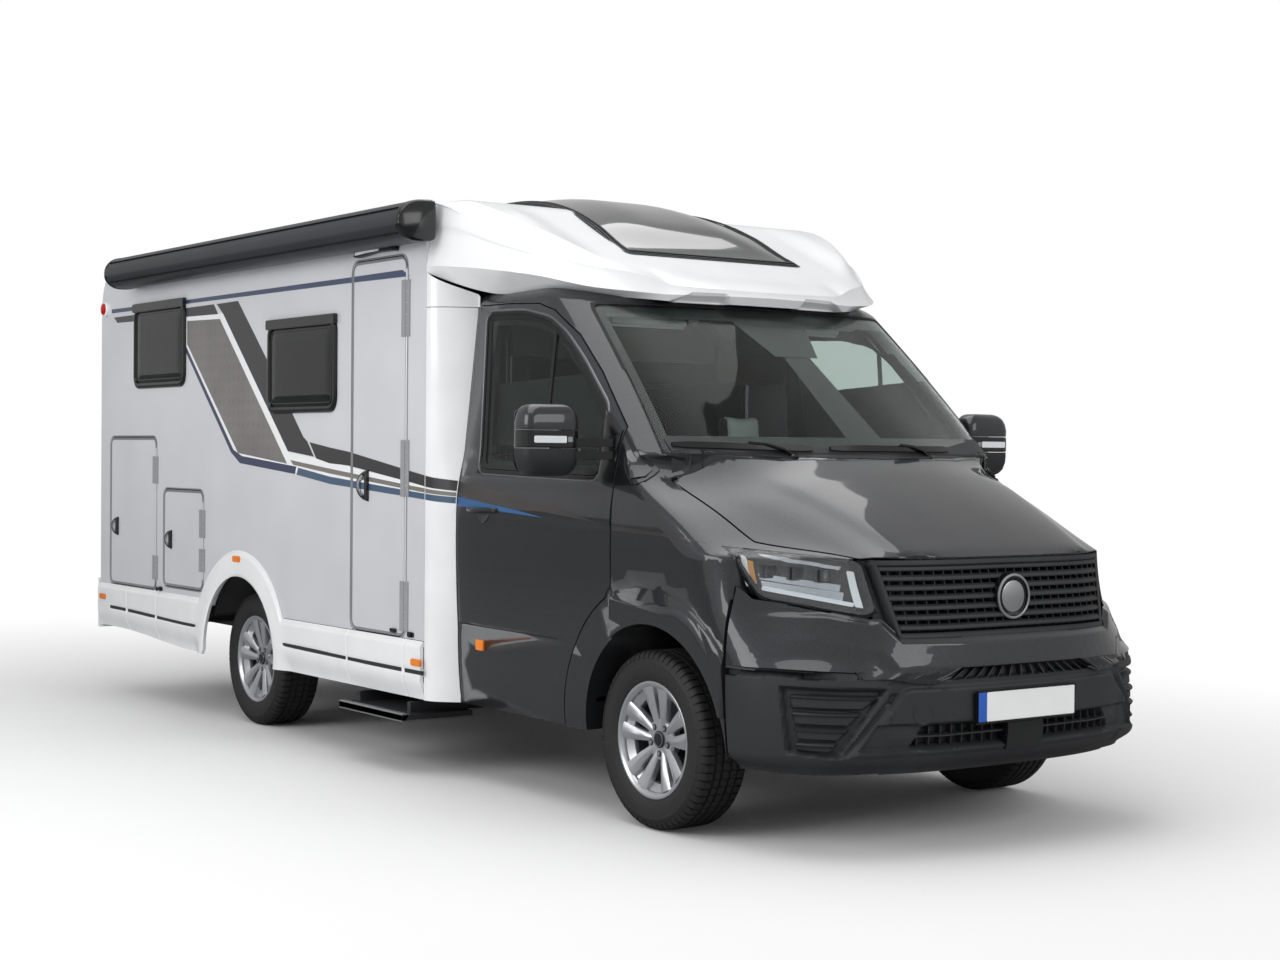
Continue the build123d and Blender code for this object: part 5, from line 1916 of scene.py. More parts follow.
def cab_door(side):
    """Everything that rides on one cab door; the mirror's cap is handed back."""
    flip = side == LEFT
    side_name = "left" if flip else "right"
    body = f"cab_door_{side_name}"
    Workpiece().sheet(LOWER_DOOR, cab_side, 0.0006, 0.003, 0.022, door_form).finish(
        f"door_panel_{side_name}", cab_paint, body, mirrored=flip, sharp=45
    )
    seal = Workpiece()
    band_on(seal, cab_side, mouth, (-0.016, -0.006, 0.0), (0.001, 0.004, 0.0015), 0.003)
    band_on(seal, glass_side, mouth, (0.002, 0.022), (0.006, 0.0015), 0.010)
    divider = [(0.770, 1.395), (0.792, 1.395), (0.788, 2.030), (0.766, 2.030)]
    seal.sheet(divider, glass_side, 0.003, 0.010, 0.03)
    # Black inner frame behind the glass.
    band_on(seal, glass_side, mouth, (0.002, 0.045), (-0.012, -0.012), 0.004)
    seal.finish(f"door_seal_{side_name}", rubber_black, body, mirrored=flip, sharp=40)
    # The raised band round the window is real relief. Its lighter grey is a painted highlight on
    # that crease.
    edge = Workpiece()
    band_on(edge, cab_side, mouth, (-0.026, -0.021, -0.016), (0.0008, 0.0038, 0.0012), 0.002)
    edge.finish(f"door_window_edge_{side_name}", painted_window_crease_highlight, body, mirrored=flip, sharp=60)
    Workpiece().sheet(
        [(0.335, 1.366), (1.285, 1.386), (1.285, 1.402), (0.335, 1.386)], cab_side, 0.003, 0.004,
        0.04
    ).finish(f"door_waist_strip_{side_name}", rubber_black, body, bevel=0.001, mirrored=flip)
    # Grip over a bowl.
    bowl_at, out = cab_side(1.190, 1.226)
    Workpiece().turned(
        [(-0.001, 0.0), (0.0015, 0.030), (0.0032, 0.046), (0.0036, 0.0535), (0.0012, 0.0560)],
        bowl_at, out, 40
    ).finish(f"door_bowl_{side_name}", smooth_black, body, mirrored=flip)
    grip = Workpiece()
    rows = []
    for y, lift, high in (
        (1.052, 0.000, 0.012), (1.066, 0.020, 0.0125), (1.110, 0.034, 0.013),
        (1.200, 0.037, 0.013), (1.270, 0.034, 0.0125), (1.302, 0.020, 0.012), (1.314, 0.000, 0.011)
    ):
        base = cab_side(y, 1.226)[0]
        rows.append(
            [
                base + Vector((-max(0.0, lift - 0.014), 0, -high)),
                base + Vector((-lift, 0, -high * 0.6)), base + Vector((-lift - 0.003, 0, 0)),
                base + Vector((-lift, 0, high * 0.7)),
                base + Vector((-max(0.0, lift - 0.014), 0, high))
            ]
        )
    grip.loft(rows)
    grip.finish(f"door_grip_{side_name}", smooth_black, body, bevel=0.002, mirrored=flip)
    Workpiece().turned(
        [(0.0, 0.0), (0.006, 0.0), (0.006, 0.010), (0.004, 0.0115), (0.0, 0.0115)],
        cab_side(1.340, 1.226)[0], out, 24
    ).finish(f"door_lock_{side_name}", smooth_black, body, mirrored=flip)
    # Films, the dark one above the blue one.
    dark = Workpiece().sheet(
        [(1.4115, 1.348), (1.4115, 1.290), (0.895, 1.248), (0.303, 1.201), (0.640, 1.258)],
        cab_side, 0.0014, 0.0008, 0.05, door_form
    )
    dark.finish(f"door_film_dark_{side_name}", taupe_decal_and_crease_shade, body, mirrored=flip)
    Workpiece().sheet(
        [(1.4115, 1.278), (1.4115, 1.238), (1.050, 1.224), (0.695, 1.207), (0.900, 1.232)],
        cab_side, 0.0014, 0.0008, 0.05, door_form
    ).finish(f"door_film_blue_{side_name}", decal_blue, body, mirrored=flip)
    Workpiece().sheet(
        rounded(rectangle(1.195, 1.258, 0.605, 0.652), 0.006), cab_side, 0.010, 0.010, 0.02
    ).finish(f"door_side_marker_{side_name}", amber_film, body, bevel=0.002, mirrored=flip)
    # Foot of the mirror on the door, black under the glass's front corner.
    Workpiece().sheet(
        [(0.2225, 1.358), (0.346, 1.372), (0.346, 1.662), (0.2900, 1.628), (0.2225, 1.572)],
        cab_side, 0.006, 0.008, 0.02
    ).finish(f"mirror_foot_{side_name}", smooth_black, body, bevel=0.002, mirrored=flip)
    return mirror_head(side_name, flip)


amber_film = surface("amber_reflector", "#e8730c", "#f28a1c", 0.2, 2.5, 0.02, Coat_Weight=0.8)
for side in (RIGHT, LEFT):
    cap_piece = cab_door(side)
    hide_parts(f"mirror_{'left' if side == LEFT else 'right'}")

# %% [markdown]
# ## Wing, windscreen edge, cowl and wipers
# A black corner piece with a grey outer cap fills the angle between the windscreen pillar
# and the wing. The windscreen's edge is printed black, and two wipers lie along the cowl.

# %% Around the windscreen
for side, flip in SIDES:
    Workpiece().sheet(
        [
            (0.2075, 1.572), (0.1640, 1.530), (0.046, 1.416), (0.040, 1.372), (0.060, 1.356),
            (0.2075, 1.352)
        ], cab_side, 0.005, 0.008, 0.02
    ).finish(f"wing_corner_{side}", smooth_black, bevel=0.002, mirrored=flip)
    cap = Workpiece().sheet(
        [(0.2050, 1.548), (0.0620, 1.412), (0.0560, 1.385), (0.1050, 1.378)], cab_side, 0.009,
        0.006, 0.02
    )
    cap.finish(f"wing_corner_cap_{side}", cab_paint, bevel=0.003, mirrored=flip)
    # A thin dark taupe strip along the wing's crease line is painted shade under the crease.
    film = Workpiece().sheet(
        [(0.205, 1.192), (0.205, 1.172), (-0.200, 1.160), (-0.360, 1.146), (-0.200, 1.172)],
        cab_side, 0.0008, 0.0006, 0.04
    )
    film.finish(f"wing_crease_{side}", taupe_decal_and_crease_shade, mirrored=flip)

screen_tree = tree_of(frame["nodes"]["windscreen"])
screen_front = surface_from(screen_tree, (0, 1, 0))
SCREEN_EDGE = [
    (0, 1.4885), (0.500, 1.4845), (0.900, 1.481), (0.812, 2.114), (0.400, 2.119), (0, 2.121)
]
screen_outline = SCREEN_EDGE + [(-x, z) for x, z in reversed(SCREEN_EDGE[1:-1])]
screen_outline = subdivided(rounded(screen_outline, 0.03, 3), 0.05)
print_work = Workpiece()
band_on(print_work, screen_front, screen_outline, (0.0, 0.034), (-0.0075, -0.0075), 0.001)
print_work.sheet(
    [(-0.80, 2.060), (0.80, 2.060), (0.810, 2.112), (-0.810, 2.112)], screen_front, -0.0078, 0.001,
    0.05
)
print_work.sheet(
    [(-0.89, 1.486), (0.89, 1.486), (0.875, 1.556), (-0.875, 1.556)], screen_front, -0.0078, 0.001,
    0.05
)
print_work.sheet(
    [(-0.205, 2.062), (0.205, 2.062), (0.120, 1.905), (-0.120, 1.905)], screen_front, -0.0078,
    0.001, 0.04
)
ceramic_print = surface("black_ceramic_print", "#0b0c0d", "#101112", 0.4, 3.0, 0.002)
print_work.finish("windscreen_print", ceramic_print, sharp=60)
rubber_rim = Workpiece()
band_on(
    rubber_rim,
    surface_from(tree_of(frame["nodes"]["windscreen"], frame["nodes"]["cab_shell"]), (0, 1, 0)),
    screen_outline, (-0.010, -0.004, 0.003), (0.0, 0.003, 0.002), 0.004
)
rubber_rim.finish("windscreen_rubber", rubber_black, sharp=60)

cowl_tree = tree_of(frame["nodes"]["cab_shell"], frame["nodes"]["windscreen"])
cowl_top = surface_from(cowl_tree, (0, 0, -1))


def bonnet_rear(x):
    """Station of the bonnet's rear edge."""
    edge = ((0.0, -0.298), (0.230, -0.277), (0.460, -0.217), (0.700, -0.103), (0.890, 0.002))
    return lined(edge, abs(x))


cowl_work = Workpiece()
fine_sheet(
    cowl_work, cowl_top, lambda u, v: 0.002, (-0.872, 0.872), lambda x: bonnet_rear(x) + 0.005,
    lambda x: bonnet_rear(x) + 0.078, (90, 4)
)
sheet_object("cowl_cover", grained_plastic, cowl_work, at(0, -1, 4), depth=0.003)


def wiper(name, pivot, tip, heel):
    """Arm from the cowl to the middle of a long blade that lies on the glass."""
    work = Workpiece()
    blade = []
    for i in range(13):
        t = i / 12
        x, z = heel[0] + (tip[0] - heel[0]) * t, heel[1] + (tip[1] - heel[1]) * t
        point, normal = screen_front(x, max(z, 1.492))
        blade.append(point + normal * 0.012)
    rows = []
    for i, p in enumerate(blade):
        squash = 1.0 if 0 < i < 12 else 0.6
        rows.append(
            [
                p + Vector((0, -0.004, 0.013)) * squash, p + Vector((0, 0.008, 0.006)),
                p + Vector((0, 0.010, -0.006)), p + Vector((0, -0.006, -0.012)) * squash
            ]
        )
    work.loft(rows)
    start = at(pivot[0], pivot[1], pivot[2])
    grip_point = blade[6] + Vector((0, -0.014, 0.010))
    arm_rows = []
    for t, wide, rise in (
        (0.0, 0.016, 0.012), (0.25, 0.013, 0.026), (0.6, 0.008, 0.024), (1.0, 0.006, 0.006)
    ):
        p = start + (grip_point - start) * t + Vector((0, 0, rise))
        arm_rows.append(
            [
                p + Vector((0, -wide, -0.004)), p + Vector((0, wide, -0.004)),
                p + Vector((0, wide, 0.004)), p + Vector((0, -wide, 0.004))
            ]
        )
    work.loft(arm_rows)
    work.turned(
        [(-0.02, 0.0), (-0.02, 0.020), (0.018, 0.019), (0.024, 0.012), (0.024, 0.0)], start,
        (0, -0.3, 1), 24
    )
    work.finish(name, smooth_black, bevel=0.0012)


wiper("wiper_right", (-0.420, -0.195, 1.462), (-0.860, 1.512), (-0.320, 1.497))
wiper("wiper_left", (0.300, -0.215, 1.462), (-0.240, 1.500), (0.480, 1.500))

# %% [markdown]
# ## Seams of the cab side
# A thin dark line marks the seam between the lower sill and the door and wing panels.

# %% Seams
seam_finish = surface("shadow_gap", "#08090a", "#0c0d0e", 0.8, 2.0, 0.01)
for side, flip in SIDES:
    Workpiece().sheet(
        [(0.612, 0.7035), (1.4115, 0.7115), (1.4115, 0.7155), (0.612, 0.7075)], cab_side, 0.0012,
        0.002, 0.05
    ).finish(f"door_seam_{side}", seam_finish, f"cab_door_{side}", mirrored=flip)

# %% [markdown]
# ## Skirts of the living body
# The white skirt runs along the foot of the wall and rises over the rear wheel as a wide
# arch. It is one sheet whose upper and lower edges are given as functions of the station.
# A dark inlay lies in a groove along it, and thin seams part it where the doors open.

# %% Skirts
SKIRT_X = 1.1185
REAR_ARCH = 3.560
ARCH_IN, ARCH_OUT = 0.450, 0.588


def circle_height(radius, station):
    """Height of a circle about the rear arch at a station, or zero beside it."""
    reach = radius ** 2 - (station - REAR_ARCH) ** 2
    return TYRE_RADIUS + math.sqrt(reach) if reach > 0 else 0.0


def skirt_top(station):
    """Height of the skirt's upper edge at a station."""
    edge = 0.618 + 0.038 * smooth(station, 3.4, 3.7)
    return max(edge, circle_height(ARCH_OUT, station))


def skirt_bottom(station):
    """Height of the skirt's lower edge at a station."""
    low = 0.352 + 0.046 * smooth(station, 4.2, 5.3)
    return max(low, circle_height(ARCH_IN, station))


def inlay_height(station):
    """Height of the dark inlay's middle."""
    return 0.476 + 0.020 * smooth(station, 1.6, 4.0) + 0.022 * smooth(station, 4.0, 5.4)


def skirt_form(station, z):
    """How far the skirt stands out at a station and a height."""
    from_top = skirt_top(station) - z
    from_arch = math.hypot(station - REAR_ARCH, z - TYRE_RADIUS) - ARCH_IN
    round_top = -0.016 * (1.0 - smooth(from_top, 0.0, 0.024))
    round_arch = -0.006 * (1.0 - smooth(from_arch, 0.0, 0.014)) if z > 0.353 else 0.0
    near_arch = 1.0 - smooth(from_arch, 0.03, 0.16)
    tuck = -0.030 * smooth(inlay_height(station) - 0.030 - z, 0.0, 0.110) * (1.0 - near_arch)
    belly = 0.004 * near_arch
    groove = 0.0
    if INLAYS[0][0] < station < INLAYS[-1][1]:
        groove = -0.004 * (
            1.0 - smooth(abs(z - inlay_height(station)), 0.010, 0.014)
        ) * (1.0 - near_arch)
    seam = 0.0
    for place in SEAMS:
        seam = min(seam, -0.004 * (1.0 - smooth(abs(station - place), 0.002, 0.005)))
    return round_top + round_arch + tuck + belly + groove + seam


SEAMS = (1.741, 2.300, 4.680, 5.130)
INLAYS = (
    (1.560, 1.728), (1.760, 2.290), (2.312, 3.075), (4.000, 4.664), (4.700, 5.110), (5.150, 5.400)
)
skirt_place = flat_wall(-SKIRT_X)
inlay_dark = surface("satin_black_inlay", "#232527", "#2a2c2f", 0.4, 3.0, 0.01)
for side, flip in SIDES:
    work = Workpiece()
    fine_sheet(work, skirt_place, skirt_form, (1.583, 5.598), skirt_bottom, skirt_top, (700, 30))
    if flip:
        bmesh.ops.scale(work.mesh, vec=(-1, 1, 1), verts=work.mesh.verts)
    facing = at(6 if flip else -6, 3.5, 0.6)
    panel = sheet_object(f"skirt_{side}", white_gelcoat, work, facing, depth=0.018, sharp=50)
    if not flip:
        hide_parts("skirts")
    strips = Workpiece()
    for start, end in INLAYS:
        steps = max(2, int((end - start) / 0.06))
        stations = [start + (end - start) * k / steps for k in range(steps + 1)]
        outline = [(s, inlay_height(s) - 0.0095) for s in stations]
        outline += [(s, inlay_height(s) + 0.0095) for s in reversed(stations)]
        strips.sheet(outline, skirt_place, -0.0022, 0.006, 0.2)
    strips.finish(f"skirt_inlay_{side}", inlay_dark, bevel=0.0008, mirrored=flip)
    markers = Workpiece()
    for station, z in ((3.560, 0.897), (5.508, 0.575), (1.612, 0.521)):
        markers.sheet(
            rounded(rectangle(station - 0.045, station + 0.045, z - 0.016, z + 0.016), 0.010),
            skirt_place, 0.010, 0.012, 0.05
        )
    markers.finish(f"side_markers_{side}", amber_film, bevel=0.003, mirrored=flip)

# %% [markdown]
# ## Films on the side wall
# The graphics are printed vinyl films laid flat on the wall. The taupe film carries a
# faint pattern of round dots, 60 mm apart. Each film is cut where the entry door opens,
# so that the door takes its part along.

# %% Films
def film_finish(name, hex_value, shine=0.32):
    return surface(
        name, hex_value, hex_value, shine, 3.0, 0.002, Coat_Weight=0.3, Coat_Roughness=0.1
    )


film_white = film_finish("white_vinyl_film", "#eceeef", 0.25)
film_black = film_finish("graphite_vinyl_film", "#2b292c")
film_navy = film_finish("navy_vinyl_film", "#2a3152")
film_blue = film_finish("slate_blue_vinyl_film", "#3f5670")
film_slate = film_finish("top_line_vinyl_film", "#30405e")


def dotted_film():
    material, tree, shader = new_finish("dotted_taupe_vinyl_film")
    place = object_place(tree)
    cells = add_node(
        tree, "ShaderNodeTexVoronoi", {"Vector": place, "Scale": 1 / (62 * MM), "Randomness": 0.0}
    )
    wander = noise(tree, 300.0, 2.0, place)
    base = ramp_between(tree, wander, "#6b6866", "#787572")
    dots = add_node(
        tree, "ShaderNodeMapRange",
        {
            "Value": cells.outputs["Distance"], "From Min": 0.25, "From Max": 0.42, "To Min": 0.16,
            "To Max": 0.0,
        }
    )
    mix = add_node(
        tree, "ShaderNodeMix", {0: dots.outputs["Result"], 6: base, 7: hex_colour("#3f3d3b"),},
        data_type="RGBA"
    )
    set_inputs(shader, {"Base Color": mix.outputs[2], "Roughness": 0.34, "Coat Weight": 0.3})
    return material


film_taupe = dotted_film()
taupe_plain = film_finish("taupe_vinyl_film", "#76716c")


def clipped(outline, limit, keep_above):
    """Outline cut at a station."""
    result = []
    count = len(outline)
    for i in range(count):
        (u0, v0), (u1, v1) = outline[i], outline[(i + 1) % count]
        in0, in1 = (u0 > limit) == keep_above, (u1 > limit) == keep_above
        if in0:
            result.append((u0, v0))
        if in0 != in1:
            t = (limit - u0) / (u1 - u0)
            result.append((limit, v0 + (v1 - v0) * t))
    return result


DOOR_FRONT_EDGE, DOOR_REAR_EDGE = 1.755, 2.290


def film(name, finish, outline, lift, flip):
    """Film on the wall and, where the entry door is, on the door."""
    side = "left" if flip else "right"
    parts = [
        ("rear", clipped(outline, DOOR_REAR_EDGE + 0.007, True), "vehicle"),
        ("front", clipped(outline, DOOR_FRONT_EDGE - 0.007, False), "vehicle")
    ]
    middle_part = clipped(
        clipped(outline, DOOR_FRONT_EDGE + 0.001, True), DOOR_REAR_EDGE - 0.001, False
    )
    parts.append(("door", middle_part, "vehicle" if flip else "entry_door"))
    if flip:
        parts = [("whole", outline, "vehicle")]
    for part, points, body in parts:
        if len(points) > 2:
            Workpiece().sheet(points, right_wall, lift, lift, 0.30).finish(
                f"film_{name}_{part}_{side}", finish, body, mirrored=flip
            )


FILMS = (
    (
        "white", film_white, 0.0003,
        [
            (4.300, 2.222), (3.860, 2.222), (3.800, 2.220), (2.985, 1.470), (2.700, 1.445),
            (1.583, 1.325), (1.583, 1.280), (2.520, 1.335), (2.909, 1.370), (3.560, 1.425),
            (3.680, 1.480), (4.300, 2.045)
        ]
    ),
    (
        "top_line", film_slate, 0.0005,
        [
            (5.435, 2.325), (5.435, 2.301), (4.300, 2.297), (2.340, 2.289), (1.730, 2.283),
            (1.803, 2.317), (2.340, 2.316), (4.300, 2.319)
        ]
    ),
    (
        "band_rear", film_black, 0.0005,
        [(5.399, 2.274), (5.342, 2.239), (4.287, 2.224), (3.863, 2.217), (3.921, 2.274)]
    ),
    (
        "diagonal", film_black, 0.0006,
        [
            (3.882, 2.273), (3.794, 2.213), (2.991, 1.475), (2.697, 1.449), (2.772, 1.526),
            (2.815, 1.547), (2.923, 1.648), (3.230, 1.937), (3.607, 2.275)
        ]
    ),
    (
        "band_front", film_black, 0.0006,
        [
            (2.746, 1.521), (2.670, 1.440), (2.523, 1.417), (2.329, 1.409), (1.700, 1.337),
            (1.583, 1.322), (1.583, 1.372), (1.700, 1.388), (2.329, 1.476), (2.523, 1.495)
        ]
    ),
    (
        "panel", film_taupe, 0.0006,
        [(4.286, 2.200), (4.284, 2.071), (3.596, 1.462), (2.999, 1.411), (3.840, 2.190)]
    ),
    (
        "navy", film_navy, 0.0006,
        [
            (4.302, 2.062), (4.302, 2.026), (3.687, 1.466), (3.571, 1.408), (2.909, 1.359),
            (2.891, 1.397), (3.545, 1.446), (3.655, 1.480)
        ]
    ),
    (
        "blue", film_blue, 0.0006,
        [
            (2.872, 1.392), (2.888, 1.356), (2.520, 1.316), (1.709, 1.270), (1.583, 1.262),
            (1.583, 1.290), (1.709, 1.298), (2.520, 1.352)
        ]
    ),
    (
        "taupe_line", taupe_plain, 0.0006,
        [
            (2.962, 1.430), (2.930, 1.406), (2.520, 1.367), (1.709, 1.303), (1.583, 1.294),
            (1.583, 1.314), (1.709, 1.323), (2.520, 1.391)
        ]
    ),
)
for flip in (False, True):
    for name, finish, lift, outline in FILMS:
        film(name, finish, outline, lift, flip)

# The bands run on over the white corner panel to the cab.
for side, flip in SIDES:
    for name, finish, outline in (
        ("black", film_black, [(1.577, 1.371), (1.577, 1.321), (1.430, 1.304), (1.430, 1.350)]),
        ("taupe", taupe_plain, [(1.577, 1.313), (1.577, 1.294), (1.430, 1.280), (1.430, 1.297)]),
        ("blue", film_blue, [(1.577, 1.290), (1.577, 1.262), (1.430, 1.248), (1.430, 1.276)]),
    ):
        Workpiece().sheet(outline, cab_side, 0.0010, 0.0006, 0.008).finish(
            f"corner_film_{name}_{side}", finish, mirrored=flip
        )

# %% [markdown]
# ## Windows of the living body
# A hinged acrylic window has a black frame with a hinge profile along its top, a bulged
# smoked pane and, behind it, a cassette with a pleated blind on either side.

# %% Living windows
blind_grey = surface("pleated_blind_cloth", "#5a5b5c", "#646566", 0.8, 4.0, 0.05)
cassette_grey = surface("grey_blind_cassette", "#56585b", "#606265", 0.45, 3.0, 0.01)
# Painted shade: a near-black colour for the unlit room behind each living window.
painted_room_shade = surface("dark_interior_board", "#1f1e1d", "#262524", 0.7, 5.0, 0.02)


def living_window(name, y0, y1, z0, z1, flip):
    outline = subdivided(
        rounded(rectangle(y0 - 0.006, y1 + 0.006, z0 - 0.006, z1 + 0.006), 0.075, 6), 0.2
    )
    frame_work = Workpiece()
    band_on(
        frame_work, right_wall, outline, (-0.008, -0.003, 0.010, 0.022, 0.027),
        (0.001, 0.012, 0.016, 0.015, 0.006), 0.004
    )
    frame_work.sheet(
        rounded(rectangle(y0 - 0.012, y1 + 0.012, z1 - 0.022, z1 + 0.028), 0.008), right_wall,
        0.022, 0.022, 1.0
    )
    frame_work.finish(f"window_frame_{name}", smooth_black, bevel=0.0035, mirrored=flip, sharp=40)
    inner = offset_outline(outline, 0.026)
    pane = Workpiece()

    def bulge(u, v):
        edge = inside_distance(u, v, inner)
        return 0.008 * smooth(edge, 0.0, 0.05)
    pane.sheet(inner, right_wall, 0.004, 0.004, 0.03, bulge)
    piece = pane.finish(f"window_pane_{name}", smoked_acrylic, mirrored=flip, sharp=60)
    ring_work = Workpiece()
    band_on(ring_work, right_wall, inner, (0.012, 0.016, 0.020), (0.0085, 0.0105, 0.0095), 0.002)
    ring_work.finish(f"window_ridge_{name}", smooth_black, mirrored=flip, sharp=50)
    # A dark sheet 60 mm inside the pane is painted shade. It stands in for the unlit room behind
    # the window.
    Workpiece().sheet(
        rectangle(y0 + 0.02, y1 - 0.02, z0 + 0.02, z1 - 0.02), right_wall, -0.060, 0.004, 1.0
    ).finish(f"window_room_{name}", painted_room_shade, mirrored=flip)
    blinds = Workpiece()
    for k in range(4):
        start = y1 - 0.10 - k * 0.020
        blinds.sheet(
            rectangle(start - 0.004, start + 0.004, z0 + 0.04, z1 - 0.09), right_wall, -0.030,
            0.006, 1.0
        )
    blinds.sheet(
        rectangle(y0 + 0.05, y1 - 0.05, z1 - 0.135, z1 - 0.100), right_wall, -0.034, 0.006, 1.0
    )
    blinds.finish(f"window_blind_{name}", blind_grey, bevel=0.001, mirrored=flip)
    rails = Workpiece()
    band_on(rails, right_wall, inner, (0.026, 0.044), (-0.014, -0.016), 0.006)
    rails.sheet(
        rectangle(y0 + 0.045, y1 - 0.045, z1 - 0.094, z1 - 0.052), right_wall, -0.012, 0.016, 1.0
    )
    for place in (y1 - 0.062, y0 + 0.060):
        rails.sheet(
            rectangle(place - 0.008, place + 0.008, z0 + 0.045, z1 - 0.09), right_wall, -0.016,
            0.008, 1.0
        )
    rails.finish(f"window_cassette_{name}", cassette_grey, bevel=0.002, mirrored=flip)
    latches = Workpiece()
    for share in (0.25, 0.75):
        place = y0 + (y1 - y0) * share
        latches.sheet(
            rounded(rectangle(place - 0.030, place + 0.030, z0 + 0.034, z0 + 0.050), 0.006),
            right_wall, -0.004, 0.010, 1.0
        )
    latches.finish(f"window_latches_{name}", smooth_black, bevel=0.002, mirrored=flip)
    return piece


window_piece = living_window("bedroom_right", 4.310, 5.045, 1.845, 2.305, False)
living_window("kitchen_right", 2.460, 3.210, 1.680, 2.122, False)
living_window("bedroom_left", 4.310, 5.045, 1.845, 2.305, True)
living_window("dinette_left", 1.950, 2.870, 1.560, 2.120, True)
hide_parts("living_windows")

# %% [markdown]
# ## Door and lid fittings
# The entry door and the lids have a grey rubber seal inside a dark gap, two grey hinges
# at their front edge and a D-shaped recessed handle with a bright grip at the rear edge.

# %% Fittings
seal_grey = surface("grey_edge_profile", "#75777a", "#7e8083", 0.5, 3.0, 0.01)
hinge_grey = surface("grey_painted_hinge", "#8d9093", "#96999c", 0.42, 3.0, 0.01)


def lid_fittings(name, body, opening, radius, hinges, handle, flip):
    y0, y1, z0, z1 = opening
    outline = subdivided(rounded(rectangle(y0, y1, z0, z1), radius, 8), 0.3)
    seal = Workpiece()
    band_on(
        seal, right_wall, outline, (0.0005, 0.002, 0.011, 0.013), (0.0005, 0.0025, 0.0025, 0.0003),
        0.002
    )
    seal.finish(f"{name}_edge_profile", seal_grey, body, mirrored=flip, sharp=50)
    frame_band = Workpiece()
    band_on(
        frame_band, right_wall, outline, (-0.0125, -0.011, -0.0075, -0.0065),
        (0.0004, 0.0016, 0.0016, 0.0004), 0.002
    )
    frame_band.finish(f"{name}_frame_profile", seal_grey, mirrored=flip, sharp=50)
    gap = Workpiece()
    band_on(gap, right_wall, outline, (-0.0062, -0.0002), (-0.004, -0.004), 0.002)
    gap.finish(f"{name}_gap_rubber", rubber_black, mirrored=flip)
    leaf, fixed = Workpiece(), Workpiece()
    for low, high in hinges:
        leaf.sheet(
            rounded(rectangle(y0 + 0.008, y0 + 0.046, low, high), 0.004), right_wall, 0.0055,
            0.0055, 1.0
        )
        fixed.sheet(
            rounded(rectangle(y0 - 0.030, y0 - 0.008, low, high), 0.003), right_wall, 0.0045,
            0.0045, 1.0
        )
        pieces = 5
        for k in range(pieces):
            start = low + (high - low) * k / pieces
            end = low + (high - low) * (k + 1) / pieces - 0.002
            profile = [
                (0.0, 0.0), (0.0, 0.0062), (0.001, 0.0072), (end - start - 0.001, 0.0072),
                (end - start, 0.0062), (end - start, 0.0)
            ]
            (leaf if k % 2 else fixed).turned(profile, at(-WALL_X, y0, start), (0, 0, 1), 16)
    leaf.finish(f"{name}_hinge_leaf", hinge_grey, body, bevel=0.001, mirrored=flip)
    fixed.finish(f"{name}_hinge_fixed", hinge_grey, mirrored=flip)
    hy0, hy1, hz0, hz1 = handle
    mid_z, half = (hz0 + hz1) / 2, (hz1 - hz0) / 2
    deep = hy1 - hy0

    def dee(scale_y, scale_z, steps=14):
        points = []
        front = hy0 + deep * (1 - scale_y) * 0.30
        for k in range(steps + 1):
            a = math.pi / 2 - math.pi * k / steps
            points.append(
                (front + deep * scale_y * math.cos(a), mid_z + half * scale_z * math.sin(a))
            )
        return points
    shell = Workpiece()
    band_on(
        shell, right_wall, dee(1.0, 1.0), (0.0, 0.004, 0.014, 0.020), (0.001, 0.008, 0.010, 0.002),
        0.008
    )
    shell.sheet(dee(0.86, 0.86), right_wall, -0.0015, 0.003, 0.05)
    shell.sheet(
        rounded(
            rectangle(hy0 + 0.002, hy0 + 0.030, mid_z - half * 0.86, mid_z + half * 0.86), 0.006
        ), right_wall, 0.012, 0.012, 0.1
    )
    shell.finish(f"{name}_handle", smooth_black, body, bevel=0.0012, mirrored=flip, sharp=45)
    grip = Workpiece()
    arc, arc_in = [], []
    for k in range(13):
        a = math.radians(62) - math.radians(124) * k / 12
        for radius_y, radius_z, target in ((0.80, 0.80, arc), (0.60, 0.66, arc_in)):
            target.append(
                (
                    hy0 + 0.012 + deep * radius_y * math.cos(a),
                    mid_z + half * radius_z * math.sin(a)
                )
            )
    grip.sheet(arc + list(reversed(arc_in)), right_wall, 0.009, 0.006, 1.0)
    grip.finish(f"{name}_handle_grip", chrome, body, bevel=0.001, mirrored=flip)


lid_fittings(
    "entry_door", "entry_door", (1.755, 2.290, 0.625, 2.380), 0.060,
    ((2.007, 2.269), (1.271, 1.532), (0.650, 0.881)), (2.115, 2.240, 1.240, 1.390), False
)
lid_fittings(
    "hatch_right", "hatch_right", (4.050, 4.605, 0.697, 1.248), 0.050,
    ((0.989, 1.145), (0.800, 0.928)), (4.485, 4.590, 0.908, 1.018), False
)
for side, flip in SIDES:
    lid_fittings(
        f"garage_{side}", f"garage_door_{side}", (4.722, 5.435, 0.664, 1.545), 0.050,
        ((1.278, 1.437), (0.720, 0.860)), (5.305, 5.415, 0.955, 1.068), flip
    )

# Stops that hold the open doors, a lamp over the entry door and a marker lamp at the rear.
stops = Workpiece()
for station, z, tall in ((1.700, 0.640, 0.011), (4.650, 0.672, 0.028)):
    stops.turned(
        [
            (-0.002, 0.0), (-0.002, 0.014), (tall * 0.2, 0.013), (tall * 0.3, 0.009),
            (tall * 0.7, 0.009), (tall * 0.8, 0.014), (tall, 0.012), (tall, 0.0)
        ], at(-WALL_X, station, z), (-1, 0, 0), 20
    )
    stops.sheet(
        rounded(rectangle(station - 0.030, station + 0.030, z - 0.012, z + 0.012), 0.008),
        right_wall, 0.005, 0.005, 1.0
    )
stops.finish("door_stops", smooth_black, bevel=0.001)
Workpiece().sheet(
    rounded(rectangle(1.832, 1.885, 0.640, 0.658), 0.006), right_wall, 0.012, 0.012, 1.0
).finish("door_catch", smooth_black, "entry_door", bevel=0.002)

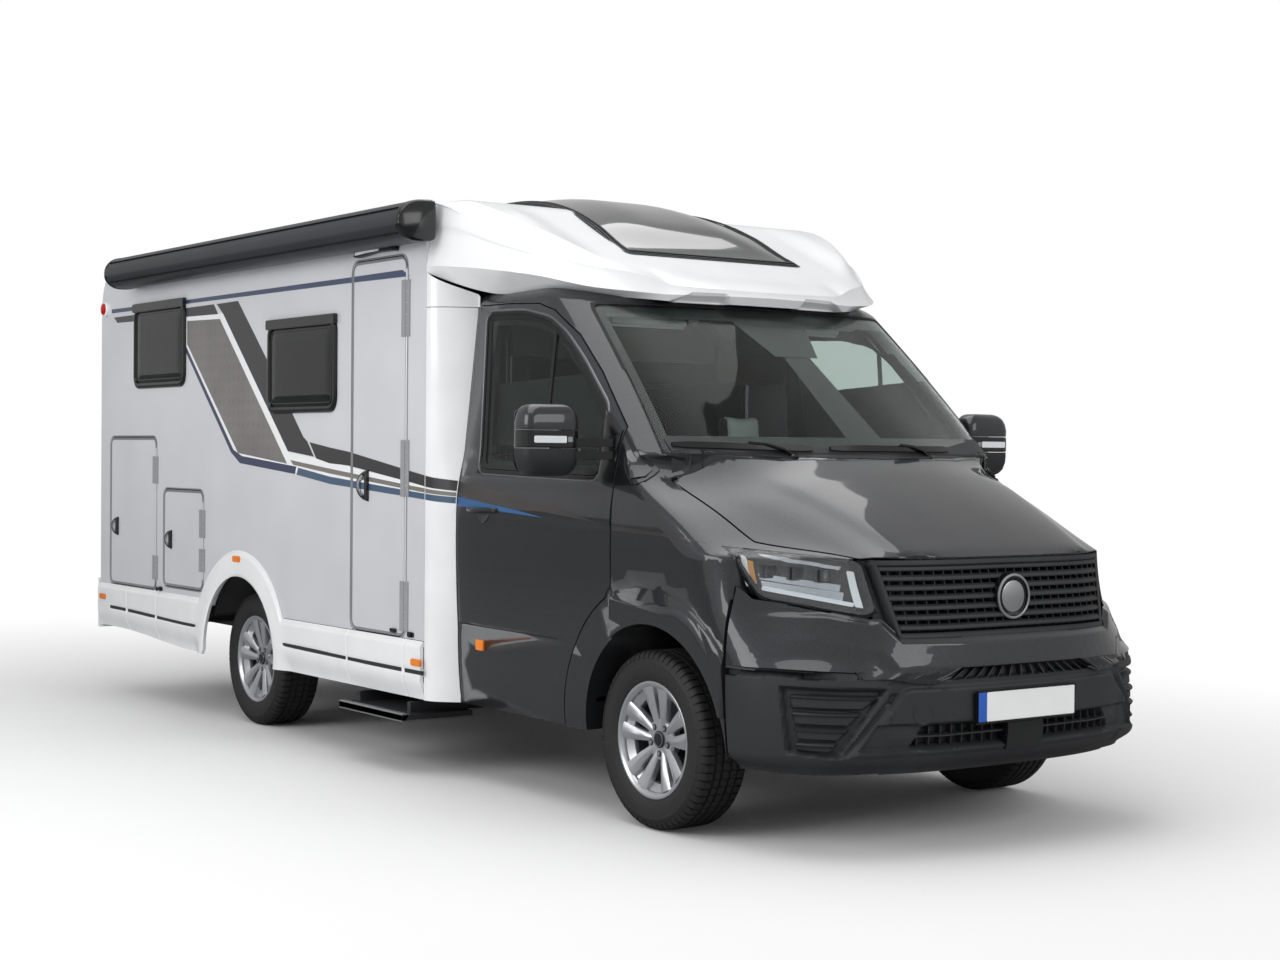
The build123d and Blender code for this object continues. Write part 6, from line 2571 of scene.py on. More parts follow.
lamp_shell = [
    (2.216, 2.400), (2.205, 2.442), (2.120, 2.466), (2.000, 2.468), (1.910, 2.452), (1.830, 2.420),
    (1.832, 2.408), (2.000, 2.412), (2.150, 2.402)
]
Workpiece().sheet(lamp_shell, right_wall, 0.040, 0.040, 0.05).finish(
    "porch_lamp_case", anthracite_case, bevel=0.006
)
Workpiece().sheet(
    [
        (2.198, 2.408), (2.188, 2.436), (2.110, 2.454), (1.965, 2.452), (1.955, 2.416),
        (2.100, 2.412)
    ], right_wall, 0.044, 0.010, 0.05
).finish("porch_lamp_lens", light_guide, bevel=0.003)

ROUND_MARK = (5.520, 2.330)
for side, flip in SIDES:
    centre = at(-WALL_X, *ROUND_MARK)
    Workpiece().turned(
        [(0.0, 0.0), (0.0, 0.046), (0.014, 0.046), (0.020, 0.040), (0.020, 0.0)], centre,
        (-1, 0, 0), 40
    ).finish(f"corner_marker_base_{side}", white_gelcoat, mirrored=flip)
    Workpiece().turned(
        [(0.019, 0.0), (0.019, 0.036), (0.027, 0.033), (0.032, 0.020), (0.033, 0.0)], centre,
        (-1, 0, 0), 40
    ).finish(f"corner_marker_lens_{side}", red_lens, mirrored=flip)

# %% [markdown]
# ## Awning and step
# The awning rolls up in an anodised case along the top of the wall. Its front profile
# drops with the cloth, so a long joint runs along the case, and a moulded cap closes each
# end. The entry step slides out of a carrier under the floor.

# %% Awning and step
CASE = [
    (-1.101, 2.430), (-1.150, 2.421), (-1.218, 2.420), (-1.262, 2.440), (-1.288, 2.472),
    (-1.292, 2.510), (-1.284, 2.545), (-1.262, 2.575), (-1.232, 2.594), (-1.190, 2.604),
    (-1.101, 2.606)
]


def case_section(station, grow=0.0):
    """Section of the awning case at a station, grown by an amount."""
    centre = Vector((-1.19, 2.512))
    points = []
    for p in rounded(CASE, 0.02, 2):
        arm = p - centre
        moved = centre + arm * (1.0 + grow / arm.length)
        points.append(at(max(-1.292, min(-1.101, moved.x)), station, moved.y))
    return points


case_work = Workpiece()
case_work.loft([case_section(station) for station in (1.530, 1.9, 2.6, 3.3, 4.0, 4.6, 5.030)])
case_piece = case_work.finish("awning_body", anthracite_case, sharp=30)
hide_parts("awning_case")
caps = Workpiece()
for start, end in ((1.491, 1.528), (5.032, 5.058)):
    caps.loft(
        [
            case_section(start, -0.010), case_section(start + 0.006, 0.0),
            case_section(start + 0.010, 0.002), case_section(end, 0.002)
        ]
    )
caps.finish("awning_caps", smooth_black, sharp=35)
joints = Workpiece()
for z0, z1, x in ((2.4475, 2.4495, -1.2745), (2.5655, 2.5680, -1.2722)):
    joints.box((x - 0.0040, AXLE_Y + 1.533, z0), (x + 0.004, AXLE_Y + 5.028, z1))
joints.finish("awning_joints", seam_finish)

low, high = (Vector(c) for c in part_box("entry_step"))
step_body = BODY_OF["entry_step"]
Workpiece().plate(
    rounded(
        [
            (low.x, 0.248), (low.x + 0.012, 0.246), (low.x + 0.040, 0.282), (low.x + 0.034, 0.286),
            (low.x, 0.286)
        ], 0.003
    ), (0, high.y, 0), X_AXIS, Z_AXIS, high.y - low.y
).finish("step_nosing", bare_aluminium, step_body, bevel=0.0015)
grip_bar = Workpiece().box((0, 0, 0), (0.008, high.y - low.y - 0.04, 0.003))
bars_mesh = copied(loose_shape(grip_bar, bevel=0.0008), 14, grained_plastic, step=(0.020, 0, 0))
corner = Vector((low.x + 0.055, low.y + 0.02, 0.2795))
joined("step_grip_ribs", grained_plastic, [bars_mesh], corner, False, step_body)

# %% [markdown]
# ## Roof hood
# The white hood over the cab is described by its feature lines: the crease where the
# sloping top turns down, the ridge of the ledge that runs back along the flank, and the
# lower edge tucked in beneath it. Every line is given for one side only and mirrored.

# %% Roof hood
# Half-width, station and height along each line, from the middle back to the living body.
CREASE = (
    (0.0, 0.492, 2.190), (0.20, 0.500, 2.192), (0.40, 0.530, 2.198), (0.485, 0.564, 2.208),
    (0.529, 0.581, 2.224), (0.600, 0.616, 2.247), (0.740, 0.701, 2.276), (0.811, 0.777, 2.291),
    (0.865, 0.841, 2.319), (0.895, 0.906, 2.360), (0.952, 1.033, 2.415), (1.002, 1.227, 2.480),
    (1.030, 1.352, 2.546), (1.062, 1.500, 2.592), (1.070, 1.580, 2.612)
)
RIDGE = (
    (0.0, 0.482, 2.166), (0.20, 0.488, 2.164), (0.40, 0.512, 2.162), (0.485, 0.537, 2.161),
    (0.537, 0.558, 2.162), (0.639, 0.597, 2.170), (0.764, 0.666, 2.181), (0.820, 0.712, 2.192),
    (0.871, 0.759, 2.206), (0.915, 0.812, 2.222), (0.960, 0.883, 2.240), (1.027, 1.043, 2.265),
    (1.064, 1.260, 2.292), (1.092, 1.491, 2.314), (1.100, 1.580, 2.312)
)
LOWER = (
    (0.0, 0.502, 2.130), (0.20, 0.507, 2.130), (0.40, 0.528, 2.131), (0.485, 0.552, 2.133),
    (0.542, 0.575, 2.138), (0.620, 0.640, 2.145), (0.700, 0.736, 2.154), (0.745, 0.790, 2.160),
    (0.780, 0.840, 2.166), (0.815, 0.890, 2.172), (0.844, 0.954, 2.177), (0.872, 1.110, 2.182),
    (0.900, 1.300, 2.184), (corner_x(1.470, 2.2), 1.470, 2.236),
    (corner_x(1.579, 2.2), 1.580, 2.290)
)
LIGHT_FRONT = (0.842, 2.352)
HOOD_SLOPE = 0.4652
EASING_ROUNDS = 14


def mixed(a, b, share):
    """The place a share of the way from a to b."""
    return a + (b - a) * share


def spline(a, b, c, d, t):
    """Smooth curve from b to c that looks at its neighbours."""
    return 0.5 * (
        2 * b + (c - a) * t + (2 * a - 5 * b + 4 * c - d) * t * t + (3 * b - a - 3 * c + d)
        * t ** 3
    )


def through(rows, steps):
    """A line through the rows with smooth points between, its small kinks eased out."""
    result = []
    for i in range(len(rows) - 1):
        a, b, c, d = rows[max(0, i - 1)], rows[i], rows[i + 1], rows[min(len(rows) - 1, i + 2)]
        for k in range(steps[i]):
            result.append(Vector([spline(*values, k / steps[i]) for values in zip(a, b, c, d)]))
    result.append(Vector(rows[-1]))
    for _ in range(EASING_ROUNDS):
        eased = [mixed(p, (o + q) / 2, 0.5) for o, p, q in zip(result, result[1:], result[2:])]
        result = [result[0]] + eased + [result[-1]]
    return result


def slope_height(station):
    """Height of the sloping top along the middle, rounded off over the brow."""
    rise = LIGHT_FRONT[1] + (station - LIGHT_FRONT[0]) * HOOD_SLOPE
    return rise - 0.010 * (1.0 - smooth(station, 0.48, 0.60))


def top_height(x, station, edge):
    """Height of the top at a place; edge is the crease point of the same column."""
    away = station - edge.y
    roof = 2.600 + 0.022 * (1.0 - smooth(x, 0.95, 1.07))
    hump = 0.026 * smooth(x, 0.66, 0.86) * smooth(away, 0.02, 0.14) * (
        1.0 - smooth(station, 1.15, 1.45)
    )
    rise = slope_height(station) + hump
    over = rise - roof
    level = rise if over < -0.03 else roof - 0.03 * math.exp(-(over + 0.03) / 0.03)
    start = edge.z - (slope_height(edge.y) if slope_height(edge.y) < roof else roof)
    return level + start * (1.0 - smooth(away, 0.0, 0.15))


STEPS = (24, 24, 14, 8, 6, 7, 6, 5, 5, 6, 8, 8, 8, 6)
creases, ridges, lowers = through(CREASE, STEPS), through(RIDGE, STEPS), through(LOWER, STEPS)
NOTCH = ((0.530, 2.118), (0.385, 2.176), (0.222, 2.174), (0.188, 2.118))


def notch_depth(x, z):
    """A flat face that slants back under the brow, deepest at the bottom."""
    inside = inside_distance(x, z, NOTCH)
    return 1.1 * max(0.0, min(inside * 2.5, 2.176 - z))


def flank_point(c, r, low, t):
    """A place on the column from crease (t = 0) over ridge (t = 1) to lower edge (t = 2)."""
    if t <= 1.0:
        p = mixed(c, r, t)
        out = Vector((r.x - c.x, r.y - c.y, 0))
        p -= out * (0.45 * t * (1.0 - t))
        wind = 0.62
        if r.y > 0.85:
            p -= Vector((1, 0, 0)) * 0.006 * smooth(t, wind * 0.55, wind * 0.62) * (
                1.0 - smooth(t, wind * 0.62, 0.95)
            )
        return p
    return mixed(r, low, t - 1.0)


LEVELS = [
    0.0, 0.04, 0.09, 0.16, 0.24, 0.32, 0.36, 0.40, 0.48, 0.58, 0.68, 0.77, 0.85, 0.91, 0.955,
    0.985, 1.0, 1.03, 1.08, 1.18, 1.32, 1.48, 1.64, 1.80, 1.92, 2.0
]
TOP_ROWS = 26
columns = []
for c, r, low in zip(creases, ridges, lowers):
    column = [
        Vector((c.x, mixed(c.y, 1.580, (k / TOP_ROWS) ** 1.4), 0)) for k in range(TOP_ROWS, 0, -1)
    ]
    for p in column:
        p.z = top_height(p.x, p.y, c)
    for t in LEVELS:
        p = flank_point(c, r, low, t)
        p.y += notch_depth(p.x, p.z)
        column.append(p)
    inner = low + Vector((-low.x * 0.05, 0.045, 0.004))
    inner.y += notch_depth(low.x, low.z)
    column.append(inner)
    columns.append(column)
hood_columns = [
    [Vector((-p.x, p.y, p.z)) for p in column] for column in reversed(columns[1:])
] + columns
points = [at(p.x, p.y, p.z) for column in hood_columns for p in column]
rows = len(hood_columns[0])
faces = [
    (i * rows + j, i * rows + j + 1, (i + 1) * rows + j + 1, (i + 1) * rows + j)
    for i in range(len(hood_columns) - 1) for j in range(rows - 1)
]
hood_work = Workpiece().add(points, faces)
hood_piece = sheet_object(
    "roof_hood_shell", white_gelcoat, hood_work, at(0, 0.2, 6), depth=0.005, sharp=24
)
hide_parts("roof_hood")
for sign in (-1, 1):
    # Plain cheek of the hood behind the end of the ledge: it carries on the corner panel's shape.
    cheek = Workpiece()
    fine_sheet(
        cheek, lambda u, v: corner_place(u, v, sign), lambda u, v: 0.0,
        (CORNER_FRONT - 0.012, CORNER_REAR), lambda u: 2.1335,
        lambda u: 2.180 + 0.112 * ((u - 1.4155) / 0.164) ** 0.85, (16, 10)
    )
    sheet_object(
        "roof_hood_cheek_" + ("right" if sign < 0 else "left"), white_gelcoat, cheek,
        at(sign * 30, 0.5, 1.2), depth=0.004
    )


def crest_height(station):
    """Height of the roof's crest along the middle at a station."""
    marks = (
        (1.480, 2.598), (1.560, 2.622), (1.720, 2.650), (1.900, 2.674), (2.100, 2.672),
        (2.250, 2.656), (2.332, 2.618)
    )
    for (s0, z0), (s1, z1) in zip(marks, marks[1:]):
        if station <= s1:
            return z0 + (z1 - z0) * smooth(station, s0, s1)
    return marks[-1][1]


def crest_place(x, station):
    """Point and normal of the crest, which dies out towards the sides."""
    edge = 1.0 - smooth(abs(x), 0.52, 0.70)
    z = 2.596 + (min(crest_height(station), slope_height(station) + 0.004) - 2.596) * edge
    return at(x, station, z), Vector((0, 0, 1))


crest_work = Workpiece()
fine_sheet(
    crest_work, crest_place, lambda u, v: 0.0, (-0.70, 0.70), lambda u: 1.400, lambda u: 2.330,
    (48, 34)
)
sheet_object("roof_crest", white_gelcoat, crest_work, at(0, 2, 8), depth=0.004, sharp=50)

# %% [markdown]
# ## Skylight and roof hatches
# A bulged panoramic window of dark acrylic lies on the slope of the hood in a ribbed
# black frame. Two smaller hatches stand on the flat roof behind it.

# %% Skylight
dark_acrylic = surface(
    "dark_tinted_acrylic", "#2b2c2e", "#343537", 0.08, 9.0, 0.002, Coat_Weight=1.0,
    Coat_Roughness=0.02
)
LIGHT_MARKS = ((0.842, 2.352), (1.20, 2.520), (1.50, 2.622), (1.80, 2.672), (2.106, 2.686))


def light_place(x, station):
    """The skylight's seat follows the hood: steep in front, flattening towards the roof."""
    marks = LIGHT_MARKS
    k = max(
        0,
        min(
            len(marks) - 2,
            next((i for i in range(len(marks) - 1) if station <= marks[i + 1][0]), 9)
        )
    )
    a, b, c, d = marks[max(0, k - 1)], marks[k], marks[k + 1], marks[min(len(marks) - 1, k + 2)]
    t = (station - b[0]) / (c[0] - b[0])
    z = spline(a[1], b[1], c[1], d[1], max(-0.2, min(1.2, t)))
    return at(x, station, z), Vector((0, -(c[1] - b[1]) / (c[0] - b[0]), 1)).normalized()


LIGHT_VIEW = [(-0.513, 0.850), (0.513, 0.850), (0.415, 2.098), (-0.415, 2.098)]
light_outline = subdivided(rounded(LIGHT_VIEW, 0.050, 6), 0.05)
frame_work = Workpiece()
band_on(
    frame_work, light_place, light_outline,
    (0.0, 0.002, 0.007, 0.009, 0.012, 0.015, 0.020, 0.023, 0.026, 0.029, 0.036, 0.042),
    (-0.022, 0.006, 0.008, 0.000, 0.000, 0.011, 0.012, 0.004, 0.004, 0.017, 0.018, 0.008), 0.010
)
ribbed = surface("ribbed_black_rubber", "#1b1c1e", "#232427", 0.5, 7.0, 0.5)
frame_work.finish("skylight_frame", ribbed, sharp=35)
dome_view = offset_outline(light_outline, 0.036)


def dome_form(x, station):
    """How far the dome bulges at a place on the roof."""
    edge = inside_distance(x, station, dome_view)
    return 0.046 * smooth(edge, -0.10, 0.30) - 0.010


dome_work = Workpiece().sheet(dome_view, light_place, 0.012, 0.006, 0.045, dome_form)
dome = dome_work.finish("skylight_dome", dark_acrylic, sharp=60)
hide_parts("roof_lights")
for name, x_half, y0, y1, top in (
    ("rear_hatch", 0.248, 3.652, 4.148, 2.716), ("front_vent", 0.198, 2.752, 3.148, 2.696)
):
    def hatch_ring(z, inset):
        view = rectangle(-x_half + inset, x_half - inset, y0 + inset, y1 - inset)
        return [at(p.x, p.y, z) for p in rounded(view, 0.05, 5)]
    Workpiece().loft(
        [hatch_ring(z, inset) for z, inset in ((2.6195, 0.0), (2.650, 0.002), (2.660, 0.010))]
    ).finish(f"roof_{name}_base", white_gelcoat, sharp=50)
    Workpiece().loft(
        [
            hatch_ring(z, inset) for z,
            inset in (
                (2.661, 0.004), (2.675, 0.006), (top - 0.022, 0.016), (top - 0.008, 0.045),
                (top, 0.110)
            )
        ]
    ).finish(f"roof_{name}_lid", dark_acrylic, sharp=60)

# %% [markdown]
# ## Rear of the vehicle
# The rear wall carries upright lamp clusters, a high brake lamp and a recess for the
# number plate over a plain white bumper.

# %% Rear


def rear_block(x0, x1, s0, s1, z0, z1):
    """Two corners of a box whose Y is given as stations."""
    return (x0, at(0, s0, 0).y, z0), (x1, at(0, s1, 0).y, z1)


for side, flip in SIDES:
    cluster = Workpiece()
    cluster.box(*rear_block(-1.066, -0.894, 5.599, 5.612, 0.752, 1.088))
    case = cluster.finish(f"rear_lamp_case_{side}", smooth_black, bevel=0.006, mirrored=flip)
    if not flip:
        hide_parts("rear_lamps")
    for z0, z1, finish, suffix in (
        (0.762, 0.846, red_lens, "stop"), (0.852, 0.936, amber_lens, "turn"),
        (0.942, 1.010, lamp_lens, "reverse"), (1.016, 1.078, red_lens, "tail")
    ):
        Workpiece().box(*rear_block(-1.056, -0.904, 5.611, 5.624, z0, z1)).finish(
            f"rear_lamp_{suffix}_{side}", finish, bevel=0.004, mirrored=flip
        )
Workpiece().box(
    *rear_block(-0.27, 0.27, 5.6005, 5.606, 0.86, 0.985)
).finish("rear_plate_holder", smooth_black, bevel=0.002)
Workpiece().box(
    *rear_block(-0.258, 0.258, 5.606, 5.608, 0.868, 0.977)
).finish("rear_blank_plate", plate_white, bevel=0.0006)
Workpiece().box(
    *rear_block(-0.16, 0.16, 5.6005, 5.615, 2.190, 2.215)
).finish("high_brake_lamp", red_lens, bevel=0.003)

# %% [markdown]
# ## Cab seats
# Each padded part starts as a plain form a little smaller than its place in the cab. It
# is remeshed into an even net, blown up like a cushion with the cloth simulation, held
# within a few centimetres of where it began, and smoothed. Sewn channels are pressed in
# afterwards, and the faces are given to light cloth in front and black cloth at the sides.

# %% Seat cushions


def woven(name, dark, light, thread_mm):
    """Cloth with a basket weave of crossed threads."""
    material, tree, shader = new_finish(name)
    place = object_place(tree)
    scale = 1 / (thread_mm * MM * 20) * 3.2
    inputs = {"Vector": place, "Scale": scale, "Distortion": 0.4, "Detail": 1.0}
    waves = [add_node(tree, "ShaderNodeTexWave", inputs, bands_direction=d) for d in ("X", "Z")]
    both = add_node(
        tree, "ShaderNodeMath", {0: waves[0].outputs["Fac"], 1: waves[1].outputs["Fac"]},
        operation="MULTIPLY"
    )
    wander = noise(tree, 40.0, 3.0, place)
    shade = add_node(tree, "ShaderNodeMath", {0: both.outputs[0], 1: wander}, operation="MULTIPLY")
    set_inputs(
        shader,
        {
            "Base Color": ramp_between(tree, shade.outputs[0], dark, light, 0.05, 0.5),
            "Normal": bump_from(tree, both.outputs[0], 0.35), "Roughness": 0.9,
            "Sheen Weight": 0.25,
        }
    )
    return material


seat_light = woven("light_grey_basket_weave", "#a9acab", "#bcbfbd", 1.6)
seat_black = woven("black_flat_weave", "#1b1b1d", "#262628", 1.2)
NET = 0.012


def inflated(thing, pressure, cap):
    """Swell a closed net with the cloth simulation; no point moves further than the cap."""
    start = [v.co.copy() for v in thing.data.vertices]
    cloth = thing.modifiers.new("swell", "CLOTH")
    cloth.settings.use_pressure = True
    cloth.settings.uniform_pressure_force = pressure
    cloth.settings.effector_weights.gravity = 0
    cloth.settings.quality = 4
    cloth.settings.tension_stiffness = 8
    cloth.settings.compression_stiffness = 8
    cloth.collision_settings.use_collision = False
    cloth.point_cache.frame_start, cloth.point_cache.frame_end = 1, 20
    for moment in range(1, 21):
        bpy.context.scene.frame_set(moment)
    mesh = applied(thing)
    bpy.context.scene.frame_set(1)
    for vertex, before in zip(mesh.vertices, start):
        move = vertex.co - before
        if move.length > cap:
            vertex.co = before + move.normalized() * cap


def pad(name, side_view, x0, x1, cap, edge, light_half, channels, rows=()):
    """One padded part: side_view is (station, height) round its outline, between x0 and x1."""
    work = Workpiece()
    count = len(side_view)
    work.add(
        [at(x0, s, z) for s, z in side_view] + [at(x1, s, z) for s, z in side_view],
        [tuple(range(count)), tuple(range(2 * count - 1, count - 1, -1))]
        + [(i, (i + 1) % count, count + (i + 1) % count, count + i) for i in range(count)]
    )
    thing = work.finish(name, seat_light, bevel=edge, steps=4)
    remesh = thing.modifiers.new("even_net", "REMESH")
    remesh.mode, remesh.voxel_size = "VOXEL", NET
    ease = thing.modifiers.new("ease", "SMOOTH")
    ease.factor, ease.iterations = 0.5, 8
    applied(thing)
    inflated(thing, 4.0, cap)
    softer = thing.modifiers.new("even_out", "SMOOTH")
    softer.factor, softer.iterations = 0.5, 6
    fine = thing.modifiers.new("fine", "SUBSURF")
    fine.levels = fine.render_levels = 1
    mesh = applied(thing)
    middle_x = (x0 + x1) / 2
    outward = [v.normal.copy() for v in mesh.vertices]
    for vertex, normal in zip(mesh.vertices, outward):
        off = min(abs(abs(vertex.co.x - middle_x) - c) for c in channels)
        press = 0.006 * math.exp(-(off / 0.004) ** 2)
        for station, z, along in rows:
            gap = abs(vertex.co.z - z) if along == "z" else abs(vertex.co.y + 2.290 - station)
            if abs(vertex.co.x - middle_x) < light_half:
                press = max(press, 0.006 * math.exp(-(gap / 0.004) ** 2))
        vertex.co = vertex.co - normal * press
    mesh.materials.clear()
    mesh.materials.append(seat_light)
    mesh.materials.append(seat_black)
    for face in mesh.polygons:
        back = face.normal.y > 0.45 and face.normal.z < 0.6
        face.material_index = 1 if abs(face.center.x - middle_x) > light_half or back else 0
    mesh.shade_smooth()
    thing.name = name
    return thing


SEAT_MIDDLE = 0.530
seat_pads = []
seat_forms = (
    (
        "cushion", [(0.785, 0.625), (1.265, 0.625), (1.265, 0.690), (0.790, 0.745)], 0.238, 0.022,
        0.022, 0.158, (0.158,), ((1.05, 0, "station"),)
    ),
    (
        "back",
        [
            (1.180, 0.720), (1.285, 0.720), (1.382, 1.385), (1.305, 1.385), (1.262, 1.250),
            (1.178, 0.790)
        ], 0.228, 0.016, 0.022, 0.150, (0.150,), ((0, 1.06, "z"),)
    ),
    (
        "head",
        [
            (1.298, 1.452), (1.378, 1.452), (1.388, 1.640), (1.368, 1.668), (1.336, 1.668),
            (1.314, 1.640)
        ], 0.122, 0.010, 0.020, 0.098, (0.098,), ()
    ),
)
for part, view_side, half, cap, edge, light_half, channels, rows in seat_forms:
    seat_pads.append(
        pad(
            f"seat_{part}_left", view_side, SEAT_MIDDLE - half, SEAT_MIDDLE + half, cap, edge,
            light_half, channels, rows
        )
    )
for one in list(seat_pads):
    mesh = one.data.copy()
    for vertex in mesh.vertices:
        vertex.co.x = -vertex.co.x
    mesh.flip_normals()
    other = placed(one.name.replace("left", "right"), mesh)
    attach(other, "vehicle")
    seat_pads.append(other)
for side, flip in (("left", False), ("right", True)):
    base = Workpiece()
    base.box(at(0.318, 0.828, 0.4605), at(0.742, 1.222, 0.600))
    base.box(at(0.300, 0.800, 0.590), at(0.760, 1.250, 0.622))
    base_piece = base.finish(f"seat_base_{side}", grained_plastic, bevel=0.010, mirrored=flip)
    if not flip:
        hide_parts("cab_seats")
    trim = Workpiece()
    trim.box(at(0.268, 1.020, 0.545), at(0.300, 1.280, 0.690))
    trim.box(at(0.760, 1.020, 0.545), at(0.782, 1.280, 0.690))
    trim.finish(f"seat_hinge_cover_{side}", smooth_black, bevel=0.008, mirrored=flip)
    posts = Workpiece()
    for x in (0.450, 0.610):
        posts.bar([at(x, 1.335, 1.370), at(x, 1.342, 1.480)], 0.0055, 12)
    posts.finish(f"headrest_posts_{side}", chrome, mirrored=flip)

# %% [markdown]
# ## Steering wheel, dashboard and cab lining
# The dashboard gets an instrument hood, a screen, air vents and a shelf edge. Over the
# windscreen hang two sun visors and a black cover for the camera. The inside of the cab
# shell takes pale lining above the window line and dark trim below.

# %% Steering wheel and dashboard
wheel_centre, wheel_axis = at(0.430, 0.700, 1.235), Vector((0, 0.819152, 0.573576))
rim = Workpiece()
rim.turned(
    [
        (0.0145 * math.sin(a), 0.166 + 0.0145 * math.cos(a))
        for a in [2 * math.pi * k / 14 for k in range(14)]
    ], wheel_centre, wheel_axis, steps=72, closed=True
)
rim_piece = rim.finish("steering_wheel_rim", dash_skin, body="steering_wheel", sharp=60)
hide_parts("steering_wheel")
wheel_side, wheel_up = Vector((1, 0, 0)), wheel_axis.cross(Vector((1, 0, 0))).normalized()
spokes = Workpiece()
for angle in (0.0, math.pi, -math.pi / 2):
    way = wheel_side * math.cos(angle) - wheel_up * math.sin(angle)
    across = wheel_axis.cross(way)
    outer, inner = wheel_centre + way * 0.160, wheel_centre + way * 0.045
    corners = [
        inner - across * 0.030, outer - across * 0.016, outer + across * 0.016,
        inner + across * 0.030
    ]
    spokes.add(
        [p + wheel_axis * d for d in (-0.008, 0.008) for p in corners],
        [(3, 2, 1, 0), (4, 5, 6, 7), (0, 1, 5, 4), (1, 2, 6, 5), (2, 3, 7, 6), (3, 0, 4, 7)]
    )
spokes.finish("steering_wheel_spokes", smooth_black, body="steering_wheel", bevel=0.003)
Workpiece().turned(
    [
        (-0.026, 0.0), (-0.026, 0.046), (-0.020, 0.060), (0.006, 0.066), (0.020, 0.058),
        (0.030, 0.040), (0.032, 0.0)
    ], wheel_centre - wheel_axis * 0.006, wheel_axis, steps=40
).finish("steering_wheel_hub", dash_skin, body="steering_wheel", sharp=40)
Workpiece().bar(
    [at(0.430, 0.700, 1.235) - wheel_axis * 0.030, at(0.430, 0.700, 1.235) - wheel_axis * 0.150],
    0.034, 20
).finish("steering_column_cover", grained_plastic, bevel=0.004)

Workpiece().loft(
    [
        [
            at(0.430 + half * math.cos(a), station, 1.352 + rise * max(0.0, math.sin(a)))
            for a in [math.pi * k / 12 for k in range(13)]
        ] for station, half,
        rise in (
            (0.522, 0.165, 0.060), (0.500, 0.170, 0.064), (0.400, 0.160, 0.052),
            (0.300, 0.120, 0.032)
        )
    ]
).finish("instrument_hood", dash_skin, sharp=40)
dials = Workpiece()
for x in (0.365, 0.495):
    dials.turned(
        [(0.0, 0.0), (0.0, 0.042), (0.006, 0.046), (0.010, 0.042), (0.004, 0.038), (0.004, 0.0)],
        at(x, 0.558, 1.262), (0, 1, 0), steps=32
    )
dials.finish("instrument_dials", smooth_black, sharp=40)
Workpiece().box(
    at(-0.125, 0.548, 1.115), at(0.125, 0.570, 1.270)
).finish("centre_screen", smooth_black, bevel=0.006)
vents = Workpiece()
for x in (-0.80, -0.19, 0.19, 0.80):
    vents.turned(
        [(0.0, 0.0), (0.0, 0.036), (0.008, 0.042), (0.014, 0.038), (0.006, 0.030), (0.006, 0.0)],
        at(x, 0.520, 1.318), (0, 0.93, 0.37), steps=28
    )
vents.finish("air_vents", smooth_black, sharp=40)
shelf = Workpiece()
shelf.box(at(-0.860, 0.150, 1.388), at(0.240, 0.165, 1.400))
shelf.box(at(-0.880, 0.200, 1.384), at(-0.120, 0.206, 1.396))
shelf.finish("dash_shelf_edge", dash_skin, bevel=0.003)
lever = Workpiece()
lever.bar([at(0.0, 0.470, 1.010), at(0.0, 0.590, 1.090)], 0.012, 14)
lever.turned(
    [(-0.026, 0.0), (-0.024, 0.018), (0.0, 0.026), (0.022, 0.022), (0.030, 0.0)],
    at(0.0, 0.595, 1.098), (0, 0.8, 0.6), steps=24
)
lever.finish("gear_lever", smooth_black, sharp=40)

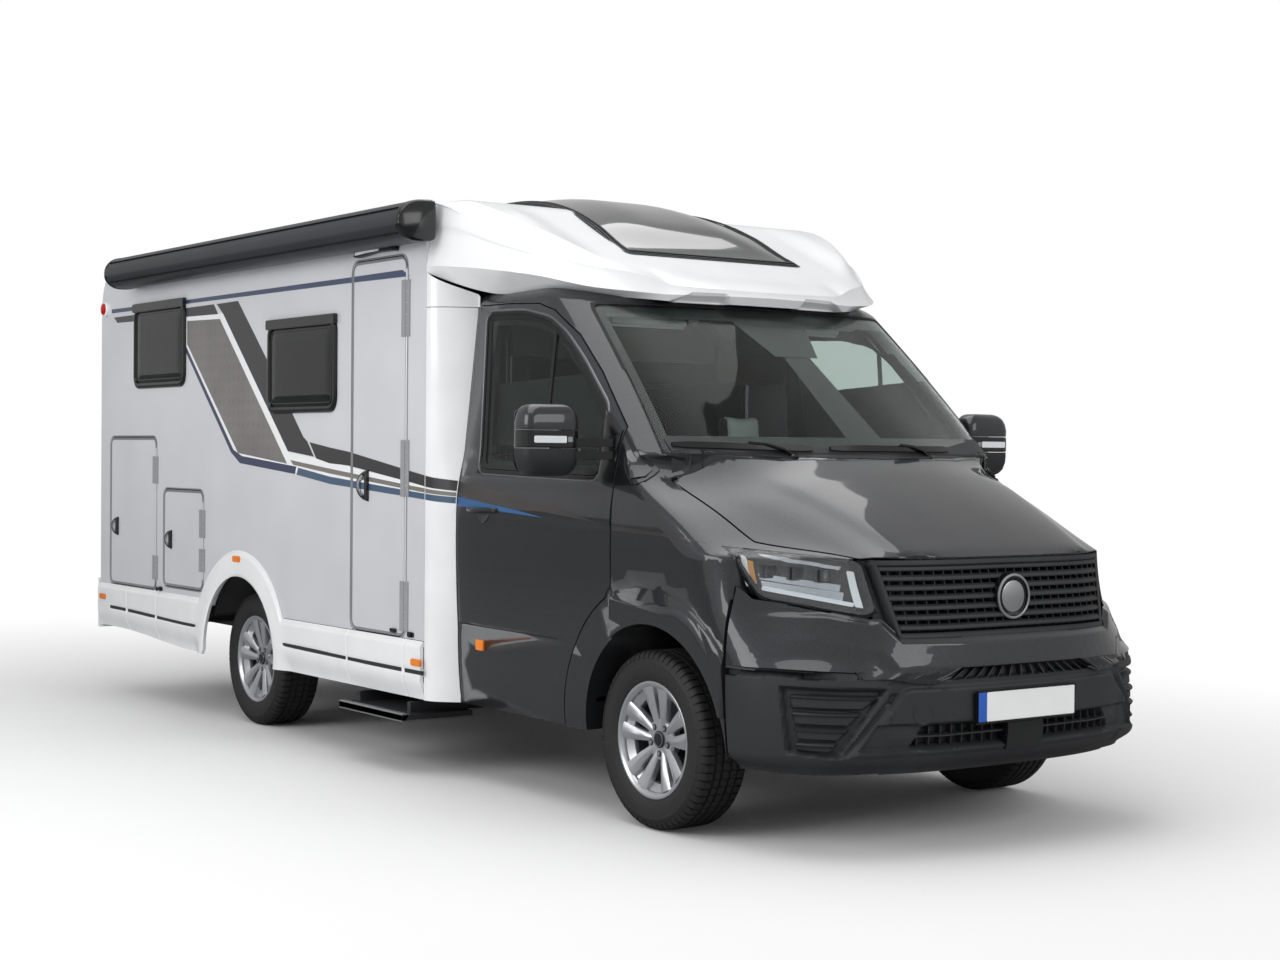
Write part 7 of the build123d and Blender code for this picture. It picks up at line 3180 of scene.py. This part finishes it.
# %% Cab lining
pale_lining = surface("pale_moulded_lining", "#b4bab7", "#bdc3c0", 0.7, 3.0, 0.06)
dark_trim = surface("dark_grained_trim", "#1d1e20", "#252628", 0.6, 2.2, 0.08)
brown_wood = surface("dark_walnut_foil", "#3a322c", "#463c35", 0.45, 30.0, 0.01)
cab_tree = tree_of(
    *[
        frame["nodes"][n]
        for n in (
            "cab_shell", "door_left", "door_right", "windscreen", "door_glass_left",
            "door_glass_right"
        )
    ]
)
LINING_FLOOR, LINING_SPLIT, LINING_FRONT = 0.80, 1.395, at(0, -0.25, 0).y
for node in ("cab_shell", "door_left", "door_right"):
    mesh = skins[node].data
    mesh.materials.append(pale_lining)
    mesh.materials.append(dark_trim)
    for face in mesh.polygons:
        centre = face.center
        if centre.z < LINING_FLOOR or centre.y < LINING_FRONT:
            continue
        inward = Vector((-centre.x, at(0, 0.8, 0).y - centre.y, 1.5 - centre.z)).normalized()
        hit = cab_tree.ray_cast(centre + face.normal * 0.004, face.normal, 3.0)[0]
        if hit is not None and face.normal.dot(inward) > 0.15:
            pale = centre.z > LINING_SPLIT and node == "cab_shell"
            face.material_index = 1 if pale else 2
Workpiece().plate(
    rounded(rectangle(-0.770, 0.770, 2.062, 2.112), 0.020), at(0, 0.800, 0), X_AXIS, Z_AXIS, 0.030
).finish("windscreen_header", pale_lining, bevel=0.006)
for side, flip in (("left", False), ("right", True)):
    visor = Workpiece()
    visor.bar([at(x, 0.772, 2.056) for x in (0.245, 0.255, 0.640, 0.650)], 0.017, 16)
    visor.box(at(0.245, 0.772, 2.030), at(0.650, 0.782, 2.062))
    visor.finish(f"sun_visor_{side}", pale_lining, bevel=0.003, mirrored=flip)
    Workpiece().box(at(0.225, 0.765, 2.050), at(0.250, 0.785, 2.075)).finish(
        f"visor_clip_{side}", smooth_black, bevel=0.003, mirrored=flip
    )
    Workpiece().bar(
        [
            at(0.838, s, z) for s,
            z in ((0.330, 1.640), (0.350, 1.672), (0.480, 1.790), (0.505, 1.800))
        ], 0.011, 12
    ).finish(f"pillar_grab_handle_{side}", dark_trim, mirrored=flip)
Workpiece().loft(
    [
        [at(x, s, z) for x, s in ((-w, s0), (w, s0), (w * 0.9, s1), (-w * 0.9, s1))] for z, w, s0,
        s1 in (
            (2.108, 0.190, 0.745, 0.860), (2.050, 0.165, 0.700, 0.850),
            (1.980, 0.110, 0.640, 0.780), (1.930, 0.085, 0.610, 0.700)
        )
    ]
).finish("camera_cover", dark_trim, bevel=0.008)

# %% Furniture seen through the glass
cupboards = Workpiece()
cupboards.box(at(0.620, 1.640, 1.840), at(1.055, 3.400, 2.240))
cupboards.box(at(-1.055, 2.560, 0.480), at(-0.420, 2.600, 2.240))
cupboards.box(at(-0.600, 1.640, 1.930), at(0.600, 1.680, 2.200))
cupboards.finish("overhead_cupboards", brown_wood, bevel=0.004)
belts = Workpiece()
for sign in (-1, 1):
    belts.box(at(sign * 0.842, 1.300, 0.900), at(sign * 0.838, 1.348, 1.800))
belts.finish("seat_belts", seat_black, bevel=0.0008)
